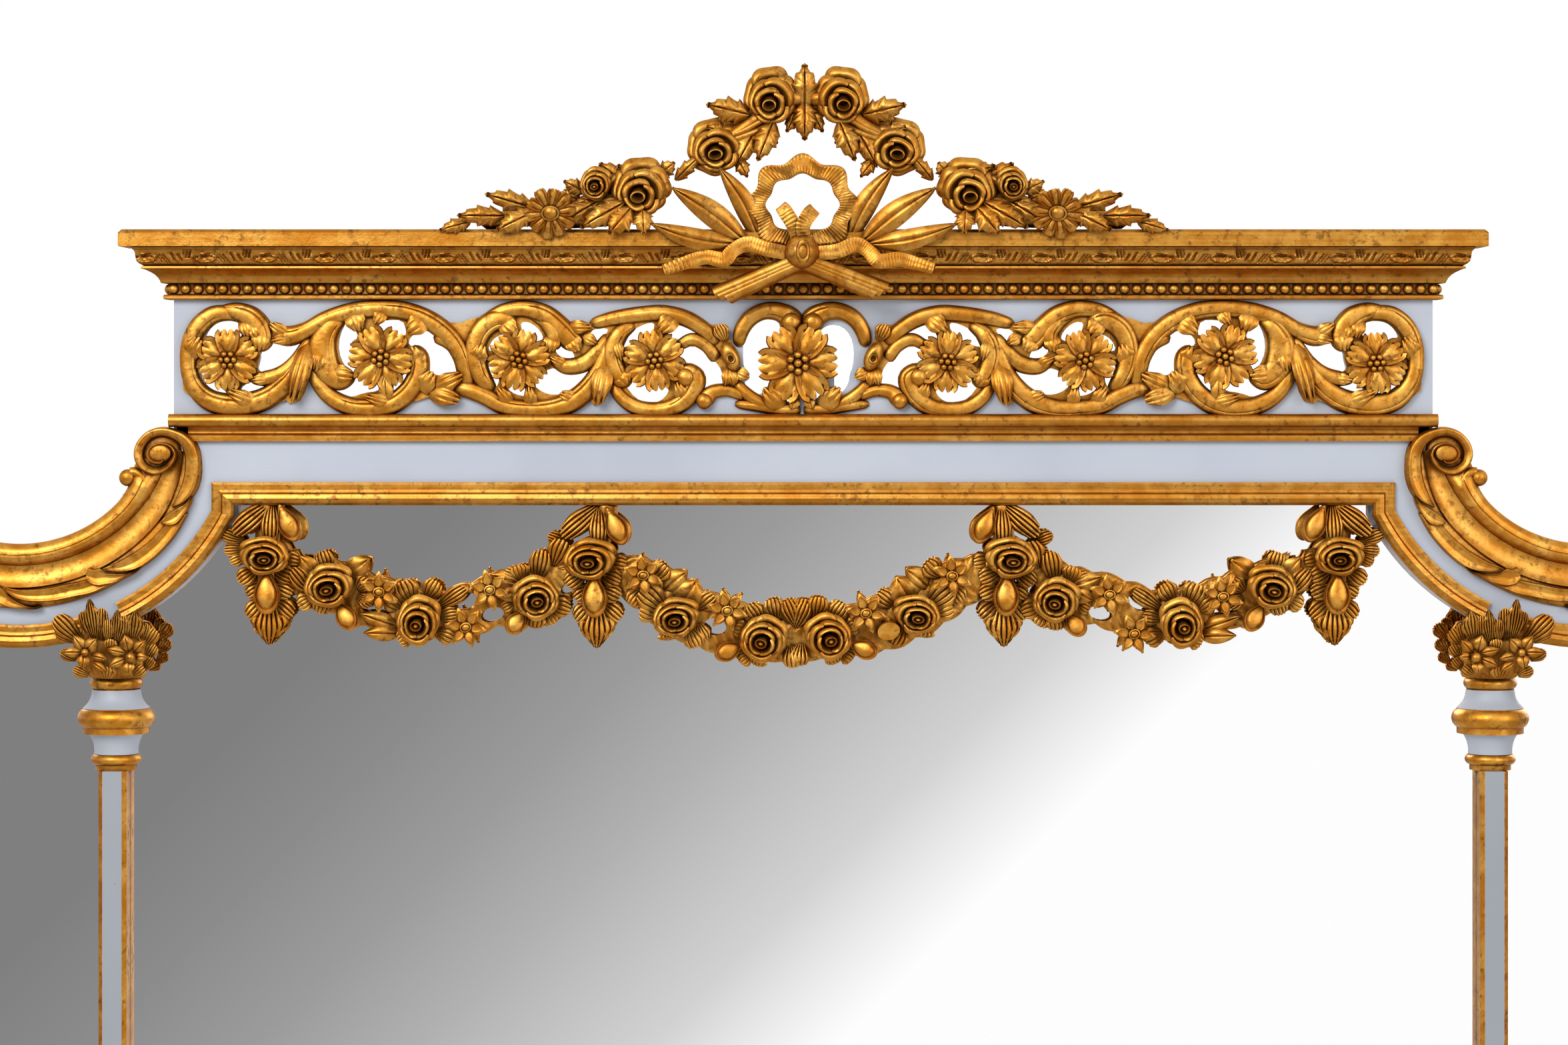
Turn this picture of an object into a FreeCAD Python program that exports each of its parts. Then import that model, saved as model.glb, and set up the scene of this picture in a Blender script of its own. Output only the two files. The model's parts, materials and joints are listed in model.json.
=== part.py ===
import FreeCAD, Part
import Sketcher
import math
import os

Vector = FreeCAD.Vector

# Overmantel mirror: a carved, painted and parcel-gilt frame on a moulded plinth.
# Millimetres. Front faces -Y, the wall side +Y, the underside of the plinth lies on Z = 0.
# The origin is the middle of the plinth's footprint.

DIMENSIONS = (
    # plinth
    ("plinth_depth", 70.0, "wall side to the face of the front board"),
    ("plinth_height", 84.0, "shelf to the underside of the plinth cap"),
    ("plinth_board", 18.0, "thickness of the front board and ends"),
    ("plinth_overhang", 35.0, "plinth end beyond the outer column axis"),
    ("plinth_cap_thickness", 10.0, "cap board"),
    ("plinth_cap_nosing", 4.0, "cap beyond the boards"),
    ("plinth_moulding_depth", 14.0, "foot moulding projection"),
    ("plinth_moulding_height", 30.0, "foot moulding height"),
    # rear frame
    ("rear_depth", 18.0, "thickness of the rear frame"),
    ("mullion_width", 9.0, "rear mullion between two plates"),
    ("stile_width", 18.5, "rear outer stile"),
    ("bottom_rail_height", 18.0, "rear bottom rail"),
    ("wing_rail_height", 26.0, "rear rail over a side plate"),
    ("top_rail_reach", 455.0, "half length of the rear top rail"),
    # plates and backing
    ("plate_thickness", 4.0, "mirror plate"),
    ("plate_clearance", 0.3, "plate edge to rear frame"),
    ("plate_lap", 8.0, "plate hidden behind the front boards"),
    ("backboard_thickness", 6.0, "board behind a plate"),
    ("block_length", 40.0, "glue block behind a backboard"),
    # columns
    ("inner_column_x", 517.5, "axis of an inner column"),
    ("wing_spacing", 140.0, "inner to outer column axis"),
    ("column_base_height", 72.0, "foot of a column, block included"),
    ("column_block_height", 24.0, "square block under the turned foot"),
    ("column_block_width", 52.0, "square block width"),
    ("column_block_depth", 32.0, "square block depth"),
    ("shaft_length", 804.5, "column shaft"),
    ("shaft_width", 21.0, "column shaft face"),
    ("shaft_depth", 20.0, "column shaft from the plate to its face"),
    ("shaft_chamfer", 3.0, "gilt edge of the shaft"),
    ("neck_height", 70.0, "turned neck under the capital"),
    ("neck_radius", 29.0, "largest torus of the neck"),
    ("capital_height", 59.5, "carved capital"),
    ("capital_radius", 34.0, "bell of the capital at its lip"),
    ("capital_flower_radius", 13.0, "flower on the capital"),
    ("capital_flower_depth", 6.0, "flower on the capital"),
    # head boards
    ("board_thickness", 14.0, "front boards"),
    ("opening_rise", 129.5, "foot of the capital to the top of the centre opening"),
    ("scoop_rise", 73.5, "top of the centre opening to the centre of the scoop"),
    ("corner_side", 8.0, "upright side of the opening's corner"),
    ("scroll_radius", 102.5, "upper edge of the scroll moulding"),
    ("scroll_width", 48.5, "scroll moulding across its run"),
    ("scroll_depth", 13.0, "scroll moulding projection"),
    ("scroll_board_setback", 23.5, "board edge behind the scroll moulding's edge"),
    ("shoulder_margin", 12.5, "painted margin under the scroll moulding"),
    ("scroll_start_angle", 69.0, "degrees from the low point to the volute"),
    ("scroll_end_angle", 50.0, "degrees from the low point to the outer volute"),
    ("volute_radius", 19.5, "inner volute"),
    ("outer_volute_radius", 15.0, "outer volute"),
    ("volute_band", 5.5, "band of a volute"),
    ("head_joint_x", 390.0, "joint of the head rail and a shoulder"),
    ("tongue_thickness", 5.0, "tongues of the front boards"),
    ("tongue_length", 8.0, "tongues of the front boards"),
    # mouldings
    ("slip_width", 17.0, "gilt slip round the openings"),
    ("slip_depth", 8.0, "gilt slip projection"),
    ("slip_gap", 10.0, "end of a slip from a column axis"),
    ("foot_slip_height", 24.0, "gilt slip along the plinth"),
    ("foot_slip_depth", 10.0, "gilt slip along the plinth"),
    ("band_height", 31.0, "painted band over the slip"),
    ("architrave_height", 21.0, "moulding under the frieze"),
    ("architrave_depth", 11.0, "moulding under the frieze"),
    ("architrave_overhang", 3.0, "upper roll of the architrave past the end of the frieze"),
    ("architrave_foot_setback", 11.0, "lower part of the architrave short of the end of the frieze"),
    ("frieze_height", 85.0, "pierced frieze"),
    ("frieze_reach", 472.0, "half length of the frieze"),
    ("cornice_height", 39.0, "cornice moulding under its cap"),
    ("cornice_depth", 29.0, "cornice moulding projection"),
    ("cornice_cap_thickness", 12.5, "top fascia"),
    ("cornice_cap_depth", 36.0, "top fascia projection"),
    ("cornice_cap_bevel", 2.5, "top edge of the fascia"),
    ("bead_radius", 3.9, "bead of the cornice"),
    ("bead_pitch", 9.25, "bead to bead"),
    # frieze carving
    ("frieze_hole_radius", 26.0, "round opening in the frieze"),
    ("frieze_ring_radius", 30.0, "centre line of a scroll ring"),
    ("frieze_ring_width", 10.0, "band of a scroll ring"),
    ("frieze_ring_depth", 7.0, "relief of the scrollwork"),
    ("frieze_flower_radius", 18.0, "flower in a ring"),
    ("frieze_flower_thickness", 8.0, "flower in a ring"),
    ("frieze_stem_width", 7.0, "stem that carries a flower"),
    ("frieze_leaf_height", 56.0, "leaf between two rings"),
    ("frieze_leaf_width", 19.0, "leaf between two rings"),
    # garland
    ("drop_inner_x", 148.0, "inner hanging drops"),
    ("drop_outer_x", 402.0, "outer hanging drops"),
    ("drop_rose_fall", 40.0, "opening top to the rose of a drop"),
    ("drop_length", 108.0, "opening top to the tip of a drop"),
    ("stem_radius", 4.0, "stem of a drop"),
    ("bud_radius", 10.0, "bud of a drop"),
    ("bud_length", 46.0, "bud of a drop"),
    ("garland_radius", 15.0, "body of a swag"),
    ("garland_rise", 6.0, "axis of a swag in front of the boards' face"),
    ("swag_fall", 49.0, "fall of the middle swag under the drop roses"),
    ("side_swag_fall", 40.0, "fall of a side swag under the drop roses"),
    ("rose_radius", 22.0, "rose"),
    ("rose_depth", 24.0, "rose"),
    # crest
    ("crest_height", 124.5, "cap to the top of the crest"),
    ("crest_reach", 268.0, "half length of the crest's foot"),
    ("crest_thickness", 14.0, "crest board"),
    ("crest_spray_height", 52.0, "leaves at the foot of the crest"),
    ("wreath_radius", 62.0, "centre line of the wreath"),
    ("wreath_centre_rise", 49.0, "centre of the wreath above the cap"),
    ("wreath_thickness", 24.0, "rope of the wreath"),
    ("crest_rose_radius", 20.0, "rose of the crest"),
    ("crest_rose_depth", 22.0, "rose of the crest"),
    ("ribbon_radius", 33.0, "centre line of the ribbon ring"),
    ("ribbon_width", 16.0, "ribbon ring band"),
    ("ribbon_thickness", 7.0, "ribbon"),
    ("ribbon_centre_rise", 24.0, "centre of the ribbon ring above the cap"),
    ("knot_radius", 14.0, "knot of the ribbon"),
    ("knot_drop", 14.0, "knot below the top of the cap"),
    ("tail_reach", 102.0, "end of a wavy tail from the middle"),
    ("tail_width", 13.0, "ribbon tail"),
    ("strap_reach", 70.0, "end of a straight tail from the middle"),
    ("strap_fall", 50.0, "end of a straight tail below the top of the cap"),
    # fixings
    ("wall_plate_length", 52.0, "brass wall plate"),
    ("wall_plate_height", 24.0, "brass wall plate"),
    ("wall_plate_thickness", 2.0, "brass wall plate"),
    ("wall_plate_drop", 40.5, "middle of a wall plate below the top of the shafts"),
    ("wall_hole_radius", 2.75, "wall screw hole"),
    ("wall_hole_margin", 10.0, "wall screw hole to the end of the plate"),
    ("screw_radius", 1.75, "wood screw"),
    ("screw_head_radius", 3.5, "wood screw head"),
    ("screw_head_height", 2.0, "wood screw head"),
    ("screw_length", 12.0, "wood screw of a wall plate"),
    ("screw_spread", 12.0, "wood screws of a wall plate"),
    ("board_screw_length", 27.0, "wood screw of a front board"),
    ("cut_overrun", 5.0, "cutters run past the wood by this"),
)


class Size:
    """A number together with the sheet expression that gives it."""

    def __init__(self, value, text):
        self.value = value
        self.text = text

    def __add__(self, other):
        other = sized(other)
        return Size(self.value + other.value, f"({self.text} + {other.text})")

    def __radd__(self, other):
        return sized(other) + self

    def __sub__(self, other):
        other = sized(other)
        return Size(self.value - other.value, f"({self.text} - {other.text})")

    def __rsub__(self, other):
        return sized(other) - self

    def __mul__(self, other):
        other = sized(other)
        return Size(self.value * other.value, f"({self.text} * {other.text})")

    def __rmul__(self, other):
        return sized(other) * self

    def __truediv__(self, other):
        other = sized(other)
        return Size(self.value / other.value, f"({self.text} / {other.text})")

    def __neg__(self):
        return Size(-self.value, f"(0 - {self.text})")


def sized(number):
    if isinstance(number, Size):
        return number
    return Size(float(number), f"({float(number):.9g})")


def root(size):
    return Size(math.sqrt(size.value), f"sqrt({size.text})")


def sine(size):
    return Size(math.sin(math.radians(size.value)), f"sin({size.text})")


def cosine(size):
    return Size(math.cos(math.radians(size.value)), f"cos({size.text})")


def arc_sine(size):
    return Size(math.degrees(math.asin(size.value)), f"(asin({size.text}) / 1 deg)")


document = FreeCAD.newDocument("OvermantelMirror")
sheet = document.addObject("Spreadsheet::Sheet", "Sizes")
for row, (alias, number, meaning) in enumerate(DIMENSIONS, start=1):
    sheet.set(f"A{row}", meaning)
    sheet.set(f"B{row}", f"{number}")
    sheet.setAlias(f"B{row}", alias)
document.recompute()


def size(alias):
    return Size(float(sheet.get(alias)), f"Sizes.{alias}")


def mm(alias):
    return float(sheet.get(alias))


subparts = []


def keep(thing, label):
    thing.Label = label
    subparts.append(thing)
    return thing


def bind(thing, name, amount):
    thing.setExpression(name, sized(amount).text)


def place(thing, x, y, z):
    bind(thing, "Placement.Base.x", x)
    bind(thing, "Placement.Base.y", y)
    bind(thing, "Placement.Base.z", z)


def add_box(name, corner, extent):
    box = document.addObject("Part::Box", name)
    bind(box, "Length", extent[0])
    bind(box, "Width", extent[1])
    bind(box, "Height", extent[2])
    place(box, *corner)
    return box


def box_between(name, low, high):
    return add_box(name, low, [b - a for a, b in zip(low, high)])


def add_cylinder(name, centre, radius, length, axis):
    cylinder = document.addObject("Part::Cylinder", name)
    bind(cylinder, "Radius", radius)
    bind(cylinder, "Height", length)
    if axis == "Y":
        cylinder.Placement.Rotation = FreeCAD.Rotation(Vector(1, 0, 0), -90)
    place(cylinder, *centre)
    return cylinder


def cut(name, base, tools):
    result = document.addObject("Part::Cut", name)
    result.Base = base
    if len(tools) == 1:
        result.Tool = tools[0]
        return result
    joined = document.addObject("Part::MultiFuse", name + "_tools")
    joined.Shapes = tools
    result.Tool = joined
    return result


def fuse(name, things):
    result = document.addObject("Part::MultiFuse", name)
    result.Shapes = things
    result.Refine = True
    return result


def group(label, things):
    result = document.addObject("Part::Compound", label)
    result.Links = things
    return keep(result, label)


def fixed_shape(label, shape, at=None):
    thing = document.addObject("Part::Feature", label)
    thing.Shape = shape
    thing.Placement = FreeCAD.Placement(at or Vector(), FreeCAD.Rotation())
    return thing


def origin_plane(body, role):
    return [item for item in body.Origin.OriginFeatures if item.Role == role][0]


def bulged_arc(start, end, bulge):
    """Centre, radius and turn of the arc that stands off its chord by bulge, right of travel."""
    run_x = end[0].value - start[0].value
    run_y = end[1].value - start[1].value
    chord = math.hypot(run_x, run_y)
    radius = (chord * chord / 4 + bulge.value * bulge.value) / (2 * abs(bulge.value))
    offset = bulge.value - math.copysign(radius, bulge.value)
    centre = Vector((start[0].value + end[0].value) / 2 + run_y / chord * offset,
                    (start[1].value + end[1].value) / 2 - run_x / chord * offset, 0)
    chord_square = (end[0] - start[0]) * (end[0] - start[0]) + (end[1] - start[1]) * (end[1] - start[1])
    amount = bulge if bulge.value > 0 else -bulge
    radius_size = (chord_square / 4 + amount * amount) / (2 * amount)
    return centre, radius, bulge.value > 0, radius_size


def draw_outline(sketch, points):
    """Closes an outline in the sketch. Each point is (x, y) or (x, y, bulge of the edge that it starts)."""
    corners = [(sized(point[0]), sized(point[1])) for point in points]
    ends = []
    for index, point in enumerate(points):
        start = corners[index]
        end = corners[(index + 1) % len(points)]
        if len(point) == 2 or abs(sized(point[2]).value) < 1e-9:
            line = Part.LineSegment(Vector(start[0].value, start[1].value, 0),
                                    Vector(end[0].value, end[1].value, 0))
            ends.append((sketch.addGeometry(line), 1, 2, None))
            continue
        centre, radius, left_turn, radius_size = bulged_arc(start, end, sized(point[2]))
        first = math.atan2(start[1].value - centre.y, start[0].value - centre.x)
        last = math.atan2(end[1].value - centre.y, end[0].value - centre.x)
        circle = Part.Circle(centre, Vector(0, 0, 1), radius)
        if left_turn:
            ends.append((sketch.addGeometry(Part.ArcOfCircle(circle, first, last)), 1, 2, radius_size))
        else:
            ends.append((sketch.addGeometry(Part.ArcOfCircle(circle, last, first)), 2, 1, radius_size))
    for index, (edge, first, last, radius_size) in enumerate(ends):
        following = ends[(index + 1) % len(ends)]
        sketch.addConstraint(Sketcher.Constraint("Coincident", edge, last, following[0], following[1]))
    for index, (edge, first, last, radius_size) in enumerate(ends):
        across, up = corners[index]
        hold_point(sketch, "DistanceX", edge, first, across, -2)
        hold_point(sketch, "DistanceY", edge, first, up, -1)
        if radius_size is not None:
            number = sketch.addConstraint(Sketcher.Constraint("Radius", edge, radius_size.value))
            sketch.setExpression(f"Constraints[{number}]", radius_size.text)


def hold_point(sketch, kind, edge, end, distance, axis):
    if abs(distance.value) < 1e-9:
        sketch.addConstraint(Sketcher.Constraint("PointOnObject", edge, end, axis))
        return
    number = sketch.addConstraint(Sketcher.Constraint(kind, -1, 1, edge, end, distance.value))
    sketch.setExpression(f"Constraints[{number}]", distance.text)


def new_sketch(body, name, role, outlines):
    sketch = body.newObject("Sketcher::SketchObject", name)
    sketch.AttachmentSupport = [(origin_plane(body, role), "")]
    sketch.MapMode = "FlatFace"
    for points in outlines:
        draw_outline(sketch, points)
    return sketch


def padded(label, role, outlines, length, both_ways=False):
    """A body with one pad. The XZ plane pads to the front, the YZ plane to +X, the XY plane upwards."""
    body = document.addObject("PartDesign::Body", label)
    sketch = new_sketch(body, label + "_outline", role, outlines)
    pad = body.newObject("PartDesign::Pad", label + "_pad")
    pad.Profile = sketch
    bind(pad, "Length", length)
    pad.Midplane = both_ways
    sketch.Visibility = False
    return body


def pocket_through(body, label, role, outlines):
    sketch = new_sketch(body, label + "_outline", role, outlines)
    pocket = body.newObject("PartDesign::Pocket", label + "_pocket")
    pocket.Profile = sketch
    pocket.Type = "ThroughAll"
    pocket.Midplane = True
    sketch.Visibility = False
    return pocket


def half_turned(label, points):
    """A half turning about the body's Z axis, flat towards the wall, round to the front."""
    body = document.addObject("PartDesign::Body", label)
    sketch = new_sketch(body, label + "_profile", "XZ_Plane", [points])
    turning = body.newObject("PartDesign::Revolution", label + "_turning")
    turning.Profile = sketch
    turning.ReferenceAxis = (sketch, ["V_Axis"])
    turning.Angle = 180
    turning.Reversed = True
    sketch.Visibility = False
    return body


def shared_points(shares, across, up, depth):
    """Turns shares (across, up, bulge) into an outline in sizes."""
    points = []
    for item in shares:
        point = [item[0] * across, item[1] * up]
        if len(item) == 3:
            point.append(item[2] * depth)
        points.append(tuple(point))
    return points


SIDES = (("left", -1), ("right", 1))

# Planes and levels that the pieces share.
outer_column_x = size("inner_column_x") + size("wing_spacing")
plinth_end = outer_column_x + size("plinth_overhang")
back_y = (size("plinth_depth") + size("plinth_moulding_depth")) / 2
plinth_front_y = back_y - size("plinth_depth")
glass_y = back_y - size("rear_depth")
face_y = glass_y - size("board_thickness")
plinth_top = size("plinth_height") + size("plinth_cap_thickness")
shaft_foot = plinth_top + size("column_base_height")
shaft_top = shaft_foot + size("shaft_length")
wall_plate_z = shaft_top - size("wall_plate_drop")
neck_top = shaft_top + size("neck_height")
sight_top = neck_top + size("opening_rise")
slip_top = sight_top + size("slip_width")
band_top = slip_top + size("band_height")
joint_level = band_top + size("architrave_height") / 2
architrave_top = band_top + size("architrave_height")
frieze_top = architrave_top + size("frieze_height")
cornice_top = frieze_top + size("cornice_height")
cap_top = cornice_top + size("cornice_cap_thickness")
cap_front_y = face_y - size("cornice_cap_depth")
scoop_x = size("inner_column_x") + size("wing_spacing") / 2
scoop_z = sight_top + size("scoop_rise")
scroll_outer_radius = size("scroll_radius") + size("scroll_width")
slip_outer_radius = scroll_outer_radius + size("shoulder_margin")
sight_radius = slip_outer_radius + size("slip_width")
board_radius = size("scroll_radius") + size("scroll_board_setback")
corner_drop = size("scoop_rise") + size("corner_side")
corner_x = scoop_x - root(sight_radius * sight_radius - corner_drop * corner_drop)
half_wing = size("wing_spacing") / 2
wing_sight_z = scoop_z - root(sight_radius * sight_radius - half_wing * half_wing)
side_plate_top = wing_sight_z + size("plate_lap")
wing_rail_top = side_plate_top + size("wing_rail_height")
plate_foot = plinth_top + size("bottom_rail_height")
centre_plate_top = sight_top + size("plate_lap")
half_mullion = size("mullion_width") / 2
stile_inner_x = outer_column_x - half_mullion
stile_outer_x = stile_inner_x + size("stile_width")
lap_y = back_y - size("rear_depth") / 2
overrun = size("cut_overrun")


def build_plinth():
    board = size("plinth_board")
    height = size("plinth_height")
    front = box_between("plinth_front_board", [-plinth_end, plinth_front_y, sized(0)],
                        [plinth_end, plinth_front_y + board, height])
    keep(front, "plinth_front_board")
    for side, sign in SIDES:
        inner = plinth_end - board
        low_x = inner if sign > 0 else -plinth_end
        end = add_box("plinth_end_" + side, [low_x, plinth_front_y + board, sized(0)],
                      [board, size("plinth_depth") - board, height])
        keep(end, "plinth_end_" + side)
    nosing = size("plinth_cap_nosing")
    cap = padded("plinth_cap", "YZ_Plane", [[
        (back_y, height),
        (back_y, plinth_top),
        (plinth_front_y - nosing / 2, plinth_top, nosing),
        (plinth_front_y - nosing / 2, height),
    ]], 2 * (plinth_end + nosing), True)
    keep(cap, "plinth_cap")


# Shares of the foot moulding's projection and height, from its lower back corner.
FOOT_MOULDING_SHARES = ((0.0, 0.0), (1.0, 0.0), (1.0, 0.34), (0.9, 0.4, 0.0), (0.82, 0.44, -0.16),
                        (0.34, 0.86), (0.2, 0.9), (0.2, 1.0), (0.0, 1.0))


def build_plinth_moulding():
    depth = size("plinth_moulding_depth")
    height = size("plinth_moulding_height")
    profile = shared_points(FOOT_MOULDING_SHARES, -depth, height, -depth)
    front = padded("plinth_moulding_front", "YZ_Plane", [profile], 2 * (plinth_end + depth), True)
    reach = plinth_end + depth
    mitres = []
    for side, sign in SIDES:
        mitres.append([(sign * plinth_end, sized(0)), (sign * (reach + overrun), -(depth + overrun)),
                       (sign * (reach + overrun), sized(0))])
    pocket_through(front, "plinth_moulding_mitres", "XY_Plane", mitres)
    place(front, sized(0), plinth_front_y, sized(0))
    keep(front, "plinth_moulding_front")
    returns = []
    for side, sign in SIDES:
        profile = shared_points(FOOT_MOULDING_SHARES, sign * depth, height, sign * depth)
        run = size("plinth_depth") + depth
        piece = padded("plinth_moulding_" + side, "XZ_Plane", [profile], run)
        mitre = [(sized(0), depth - run), (sign * (depth + overrun), -run - overrun),
                 (sized(0), -run - overrun)]
        pocket_through(piece, "plinth_moulding_mitre_" + side, "XY_Plane", [mitre])
        place(piece, sign * plinth_end, back_y, sized(0))
        returns.append(piece)
    group("plinth_moulding_returns", returns)


def add_screw(name, along, up, length):
    """A countersunk screw driven from the wall side, its head flush with the back."""
    head = document.addObject("Part::Cone", name + "_head")
    bind(head, "Radius1", size("screw_head_radius"))
    bind(head, "Radius2", size("screw_radius"))
    bind(head, "Height", size("screw_head_height"))
    shank = document.addObject("Part::Cylinder", name + "_shank")
    bind(shank, "Radius", size("screw_radius"))
    bind(shank, "Height", length)
    for piece in (head, shank):
        piece.Placement.Rotation = FreeCAD.Rotation(Vector(1, 0, 0), 90)
        place(piece, along, back_y, up)
    return fuse(name, [head, shank])


# Shares of the head rail's reach and of the wing's spacing where the front boards are screwed from behind.
TOP_SCREW_SHARES = (-0.9, -0.46, 0.0, 0.46, 0.9)
WING_SCREW_SHARES = (0.3, 0.7)


def build_screws():
    """Screws by the pieces that they hold: the wall plates, the head rail and the shoulders."""
    length = size("board_screw_length")
    screws = {"head": []}
    level = (centre_plate_top + joint_level) / 2
    for number, share in enumerate(TOP_SCREW_SHARES):
        screws["head"].append(add_screw(f"head_screw_{number}", share * size("head_joint_x"), level, length))
    for side, sign in SIDES:
        level = side_plate_top + size("wing_rail_height") / 2
        screws["wing_" + side] = []
        for number, share in enumerate(WING_SCREW_SHARES):
            along = sign * (size("inner_column_x") + share * size("wing_spacing"))
            screws["wing_" + side].append(add_screw(f"wing_screw_{side}_{number}", along, level, length))
        screws["plate_" + side] = []
        for number, turn in enumerate((-1, 1)):
            along = sign * (stile_inner_x + size("stile_width") / 2)
            up = wall_plate_z + turn * size("screw_spread") / 2
            screws["plate_" + side].append(add_screw(f"plate_screw_{side}_{number}", along, up,
                                                     size("screw_length")))
    group("wood_screws", [screw for held in screws.values() for screw in held])
    return screws


def build_rear_frame():
    """Rails keep their front half where they cross an upright, uprights keep their back half."""
    inner_x = size("inner_column_x")
    rail_top = plate_foot
    uprights = []
    for side, sign in SIDES:
        spans = (("mullion_" + side, inner_x - half_mullion, inner_x + half_mullion),
                 ("stile_" + side, stile_inner_x, stile_outer_x))
        for label, low, high in spans:
            if sign < 0:
                low, high = -high, -low
            uprights.append((label, low, high))
    rail = box_between("bottom_rail_wood", [-stile_outer_x, glass_y, plinth_top],
                       [stile_outer_x, back_y, rail_top])
    tools = []
    for label, low, high in uprights:
        tools.append(box_between(label + "_foot_lap", [low, lap_y, plinth_top - overrun],
                                 [high, back_y + overrun, rail_top + overrun]))
    keep(cut("bottom_rail", rail, tools), "bottom_rail")
    for label, low, high in uprights:
        wood = box_between(label + "_wood", [low, glass_y, plinth_top], [high, back_y, wing_rail_top])
        tools = [
            box_between(label + "_foot_halving", [low - overrun, glass_y - overrun, plinth_top - overrun],
                        [high + overrun, lap_y, rail_top]),
            box_between(label + "_head_halving", [low - overrun, glass_y - overrun, side_plate_top],
                        [high + overrun, lap_y, wing_rail_top + overrun]),
        ]
        if label.startswith("stile"):
            tools.append(wall_plate_housing(label, low, high))
            tools.extend(screws["plate_" + label.split("_")[1]])
        keep(cut(label, wood, tools), label)
    for side, sign in SIDES:
        low, high = inner_x - half_mullion, stile_outer_x
        if sign < 0:
            low, high = -high, -low
        wood = box_between("wing_rail_wood_" + side, [low, glass_y, side_plate_top],
                           [high, back_y, wing_rail_top])
        tools = []
        for label, first, last in uprights:
            if label.endswith(side):
                tools.append(box_between(label + "_head_lap", [first, lap_y, side_plate_top - overrun],
                                         [last, back_y + overrun, wing_rail_top + overrun]))
        tools.extend(screws["wing_" + side])
        keep(cut("wing_rail_" + side, wood, tools), "wing_rail_" + side)
    reach = size("top_rail_reach")
    wood = box_between("top_rail_wood", [-reach, glass_y, centre_plate_top], [reach, back_y, architrave_top])
    keep(cut("top_rail", wood, screws["head"]), "top_rail")


def wall_plate_housing(label, low, high):
    half = size("wall_plate_height") / 2
    rise = wall_plate_z
    return box_between(label + "_housing", [low, back_y - size("wall_plate_thickness"), rise - half],
                       [high, back_y, rise + half])


def build_plates():
    gap = size("plate_clearance")
    inner_x = size("inner_column_x")
    plate_back = glass_y + size("plate_thickness")
    board_back = plate_back + size("backboard_thickness")
    centre = inner_x - half_mullion - gap
    spans = [("centre", -centre, centre, centre_plate_top)]
    for side, sign in SIDES:
        low, high = inner_x + half_mullion + gap, stile_inner_x - gap
        if sign < 0:
            low, high = -high, -low
        spans.append((side, low, high, side_plate_top))
    side_boards = []
    for name, low, high, top in spans:
        keep(box_between("mirror_plate_" + name, [low, glass_y, plate_foot], [high, plate_back, top]),
             "mirror_plate_" + name)
        board = box_between("backboard_" + name, [low, plate_back, plate_foot], [high, board_back, top])
        if name == "centre":
            keep(board, "backboard_centre")
        else:
            side_boards.append(board)
    group("backboards_side", side_boards)
    build_blocks(board_back)


# Shares of the centre plate's half width and of the plates' height where the glue blocks sit.
RAIL_BLOCK_SHARES = (-0.84, -0.42, 0.0, 0.42, 0.84)
UPRIGHT_BLOCK_SHARES = (0.12, 0.37, 0.62, 0.86)
TOP_BLOCK_SHARES = (-0.84, -0.42, 0.42, 0.84)


def build_blocks(board_back):
    """Glue blocks in the corner between the backboards and the rear frame."""
    depth = back_y - board_back
    length = size("block_length")
    inner_x = size("inner_column_x")
    reach = inner_x - half_mullion
    solids = []
    for share in RAIL_BLOCK_SHARES:
        solids.append((share * reach - length / 2, plate_foot, length, depth))
    for share in TOP_BLOCK_SHARES:
        solids.append((share * size("top_rail_reach") - length / 2, centre_plate_top - depth, length, depth))
    for share in UPRIGHT_BLOCK_SHARES:
        level = plate_foot + share * (side_plate_top - plate_foot)
        for sign in (-1, 1):
            centre_edge = sign * reach
            wing_edge = sign * (inner_x + half_mullion)
            outer_edge = sign * stile_inner_x
            for edge, inward in ((centre_edge, -sign), (wing_edge, sign), (outer_edge, -sign)):
                low = edge if inward > 0 else edge - depth
                solids.append((low, level, depth, length))
    shapes = []
    for low, level, across, tall in solids:
        shapes.append(Part.makeBox(across.value, depth.value, tall.value,
                                   Vector(low.value, board_back.value, level.value)))
    keep(fixed_shape("plate_blocks", Part.makeCompound(shapes)), "plate_blocks")


def build_head_boards():
    joint_x = size("head_joint_x")
    tongue_low = (glass_y + face_y) / 2 - size("tongue_thickness") / 2
    tongue_high = tongue_low + size("tongue_thickness")
    length = size("tongue_length")
    groove_reach = joint_x - length
    wood = box_between("head_rail_wood", [-joint_x, face_y, sight_top], [joint_x, glass_y, joint_level])
    groove = box_between("head_rail_groove", [-groove_reach, tongue_low, joint_level - length],
                         [groove_reach, tongue_high, joint_level + overrun])
    grooved = cut("head_rail_grooved", wood, [groove])
    tongues = []
    for side, sign in SIDES:
        low, high = joint_x, joint_x + length
        if sign < 0:
            low, high = -high, -low
        tongues.append(box_between("head_rail_tongue_" + side, [low, tongue_low, slip_top],
                                   [high, tongue_high, band_top]))
    keep(cut("head_rail", fuse("head_rail_tongued", [grooved] + tongues), screws["head"]), "head_rail")
    for side, sign in SIDES:
        keep(build_shoulder(side, sign, tongue_low, tongue_high), "shoulder_" + side)
    build_frieze_panel(tongue_low, tongue_high, groove_reach)


def on_scoop(radius, angle):
    """A point at so many degrees from the low point of the scoop, positive towards the middle."""
    return scoop_x - radius * sine(angle), scoop_z - radius * cosine(angle)


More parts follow.
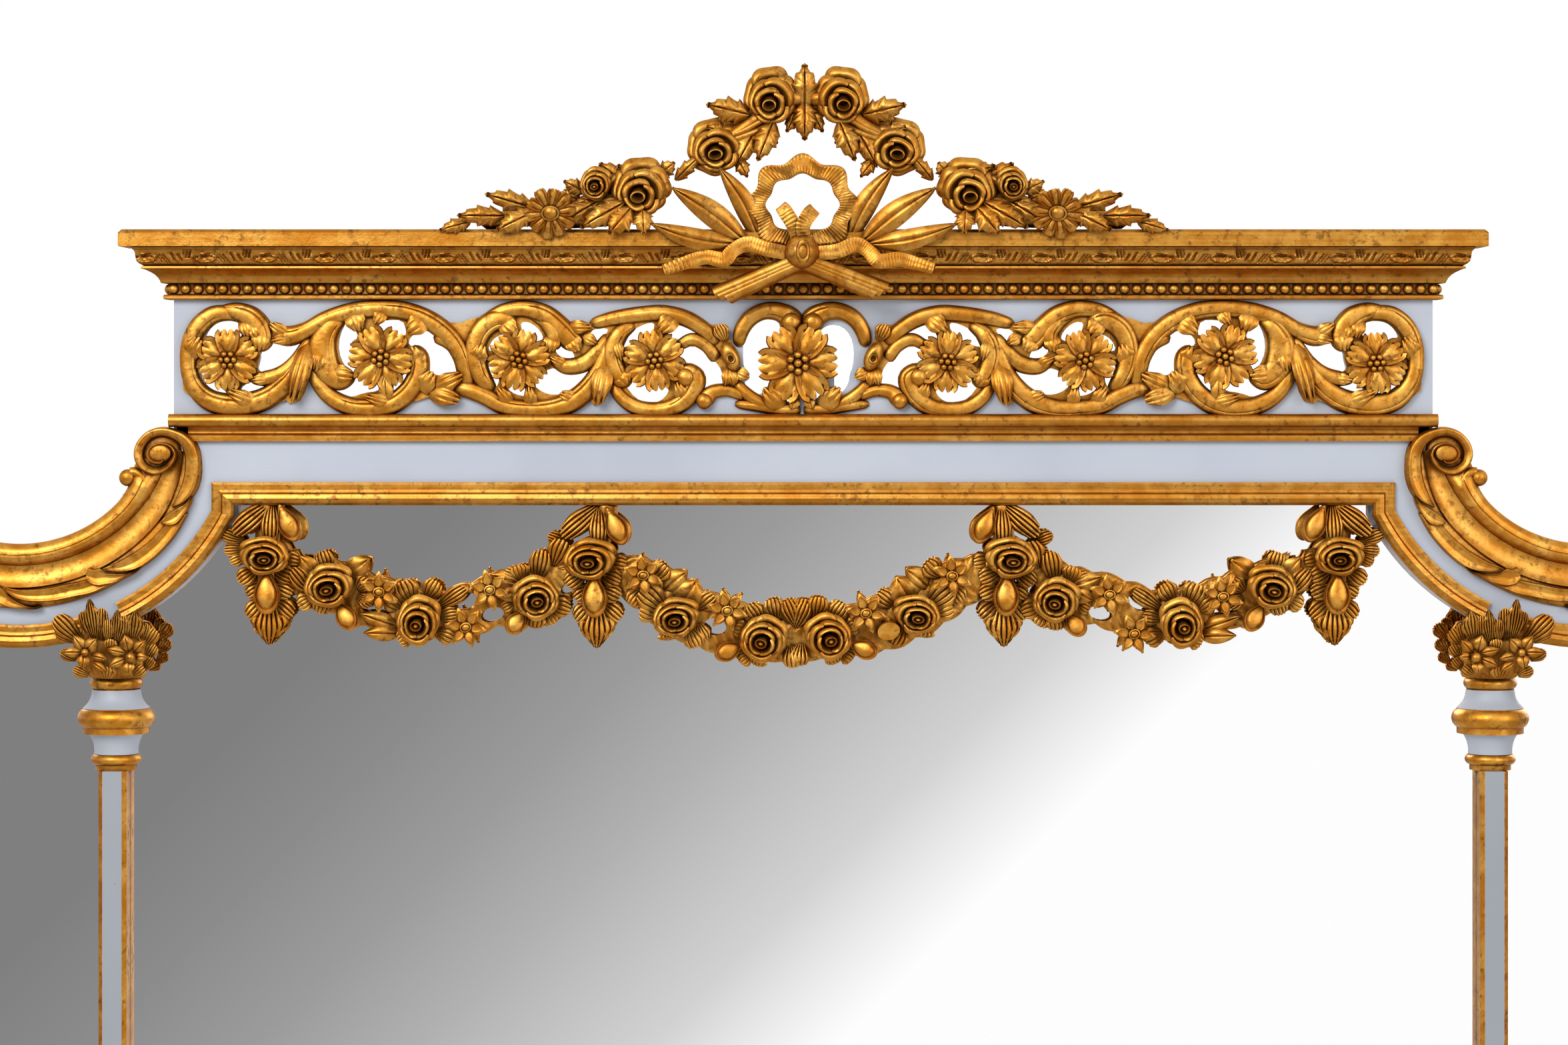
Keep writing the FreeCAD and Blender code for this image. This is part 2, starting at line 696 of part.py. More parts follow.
def build_shoulder(side, sign, tongue_low, tongue_high):
    start_angle = size("scroll_start_angle")
    end_angle = size("scroll_end_angle")
    joint_x = size("head_joint_x")
    top_x, top_z = on_scoop(board_radius, start_angle)
    end_x, end_z = on_scoop(board_radius, -end_angle)
    reach = end_x - scoop_x
    foot_z = scoop_z - root(sight_radius * sight_radius - reach * reach)
    upper_bulge = board_radius * (1 - cosine((start_angle + end_angle) / 2))
    corner_angle = arc_sine((scoop_x - corner_x) / sight_radius)
    foot_angle = arc_sine(reach / sight_radius)
    lower_bulge = sight_radius * (1 - cosine((corner_angle + foot_angle) / 2))
    outline = [
        (sign * joint_x, joint_level),
        (sign * top_x, joint_level),
        (sign * top_x, top_z, sign * upper_bulge),
        (sign * end_x, end_z),
        (sign * end_x, foot_z, -sign * lower_bulge),
        (sign * corner_x, sight_top - size("corner_side")),
        (sign * corner_x, sight_top),
        (sign * joint_x, sight_top),
    ]
    body = padded("shoulder_wood_" + side, "XZ_Plane", [outline], size("board_thickness"))
    place(body, sized(0), glass_y, sized(0))
    low, high = joint_x - overrun, joint_x + size("tongue_length")
    if sign < 0:
        low, high = -high, -low
    groove = box_between("shoulder_groove_" + side, [low, tongue_low, slip_top],
                         [high, tongue_high, band_top])
    return cut("shoulder_" + side, body, [groove] + screws["wing_" + side])


# Places of the frieze's rings from the middle outwards, as shares of its reach.
FRIEZE_RING_SHARES = (0.231, 0.45, 0.667, 0.9025)


def frieze_places():
    places = [sized(0)]
    for share in FRIEZE_RING_SHARES:
        places.append(share * size("frieze_reach"))
        places.append(-share * size("frieze_reach"))
    return places


def build_frieze_panel(tongue_low, tongue_high, groove_reach):
    reach = size("frieze_reach")
    middle = architrave_top + size("frieze_height") / 2
    wood = box_between("frieze_wood", [-reach, face_y, joint_level], [reach, glass_y, cornice_top])
    holes = []
    for number, along in enumerate(frieze_places()):
        holes.append(add_cylinder(f"frieze_hole_{number}", [along, face_y - overrun, middle],
                                  size("frieze_hole_radius"), size("board_thickness") + 2 * overrun, "Y"))
    pierced = cut("frieze_pierced", wood, holes)
    tongue = box_between("frieze_tongue", [-groove_reach, tongue_low, joint_level - size("tongue_length")],
                         [groove_reach, tongue_high, joint_level])
    keep(fuse("frieze_panel", [pierced, tongue]), "frieze_panel")


# Shares of a flower's radius round one petal, and of the radius and depth for the button in the middle.
PETAL_EDGE_SHARES = (0.66, 0.92, 1.0, 0.93, 1.0, 0.92)
BUTTON_FOOT_SHARE = 0.36
BUTTON_TOP_SHARE = 0.24
BUTTON_RISE_SHARE = 0.6


def flower_solid(radius, depth):
    """A flower with six notched petals on the XY plane, its face towards +Z."""
    outline = []
    for petal in range(6):
        for step, share in enumerate(PETAL_EDGE_SHARES):
            angle = math.radians(60 * (petal + step / len(PETAL_EDGE_SHARES)))
            outline.append(Vector(math.cos(angle), math.sin(angle), 0) * (radius * share))
    petals = Part.Face(Part.makePolygon(outline + [outline[0]])).extrude(Vector(0, 0, depth))
    button = Part.makeCone(radius * BUTTON_FOOT_SHARE, radius * BUTTON_TOP_SHARE, depth * BUTTON_RISE_SHARE,
                           Vector(0, 0, depth))
    return petals.fuse(button)


def facing_front(shape):
    """Turns a shape that faces +Z so that it faces the front."""
    turned = shape.copy()
    turned.rotate(Vector(), Vector(1, 0, 0), 90)
    return turned


def half_round_ring(radius, width, depth):
    """A ring on the XY plane, flat below and domed above."""
    half = width / 2
    low = Part.LineSegment(Vector(radius - half, 0, 0), Vector(radius + half, 0, 0)).toShape()
    dome = Part.Arc(Vector(radius + half, 0, 0), Vector(radius, 0, depth),
                    Vector(radius - half, 0, 0)).toShape()
    return Part.Face(Part.Wire([low, dome])).revolve(Vector(), Vector(0, 0, 1), 360)


# Shares of the leaf between two rings: half width over its height, from the lower tip to the upper.
LEAF_SHARES = ((0.0, 0.0), (0.3, 0.2), (0.5, 0.42), (0.34, 0.62), (0.44, 0.8), (0.16, 1.0))


def build_frieze_carving():
    """Scroll rings that carry a flower on three stems across each opening, and the leaves between them."""
    middle = architrave_top.value + mm("frieze_height") / 2
    ring = half_round_ring(mm("frieze_ring_radius"), mm("frieze_ring_width"), mm("frieze_ring_depth"))
    flower = flower_solid(mm("frieze_flower_radius"), mm("frieze_flower_thickness"))
    stems = []
    for angle in (90, 210, 330):
        stem = Part.makeBox(mm("frieze_ring_radius"), mm("frieze_stem_width"), mm("frieze_ring_depth") / 2,
                            Vector(0, -mm("frieze_stem_width") / 2, 0))
        stem.rotate(Vector(), Vector(0, 0, 1), angle)
        stems.append(stem)
    unit = facing_front(flower.fuse([ring] + stems))
    units = []
    for along in frieze_places():
        copy = unit.copy()
        copy.translate(Vector(along.value, face_y.value, middle))
        units.append(copy)
    keep(fixed_shape("frieze_scrolls", Part.makeCompound(units)), "frieze_scrolls")
    levels = [0.0]
    for share in FRIEZE_RING_SHARES:
        levels.append(share * mm("frieze_reach"))
    height = mm("frieze_leaf_height")
    width = mm("frieze_leaf_width")
    leaves = []
    for first, second in zip(levels, levels[1:]):
        for sign in (-1, 1):
            leaf = leaf_plate(width, height, mm("frieze_ring_depth"))
            leaf.translate(Vector(sign * (first + second) / 2, face_y.value, middle - height / 2))
            leaves.append(leaf)
    keep(fixed_shape("frieze_leaves", Part.makeCompound(leaves)), "frieze_leaves")


def leaf_plate(width, height, thickness):
    """A lobed leaf standing on the XZ plane from Z = 0, its back on Y = 0, its face to the front."""
    half = [Vector(share[0] * width, 0, share[1] * height) for share in LEAF_SHARES]
    other = [Vector(-point.x, 0, point.z) for point in reversed(half) if point.x > 0]
    outline = Part.makePolygon(half + other + [half[0]])
    return Part.Face(outline).extrude(Vector(0, -thickness, 0))


# Shares of the architrave's projection and height, from its lower back corner, and the bulge of the roll.
ARCHITRAVE_SHARES = ((0.0, 0.0), (0.45, 0.0), (0.45, 0.2), (0.28, 0.26, -0.06), (0.28, 0.42),
                     (0.4, 0.5, 0.5),
                     (0.4, 0.97), (0.0, 0.97))


def build_architrave():
    depth = size("architrave_depth")
    height = size("architrave_height")
    profile = shared_points(ARCHITRAVE_SHARES, -depth, height, -depth)
    reach = size("frieze_reach") + size("architrave_overhang")
    foot = size("frieze_reach") - size("architrave_foot_setback")
    body = padded("architrave", "YZ_Plane", [profile], 2 * reach, True)
    trims = []
    for side, sign in SIDES:
        trims.append([(sign * foot, -overrun), (sign * (reach + overrun), -overrun),
                      (sign * (reach + overrun), height / 2), (sign * foot, height / 2)])
    pocket_through(body, "architrave_ends", "XZ_Plane", trims)
    place(body, sized(0), face_y, band_top)
    keep(body, "architrave")


# Shares of the cornice moulding's projection and height: bead fillet, cove, fillet and ogee.
CORNICE_SHARES = ((0.0, 0.0), (0.12, 0.0), (0.16, 0.03), (0.16, 0.13), (0.12, 0.16), (0.12, 0.38),
                  (0.2, 0.42, -0.11), (0.62, 0.74), (0.66, 0.74), (0.66, 0.8, 0.05), (0.8, 0.9, -0.04),
                  (1.0, 1.0), (0.0, 1.0))
BEAD_FACE_SHARE = 0.12
BEAD_LEVEL_SHARE = 0.27


def build_cornice():
    depth = size("cornice_depth")
    height = size("cornice_height")
    reach = size("frieze_reach")
    profile = shared_points(CORNICE_SHARES, -depth, height, -depth)
    front = padded("cornice_front", "YZ_Plane", [profile], 2 * (reach + depth), True)
    mitres = []
    for side, sign in SIDES:
        far = reach + depth + overrun
        mitres.append([(sign * reach, sized(0)), (sign * far, -(depth + overrun)), (sign * far, sized(0))])
    pocket_through(front, "cornice_mitres", "XY_Plane", mitres)
    place(front, sized(0), face_y, frieze_top)
    keep(front, "cornice_front")
    returns = []
    for side, sign in SIDES:
        profile = shared_points(CORNICE_SHARES, sign * depth, height, sign * depth)
        run = size("board_thickness") + depth
        piece = padded("cornice_return_" + side, "XZ_Plane", [profile], run)
        mitre = [(sized(0), depth - run), (sign * (depth + overrun), -run - overrun),
                 (sized(0), -run - overrun)]
        pocket_through(piece, "cornice_return_mitre_" + side, "XY_Plane", [mitre])
        place(piece, sign * reach, glass_y, frieze_top)
        returns.append(piece)
    group("cornice_returns", returns)
    build_cornice_cap()
    build_beads()


def build_cornice_cap():
    """The fascia board, its top edge bevelled along the front and both ends."""
    reach = size("frieze_reach") + size("cornice_cap_depth")
    bevel = size("cornice_cap_bevel")
    thick = size("cornice_cap_thickness")
    body = padded("cornice_cap", "YZ_Plane", [[
        (glass_y, sized(0)),
        (glass_y, thick),
        (cap_front_y + bevel, thick),
        (cap_front_y, thick - bevel),
        (cap_front_y, sized(0)),
    ]], 2 * reach, True)
    trims = []
    for side, sign in SIDES:
        trims.append([(sign * reach, thick - bevel), (sign * reach, thick + bevel),
                      (sign * (reach - 2 * bevel), thick + bevel)])
    pocket_through(body, "cornice_cap_ends", "XZ_Plane", trims)
    place(body, sized(0), sized(0), cornice_top)
    keep(body, "cornice_cap")


# The neck between two beads as a share of the bead's radius.
BEAD_NECK_SHARE = 0.55


def bead_string(count):
    """Half-round turned beads along X, centred, flat on Y = 0 and round to the front."""
    radius = mm("bead_radius")
    pitch = mm("bead_pitch")
    neck = radius * BEAD_NECK_SHARE
    half = math.sqrt(radius * radius - neck * neck)
    start = -pitch * count / 2
    edges = []
    corner = Vector(start, 0, 0)
    for step in range(count):
        middle = start + pitch * (step + 0.5)
        first = Vector(middle - half, 0, neck)
        last = Vector(middle + half, 0, neck)
        left = Vector(start + pitch * step, 0, neck)
        right = Vector(left.x + pitch, 0, neck)
        if step == 0:
            edges.append(Part.LineSegment(corner, left).toShape())
        edges.append(Part.LineSegment(left, first).toShape())
        edges.append(Part.Arc(first, Vector(middle, 0, radius), last).toShape())
        edges.append(Part.LineSegment(last, right).toShape())
    end = Vector(-start, 0, 0)
    edges.append(Part.LineSegment(Vector(-start, 0, neck), end).toShape())
    edges.append(Part.LineSegment(end, corner).toShape())
    face = Part.Face(Part.Wire(edges))
    return face.revolve(Vector(), Vector(1, 0, 0), 180)


def build_beads():
    level = frieze_top.value + BEAD_LEVEL_SHARE * mm("cornice_height")
    stand = BEAD_FACE_SHARE * mm("cornice_depth")
    reach = mm("frieze_reach") + stand
    count = int(2 * reach / mm("bead_pitch"))
    front = bead_string(count)
    front.translate(Vector(0, face_y.value - stand, level))
    strings = [front]
    run = mm("board_thickness") + stand
    count = max(1, int(run / mm("bead_pitch")))
    for side, sign in SIDES:
        piece = bead_string(count)
        piece.rotate(Vector(), Vector(0, 0, 1), 90 * sign)
        piece.translate(Vector(sign * reach, glass_y.value - mm("bead_pitch") * count / 2, level))
        strings.append(piece)
    keep(fixed_shape("cornice_beads", Part.makeCompound(strings)), "cornice_beads")


# Shares of the slip's width from the opening outwards and of its projection.
SLIP_SHARES = ((0.0, 0.0), (0.0, 0.62), (0.12, 0.86), (0.3, 1.0), (0.48, 0.9), (0.56, 0.6), (0.68, 0.5),
               (0.9, 0.5), (1.0, 0.4), (1.0, 0.0))


def swept_slip(path):
    """Sweeps the slip profile along a path of edges that starts at the middle of the top, going to +X."""
    width = mm("slip_width")
    depth = mm("slip_depth")
    start = path[0].firstVertex().Point
    points = [Vector(start.x, start.y - share[1] * depth,
                     start.z + share[0] * width) for share in SLIP_SHARES]
    profile = Part.makePolygon(points + [points[0]])
    sweep = Part.BRepOffsetAPI.MakePipeShell(Part.Wire(path))
    sweep.setTransitionMode(1)
    sweep.add(profile)
    sweep.build()
    sweep.makeSolid()
    return sweep.shape()


def scoop_point(radius, angle):
    turn = math.radians(angle)
    return Vector(scoop_x.value - radius * math.sin(turn), 0, scoop_z.value - radius * math.cos(turn))


def build_slips():
    """The mitred slip round the centre opening in three lengths, and one over each side plate."""
    sight = sight_radius.value
    start = math.degrees(math.asin((scoop_x.value - corner_x.value) / sight))
    stop = math.degrees(math.asin((half_wing.value + mm("slip_gap")) / sight))
    wing = math.degrees(math.asin((half_wing.value - mm("slip_gap")) / sight))
    top = Vector(0, 0, sight_top.value)
    corner = Vector(corner_x.value, 0, sight_top.value)
    first = scoop_point(sight, start)
    middle = scoop_point(sight, (start + stop) / 2)
    last = scoop_point(sight, stop)
    right = swept_slip([Part.LineSegment(top, corner).toShape(), Part.LineSegment(corner, first).toShape(),
                        Part.Arc(first, middle, last).toShape()])
    reach = 2 * mm("slip_width")
    wedge = Part.makePolygon([top, corner, corner + Vector(reach, 0, reach), top + Vector(0, 0, reach), top])
    depth = mm("slip_depth") + mm("cut_overrun")
    wedge = Part.Face(wedge).extrude(Vector(0, -depth, 0))
    half_top = right.common(wedge)
    corner_piece = right.cut(wedge)
    whole_top = half_top.fuse(half_top.mirror(Vector(), Vector(1, 0, 0))).removeSplitter()
    lift = Vector(0, face_y.value, 0)
    keep(fixed_shape("slip_top", whole_top, lift), "slip_top")
    keep(fixed_shape("slip_corner_right", corner_piece, lift), "slip_corner_right")
    keep(fixed_shape("slip_corner_left", corner_piece.mirror(Vector(), Vector(1, 0, 0)), lift),
         "slip_corner_left")
    begin = scoop_point(sight, wing)
    points = []
    across = (begin - Vector(scoop_x.value, 0, scoop_z.value)).normalize()
    for share in SLIP_SHARES:
        points.append(begin - across * (share[0] * mm("slip_width")) - Vector(0,
                                                                              share[1] * mm("slip_depth"), 0))
    profile = Part.Face(Part.makePolygon(points + [points[0]]))
    piece = profile.revolve(Vector(scoop_x.value, 0, scoop_z.value), Vector(0, 1, 0), -2 * wing)
    both = Part.makeCompound([piece, piece.mirror(Vector(), Vector(1, 0, 0))])
    keep(fixed_shape("slip_wings", both, lift), "slip_wings")


def build_foot_slips():
    """Gilt slips along the plinth between the blocks of the columns."""
    block = size("column_block_width") / 2
    inner_x = size("inner_column_x")
    spans = [("centre", -(inner_x - block), inner_x - block)]
    for side, sign in SIDES:
        low, high = inner_x + block, outer_column_x - block
        if sign < 0:
            low, high = -high, -low
        spans.append((side, low, high))
    depth = size("foot_slip_depth")
    height = size("foot_slip_height")
    slips = []
    for name, low, high in spans:
        body = padded("foot_slip_" + name, "YZ_Plane", [[
            (sized(0), sized(0)),
            (-depth, sized(0)),
            (-depth, height / 2, depth / 6),
            (-depth / 2, height),
            (sized(0), height),
        ]], high - low, True)
        place(body, (low + high) / 2, glass_y, plinth_top)
        slips.append(body)
    group("foot_slips", slips)


# Shares of the scroll moulding's width from its upper edge and of its projection.
SCROLL_SHARES = ((0.0, 0.0), (0.0, 0.4), (0.04, 0.68), (0.11, 0.8), (0.17, 0.66), (0.2, 0.76), (0.28, 0.68),
                 (0.32, 0.42), (0.36, 0.34), (0.52, 0.3), (0.66, 0.44), (0.7, 0.7), (0.78, 0.96), (0.9, 0.9),
                 (1.0, 0.5), (1.0, 0.0))


# The volute: depth of its ground as a share of the band's, how much thinner the band ends, and its turns.
VOLUTE_GROUND_SHARE = 0.5
VOLUTE_TAPER_SHARE = 0.4
VOLUTE_TURNS = 1.6
# The volute's place: how far it stands off the strip as a share of its radius, and past the strip's end
# in degrees.
VOLUTE_OFFSET_SHARE = 0.1
VOLUTE_PAST_ANGLE = 2
OUTER_BAND_SHARE = 0.8


def volute_solid(radius, band, depth):
    """A spiral band on a disc with a round eye, on the XY plane and facing +Z."""
    disc = Part.makeCylinder(radius, depth * VOLUTE_GROUND_SHARE)
    steps = 48
    outer = []
    inner = []
    for step in range(steps + 1):
        part = step / steps
        angle = 2 * math.pi * VOLUTE_TURNS * part
        ray = Vector(math.cos(angle), math.sin(angle), 0)
        reach = radius + (band - radius) * part
        outer.append(ray * reach)
        inner.append(ray * (reach - band * (1 - VOLUTE_TAPER_SHARE * part)))
    ridge = Part.Face(Part.makePolygon(outer + inner[::-1] + [outer[0]])).extrude(Vector(0, 0, depth))
    eye = Part.makeSphere(band)
    eye = eye.common(Part.makeBox(radius * 2, radius * 2, radius, Vector(-radius, -radius, 0)))
    eye.translate(Vector(0, 0, depth * VOLUTE_GROUND_SHARE))
    return disc.fuse([ridge, eye])


def build_scrolls():
    """The C-scroll moulding on the scooped edge of each shoulder, with a volute at each end."""
    depth = mm("scroll_depth")
    start = mm("scroll_start_angle")
    end = mm("scroll_end_angle")
    centre = Vector(scoop_x.value, 0, scoop_z.value)
    points = []
    for share in SCROLL_SHARES:
        radius = mm("scroll_radius") + share[0] * mm("scroll_width")
        points.append(scoop_point(radius, start) - Vector(0, share[1] * depth, 0))
    strip = Part.Face(Part.makePolygon(points + [points[0]])).revolve(centre, Vector(0, 1, 0),
                                                                      -(start + end))
    inner_run = mm("scroll_radius") + mm("volute_band") + VOLUTE_OFFSET_SHARE * mm("volute_radius")
    inner = facing_front(volute_solid(mm("volute_radius"), mm("volute_band"), depth))
    inner.translate(scoop_point(inner_run, start + VOLUTE_PAST_ANGLE))
    outer_run = scroll_outer_radius.value - mm("outer_volute_radius")
    outer = facing_front(volute_solid(mm("outer_volute_radius"), mm("volute_band") * OUTER_BAND_SHARE,
                                      depth))
    outer.translate(scoop_point(outer_run, -end))
    right = strip.fuse([inner, outer])
    lift = Vector(0, face_y.value, 0)
    keep(fixed_shape("scroll_right", right, lift), "scroll_right")
    keep(fixed_shape("scroll_left", right.mirror(Vector(), Vector(1, 0, 0)), lift), "scroll_left")


# Shares of the neck's radius and height from the shaft up, with the bulge of each edge as a share of the
# radius.
NECK_SHARES = ((0.0, 0.0), (0.535, 0.0), (0.535, 0.057, 0.12), (0.535, 0.171), (0.57, 0.171, -0.05),
               (0.707, 0.386),
               (0.862, 0.393), (0.862, 0.457, 0.137), (0.862, 0.657), (0.862, 0.665, -0.06), (0.62, 0.864),
               (0.6, 0.871, 0.09), (0.6, 0.99), (0.6, 1.0), (0.0, 1.0))
# The same for the turned foot, from the block up.
FOOT_SHARES = ((0.0, 0.0), (0.88, 0.0), (0.88, 0.04, 0.12), (0.88, 0.34), (0.8, 0.34), (0.8, 0.42),
               (0.7, 0.42, -0.06),
               (0.56, 0.74), (0.56, 0.78, 0.1), (0.56, 0.94), (0.535, 0.94), (0.535, 1.0), (0.0, 1.0))


def column_places():
    return (("outer_left", -outer_column_x), ("inner_left", -size("inner_column_x")),
            ("inner_right", size("inner_column_x")), ("outer_right", outer_column_x))


def build_columns():
    radius = size("neck_radius")
    block_height = size("column_block_height")
    turned_height = size("column_base_height") - block_height
    half = size("shaft_width") / 2
    depth = size("shaft_depth")
    chamfer = size("shaft_chamfer")
    capital = capital_solid()
    blocks = []
    feet = []
    necks = []
    for name, along in column_places():
        width = size("column_block_width")
        block = add_box("column_block_" + name,
                        [along - width / 2, glass_y - size("column_block_depth"), plinth_top],
                        [width, size("column_block_depth"), block_height])
        blocks.append(block)
        foot = half_turned("column_foot_" + name, shared_points(FOOT_SHARES, radius, turned_height, radius))
        place(foot, along, glass_y, plinth_top + block_height)
        feet.append(foot)
        shaft = padded("column_shaft_" + name, "XY_Plane", [[
            (-half, sized(0)),
            (-half, chamfer - depth),
            (chamfer - half, -depth),
            (half - chamfer, -depth),
            (half, chamfer - depth),
            (half, sized(0)),
        ]], size("shaft_length"))
        place(shaft, along, glass_y, shaft_foot)
        keep(shaft, "column_shaft_" + name)
        neck = half_turned("column_neck_" + name,
                           shared_points(NECK_SHARES, radius, size("neck_height"), radius))
        place(neck, along, glass_y, shaft_top)
        necks.append(neck)
        keep(fixed_shape("capital_" + name, capital, Vector(along.value, glass_y.value, neck_top.value)),
             "capital_" + name)
    group("column_blocks", blocks)
    group("column_feet", feet)
    group("column_necks", necks)


# Shares of the capital's lip radius and height: the fluted bell from its foot to its lip.
BELL_SHARES = ((0.62, 0.0), (0.8, 0.12), (0.84, 0.3), (0.86, 0.5), (0.96, 0.74), (1.12, 0.94), (0.94, 1.0))
# How much of the bell's radius is lost in a flute at its foot and at its lip.
FLUTE_FOOT_SHARE = 0.04
FLUTE_LIP_SHARE = 0.16
CAPITAL_LEAVES = 7
CAPITAL_FLOWER_ANGLES = (-44, 44)
CAPITAL_FLOWER_REACH_SHARE = 0.74
CAPITAL_FLOWER_RISE_SHARE = 0.34


def capital_solid():
    """A half bell of fluted leaves with two flowers, standing on the neck. It is cut back at the slips."""
    radius = mm("capital_radius")
    height = mm("capital_height")
    steps = 2 * CAPITAL_LEAVES
    rings = []
    for reach_share, rise_share in BELL_SHARES:
        flute_share = FLUTE_FOOT_SHARE + (FLUTE_LIP_SHARE - FLUTE_FOOT_SHARE) * rise_share
        ring = []
        for step in range(steps + 1):
            turn = math.pi * (1 + step / steps)
            valley_share = flute_share if step % 2 == 0 else 0
            reach = radius * reach_share * (1 - valley_share)
            ring.append(Vector(reach * math.cos(turn), reach * math.sin(turn), rise_share * height))
        rings.append(Part.makePolygon(ring + [ring[0]]))
    bell = Part.makeLoft(rings, True, True)
    flower = facing_front(flower_solid(mm("capital_flower_radius"), mm("capital_flower_depth")))
    flowers = []
    for angle in CAPITAL_FLOWER_ANGLES:
        piece = flower.copy()
        piece.translate(Vector(0, -radius * CAPITAL_FLOWER_REACH_SHARE, height * CAPITAL_FLOWER_RISE_SHARE))
        piece.rotate(Vector(), Vector(0, 0, 1), angle)
        flowers.append(piece)
    span = 4 * radius
    clear = mm("board_thickness") + mm("slip_depth")
    top = wing_sight_z.value - mm("slip_width") - neck_top.value
    back = Part.makeBox(span, clear, 2 * height, Vector(-span / 2, -clear, top))
    behind = Part.makeBox(span, span, 4 * height, Vector(-span / 2, 0, -height))
    return bell.fuse(flowers).cut(back).cut(behind)


# Shares of a rose's radius and depth: two rings of petals round a sunk heart.
ROSE_SHARES = ((0.0, -0.35), (0.72, -0.35), (1.0, 0.1), (0.98, 0.3), (0.84, 0.36), (0.7, 0.34),
               (0.66, 0.5), (0.5, 0.62),
               (0.42, 0.56), (0.3, 0.64), (0.18, 0.6), (0.0, 0.5))


def rose_solid(radius, depth):
    """A rose that faces the front, its middle at the origin."""
    points = [Vector(share[0] * radius, 0, share[1] * depth) for share in ROSE_SHARES]
    return facing_front(Part.Face(Part.makePolygon(points + [points[0]])).revolve(Vector(),
                                                                                  Vector(0, 0, 1), 360))


# The foot of a drop's bud as a share of the drop, and the width of its leaf as a share of the rose's radius.
DROP_BUD_SHARE = 0.82
DROP_LEAF_SHARE = 1.1
# Shares of the bud's radius and length, from its tip up.
BUD_SHARES = ((0.0, 0.0), (0.3, 0.08), (0.8, 0.3), (1.0, 0.5), (0.8, 0.72), (0.4, 0.9), (0.3, 1.0),
              (0.0, 1.0))


def drop_solid():
    """A stem, a rose, a bud and a leaf that hang from the opening's edge. The stem's top is Z = 0."""
    axis_y = -mm("garland_rise")
    fall = mm("drop_rose_fall")
    stem_y = -mm("stem_radius") / 2
    stem = Part.makeCylinder(mm("stem_radius"), fall, Vector(0, stem_y, -fall))
    rose = rose_solid(mm("rose_radius"), mm("rose_depth"))
    rose.translate(Vector(0, axis_y, -fall))
    points = [Vector(share[0] * mm("bud_radius"), 0, share[1] * mm("bud_length")) for share in BUD_SHARES]
    bud = Part.Face(Part.makePolygon(points + [points[0]])).revolve(Vector(), Vector(0, 0, 1), 360)
    bud.translate(Vector(0, axis_y, -mm("drop_length") * DROP_BUD_SHARE))
    leaf = leaf_plate(mm("rose_radius") * DROP_LEAF_SHARE, mm("drop_length") - fall, mm("stem_radius"))
    leaf.translate(Vector(0, axis_y + mm("stem_radius"), -mm("drop_length")))
    return stem.fuse([rose, bud, leaf])


# Places of the roses along a swag as shares of its run.
SWAG_ROSE_SHARES = (0.22, 0.5, 0.78)


def swag_solid(start_x, end_x, fall):
    """A hanging rope of leaves with roses on it, between two drops. The drops' roses are at Z = 0."""
    half = (end_x - start_x) / 2
    rise = (half * half + fall * fall) / (2 * fall)
    middle = (start_x + end_x) / 2
    axis_y = -mm("garland_rise")
    centre = Vector(middle, axis_y, rise - fall)
    swing = math.degrees(math.asin(half / rise))
    ring = Part.Wire(Part.makeCircle(mm("garland_radius"), centre + Vector(0, 0, -rise), Vector(1, 0, 0)))
    body = Part.Face(ring)
    body.rotate(centre, Vector(0, 1, 0), swing)
    body = body.revolve(centre, Vector(0, 1, 0), -2 * swing)
    roses = []
    for share in SWAG_ROSE_SHARES:
        turn = math.radians((2 * share - 1) * swing)
        rose = rose_solid(mm("rose_radius"), mm("rose_depth"))
        rose.translate(centre + Vector(math.sin(turn), 0, -math.cos(turn)) * rise)
        roses.append(rose)
    return body.fuse(roses)


def build_garland():
    drop = drop_solid()
    places = (-mm("drop_outer_x"), -mm("drop_inner_x"), mm("drop_inner_x"), mm("drop_outer_x"))
    drops = []
    for along in places:
        piece = drop.copy()
        piece.translate(Vector(along, face_y.value, sight_top.value))
        drops.append(piece)
    level = sight_top.value - mm("drop_rose_fall")
    names = ("swag_left", "swag_centre", "swag_right")
    falls = (mm("side_swag_fall"), mm("swag_fall"), mm("side_swag_fall"))
    for name, first, last, fall in zip(names, places, places[1:], falls):
        swag = swag_solid(first, last, fall)
        swag.translate(Vector(0, face_y.value, level))
        trimmed = swag.cut(Part.makeCompound(drops))
        solid = max(trimmed.Solids, key=lambda item: item.Volume)
        keep(fixed_shape(name, solid), name)
    keep(fixed_shape("garland_drops", Part.makeCompound(drops)), "garland_drops")


# Shares of the crest's half length and of the spray's height: the leafy foot of the crest, from its tip
# inwards.
SPRAY_SHARES = ((1.0, 0.0), (0.97, 0.16), (0.86, 0.3), (0.8, 0.55), (0.72, 0.86), (0.62, 0.96),
                (0.55, 0.7), (0.5, 0.98),
                (0.44, 1.1), (0.36, 1.1), (0.3, 0.8), (0.25, 0.5), (0.25, 0.0))
# Places of the crest's roses as shares of its half length and height, and their size as a share of a rose.
CREST_ROSE_SHARES = ((0.455, 0.24, 1.05),)
DAISY_SHARES = (0.71, 0.14, 0.8)
# Places of the roses on the wreath, in degrees from its top.
WREATH_ROSE_ANGLES = (-72, -27, 27, 72)
WREATH_REACH_ANGLE = 118
# The rope's radius as a share of the wreath's thickness, and a foot's radius as a share of half of it.
ROPE_SHARE = 0.4
WREATH_FOOT_SHARE = 0.7
# The width of the wreath's top leaf as a share of a rose's radius, and a daisy's depth as a share of a
# rose's.
TOP_LEAF_SHARE = 1.6
DAISY_DEPTH_SHARE = 0.3


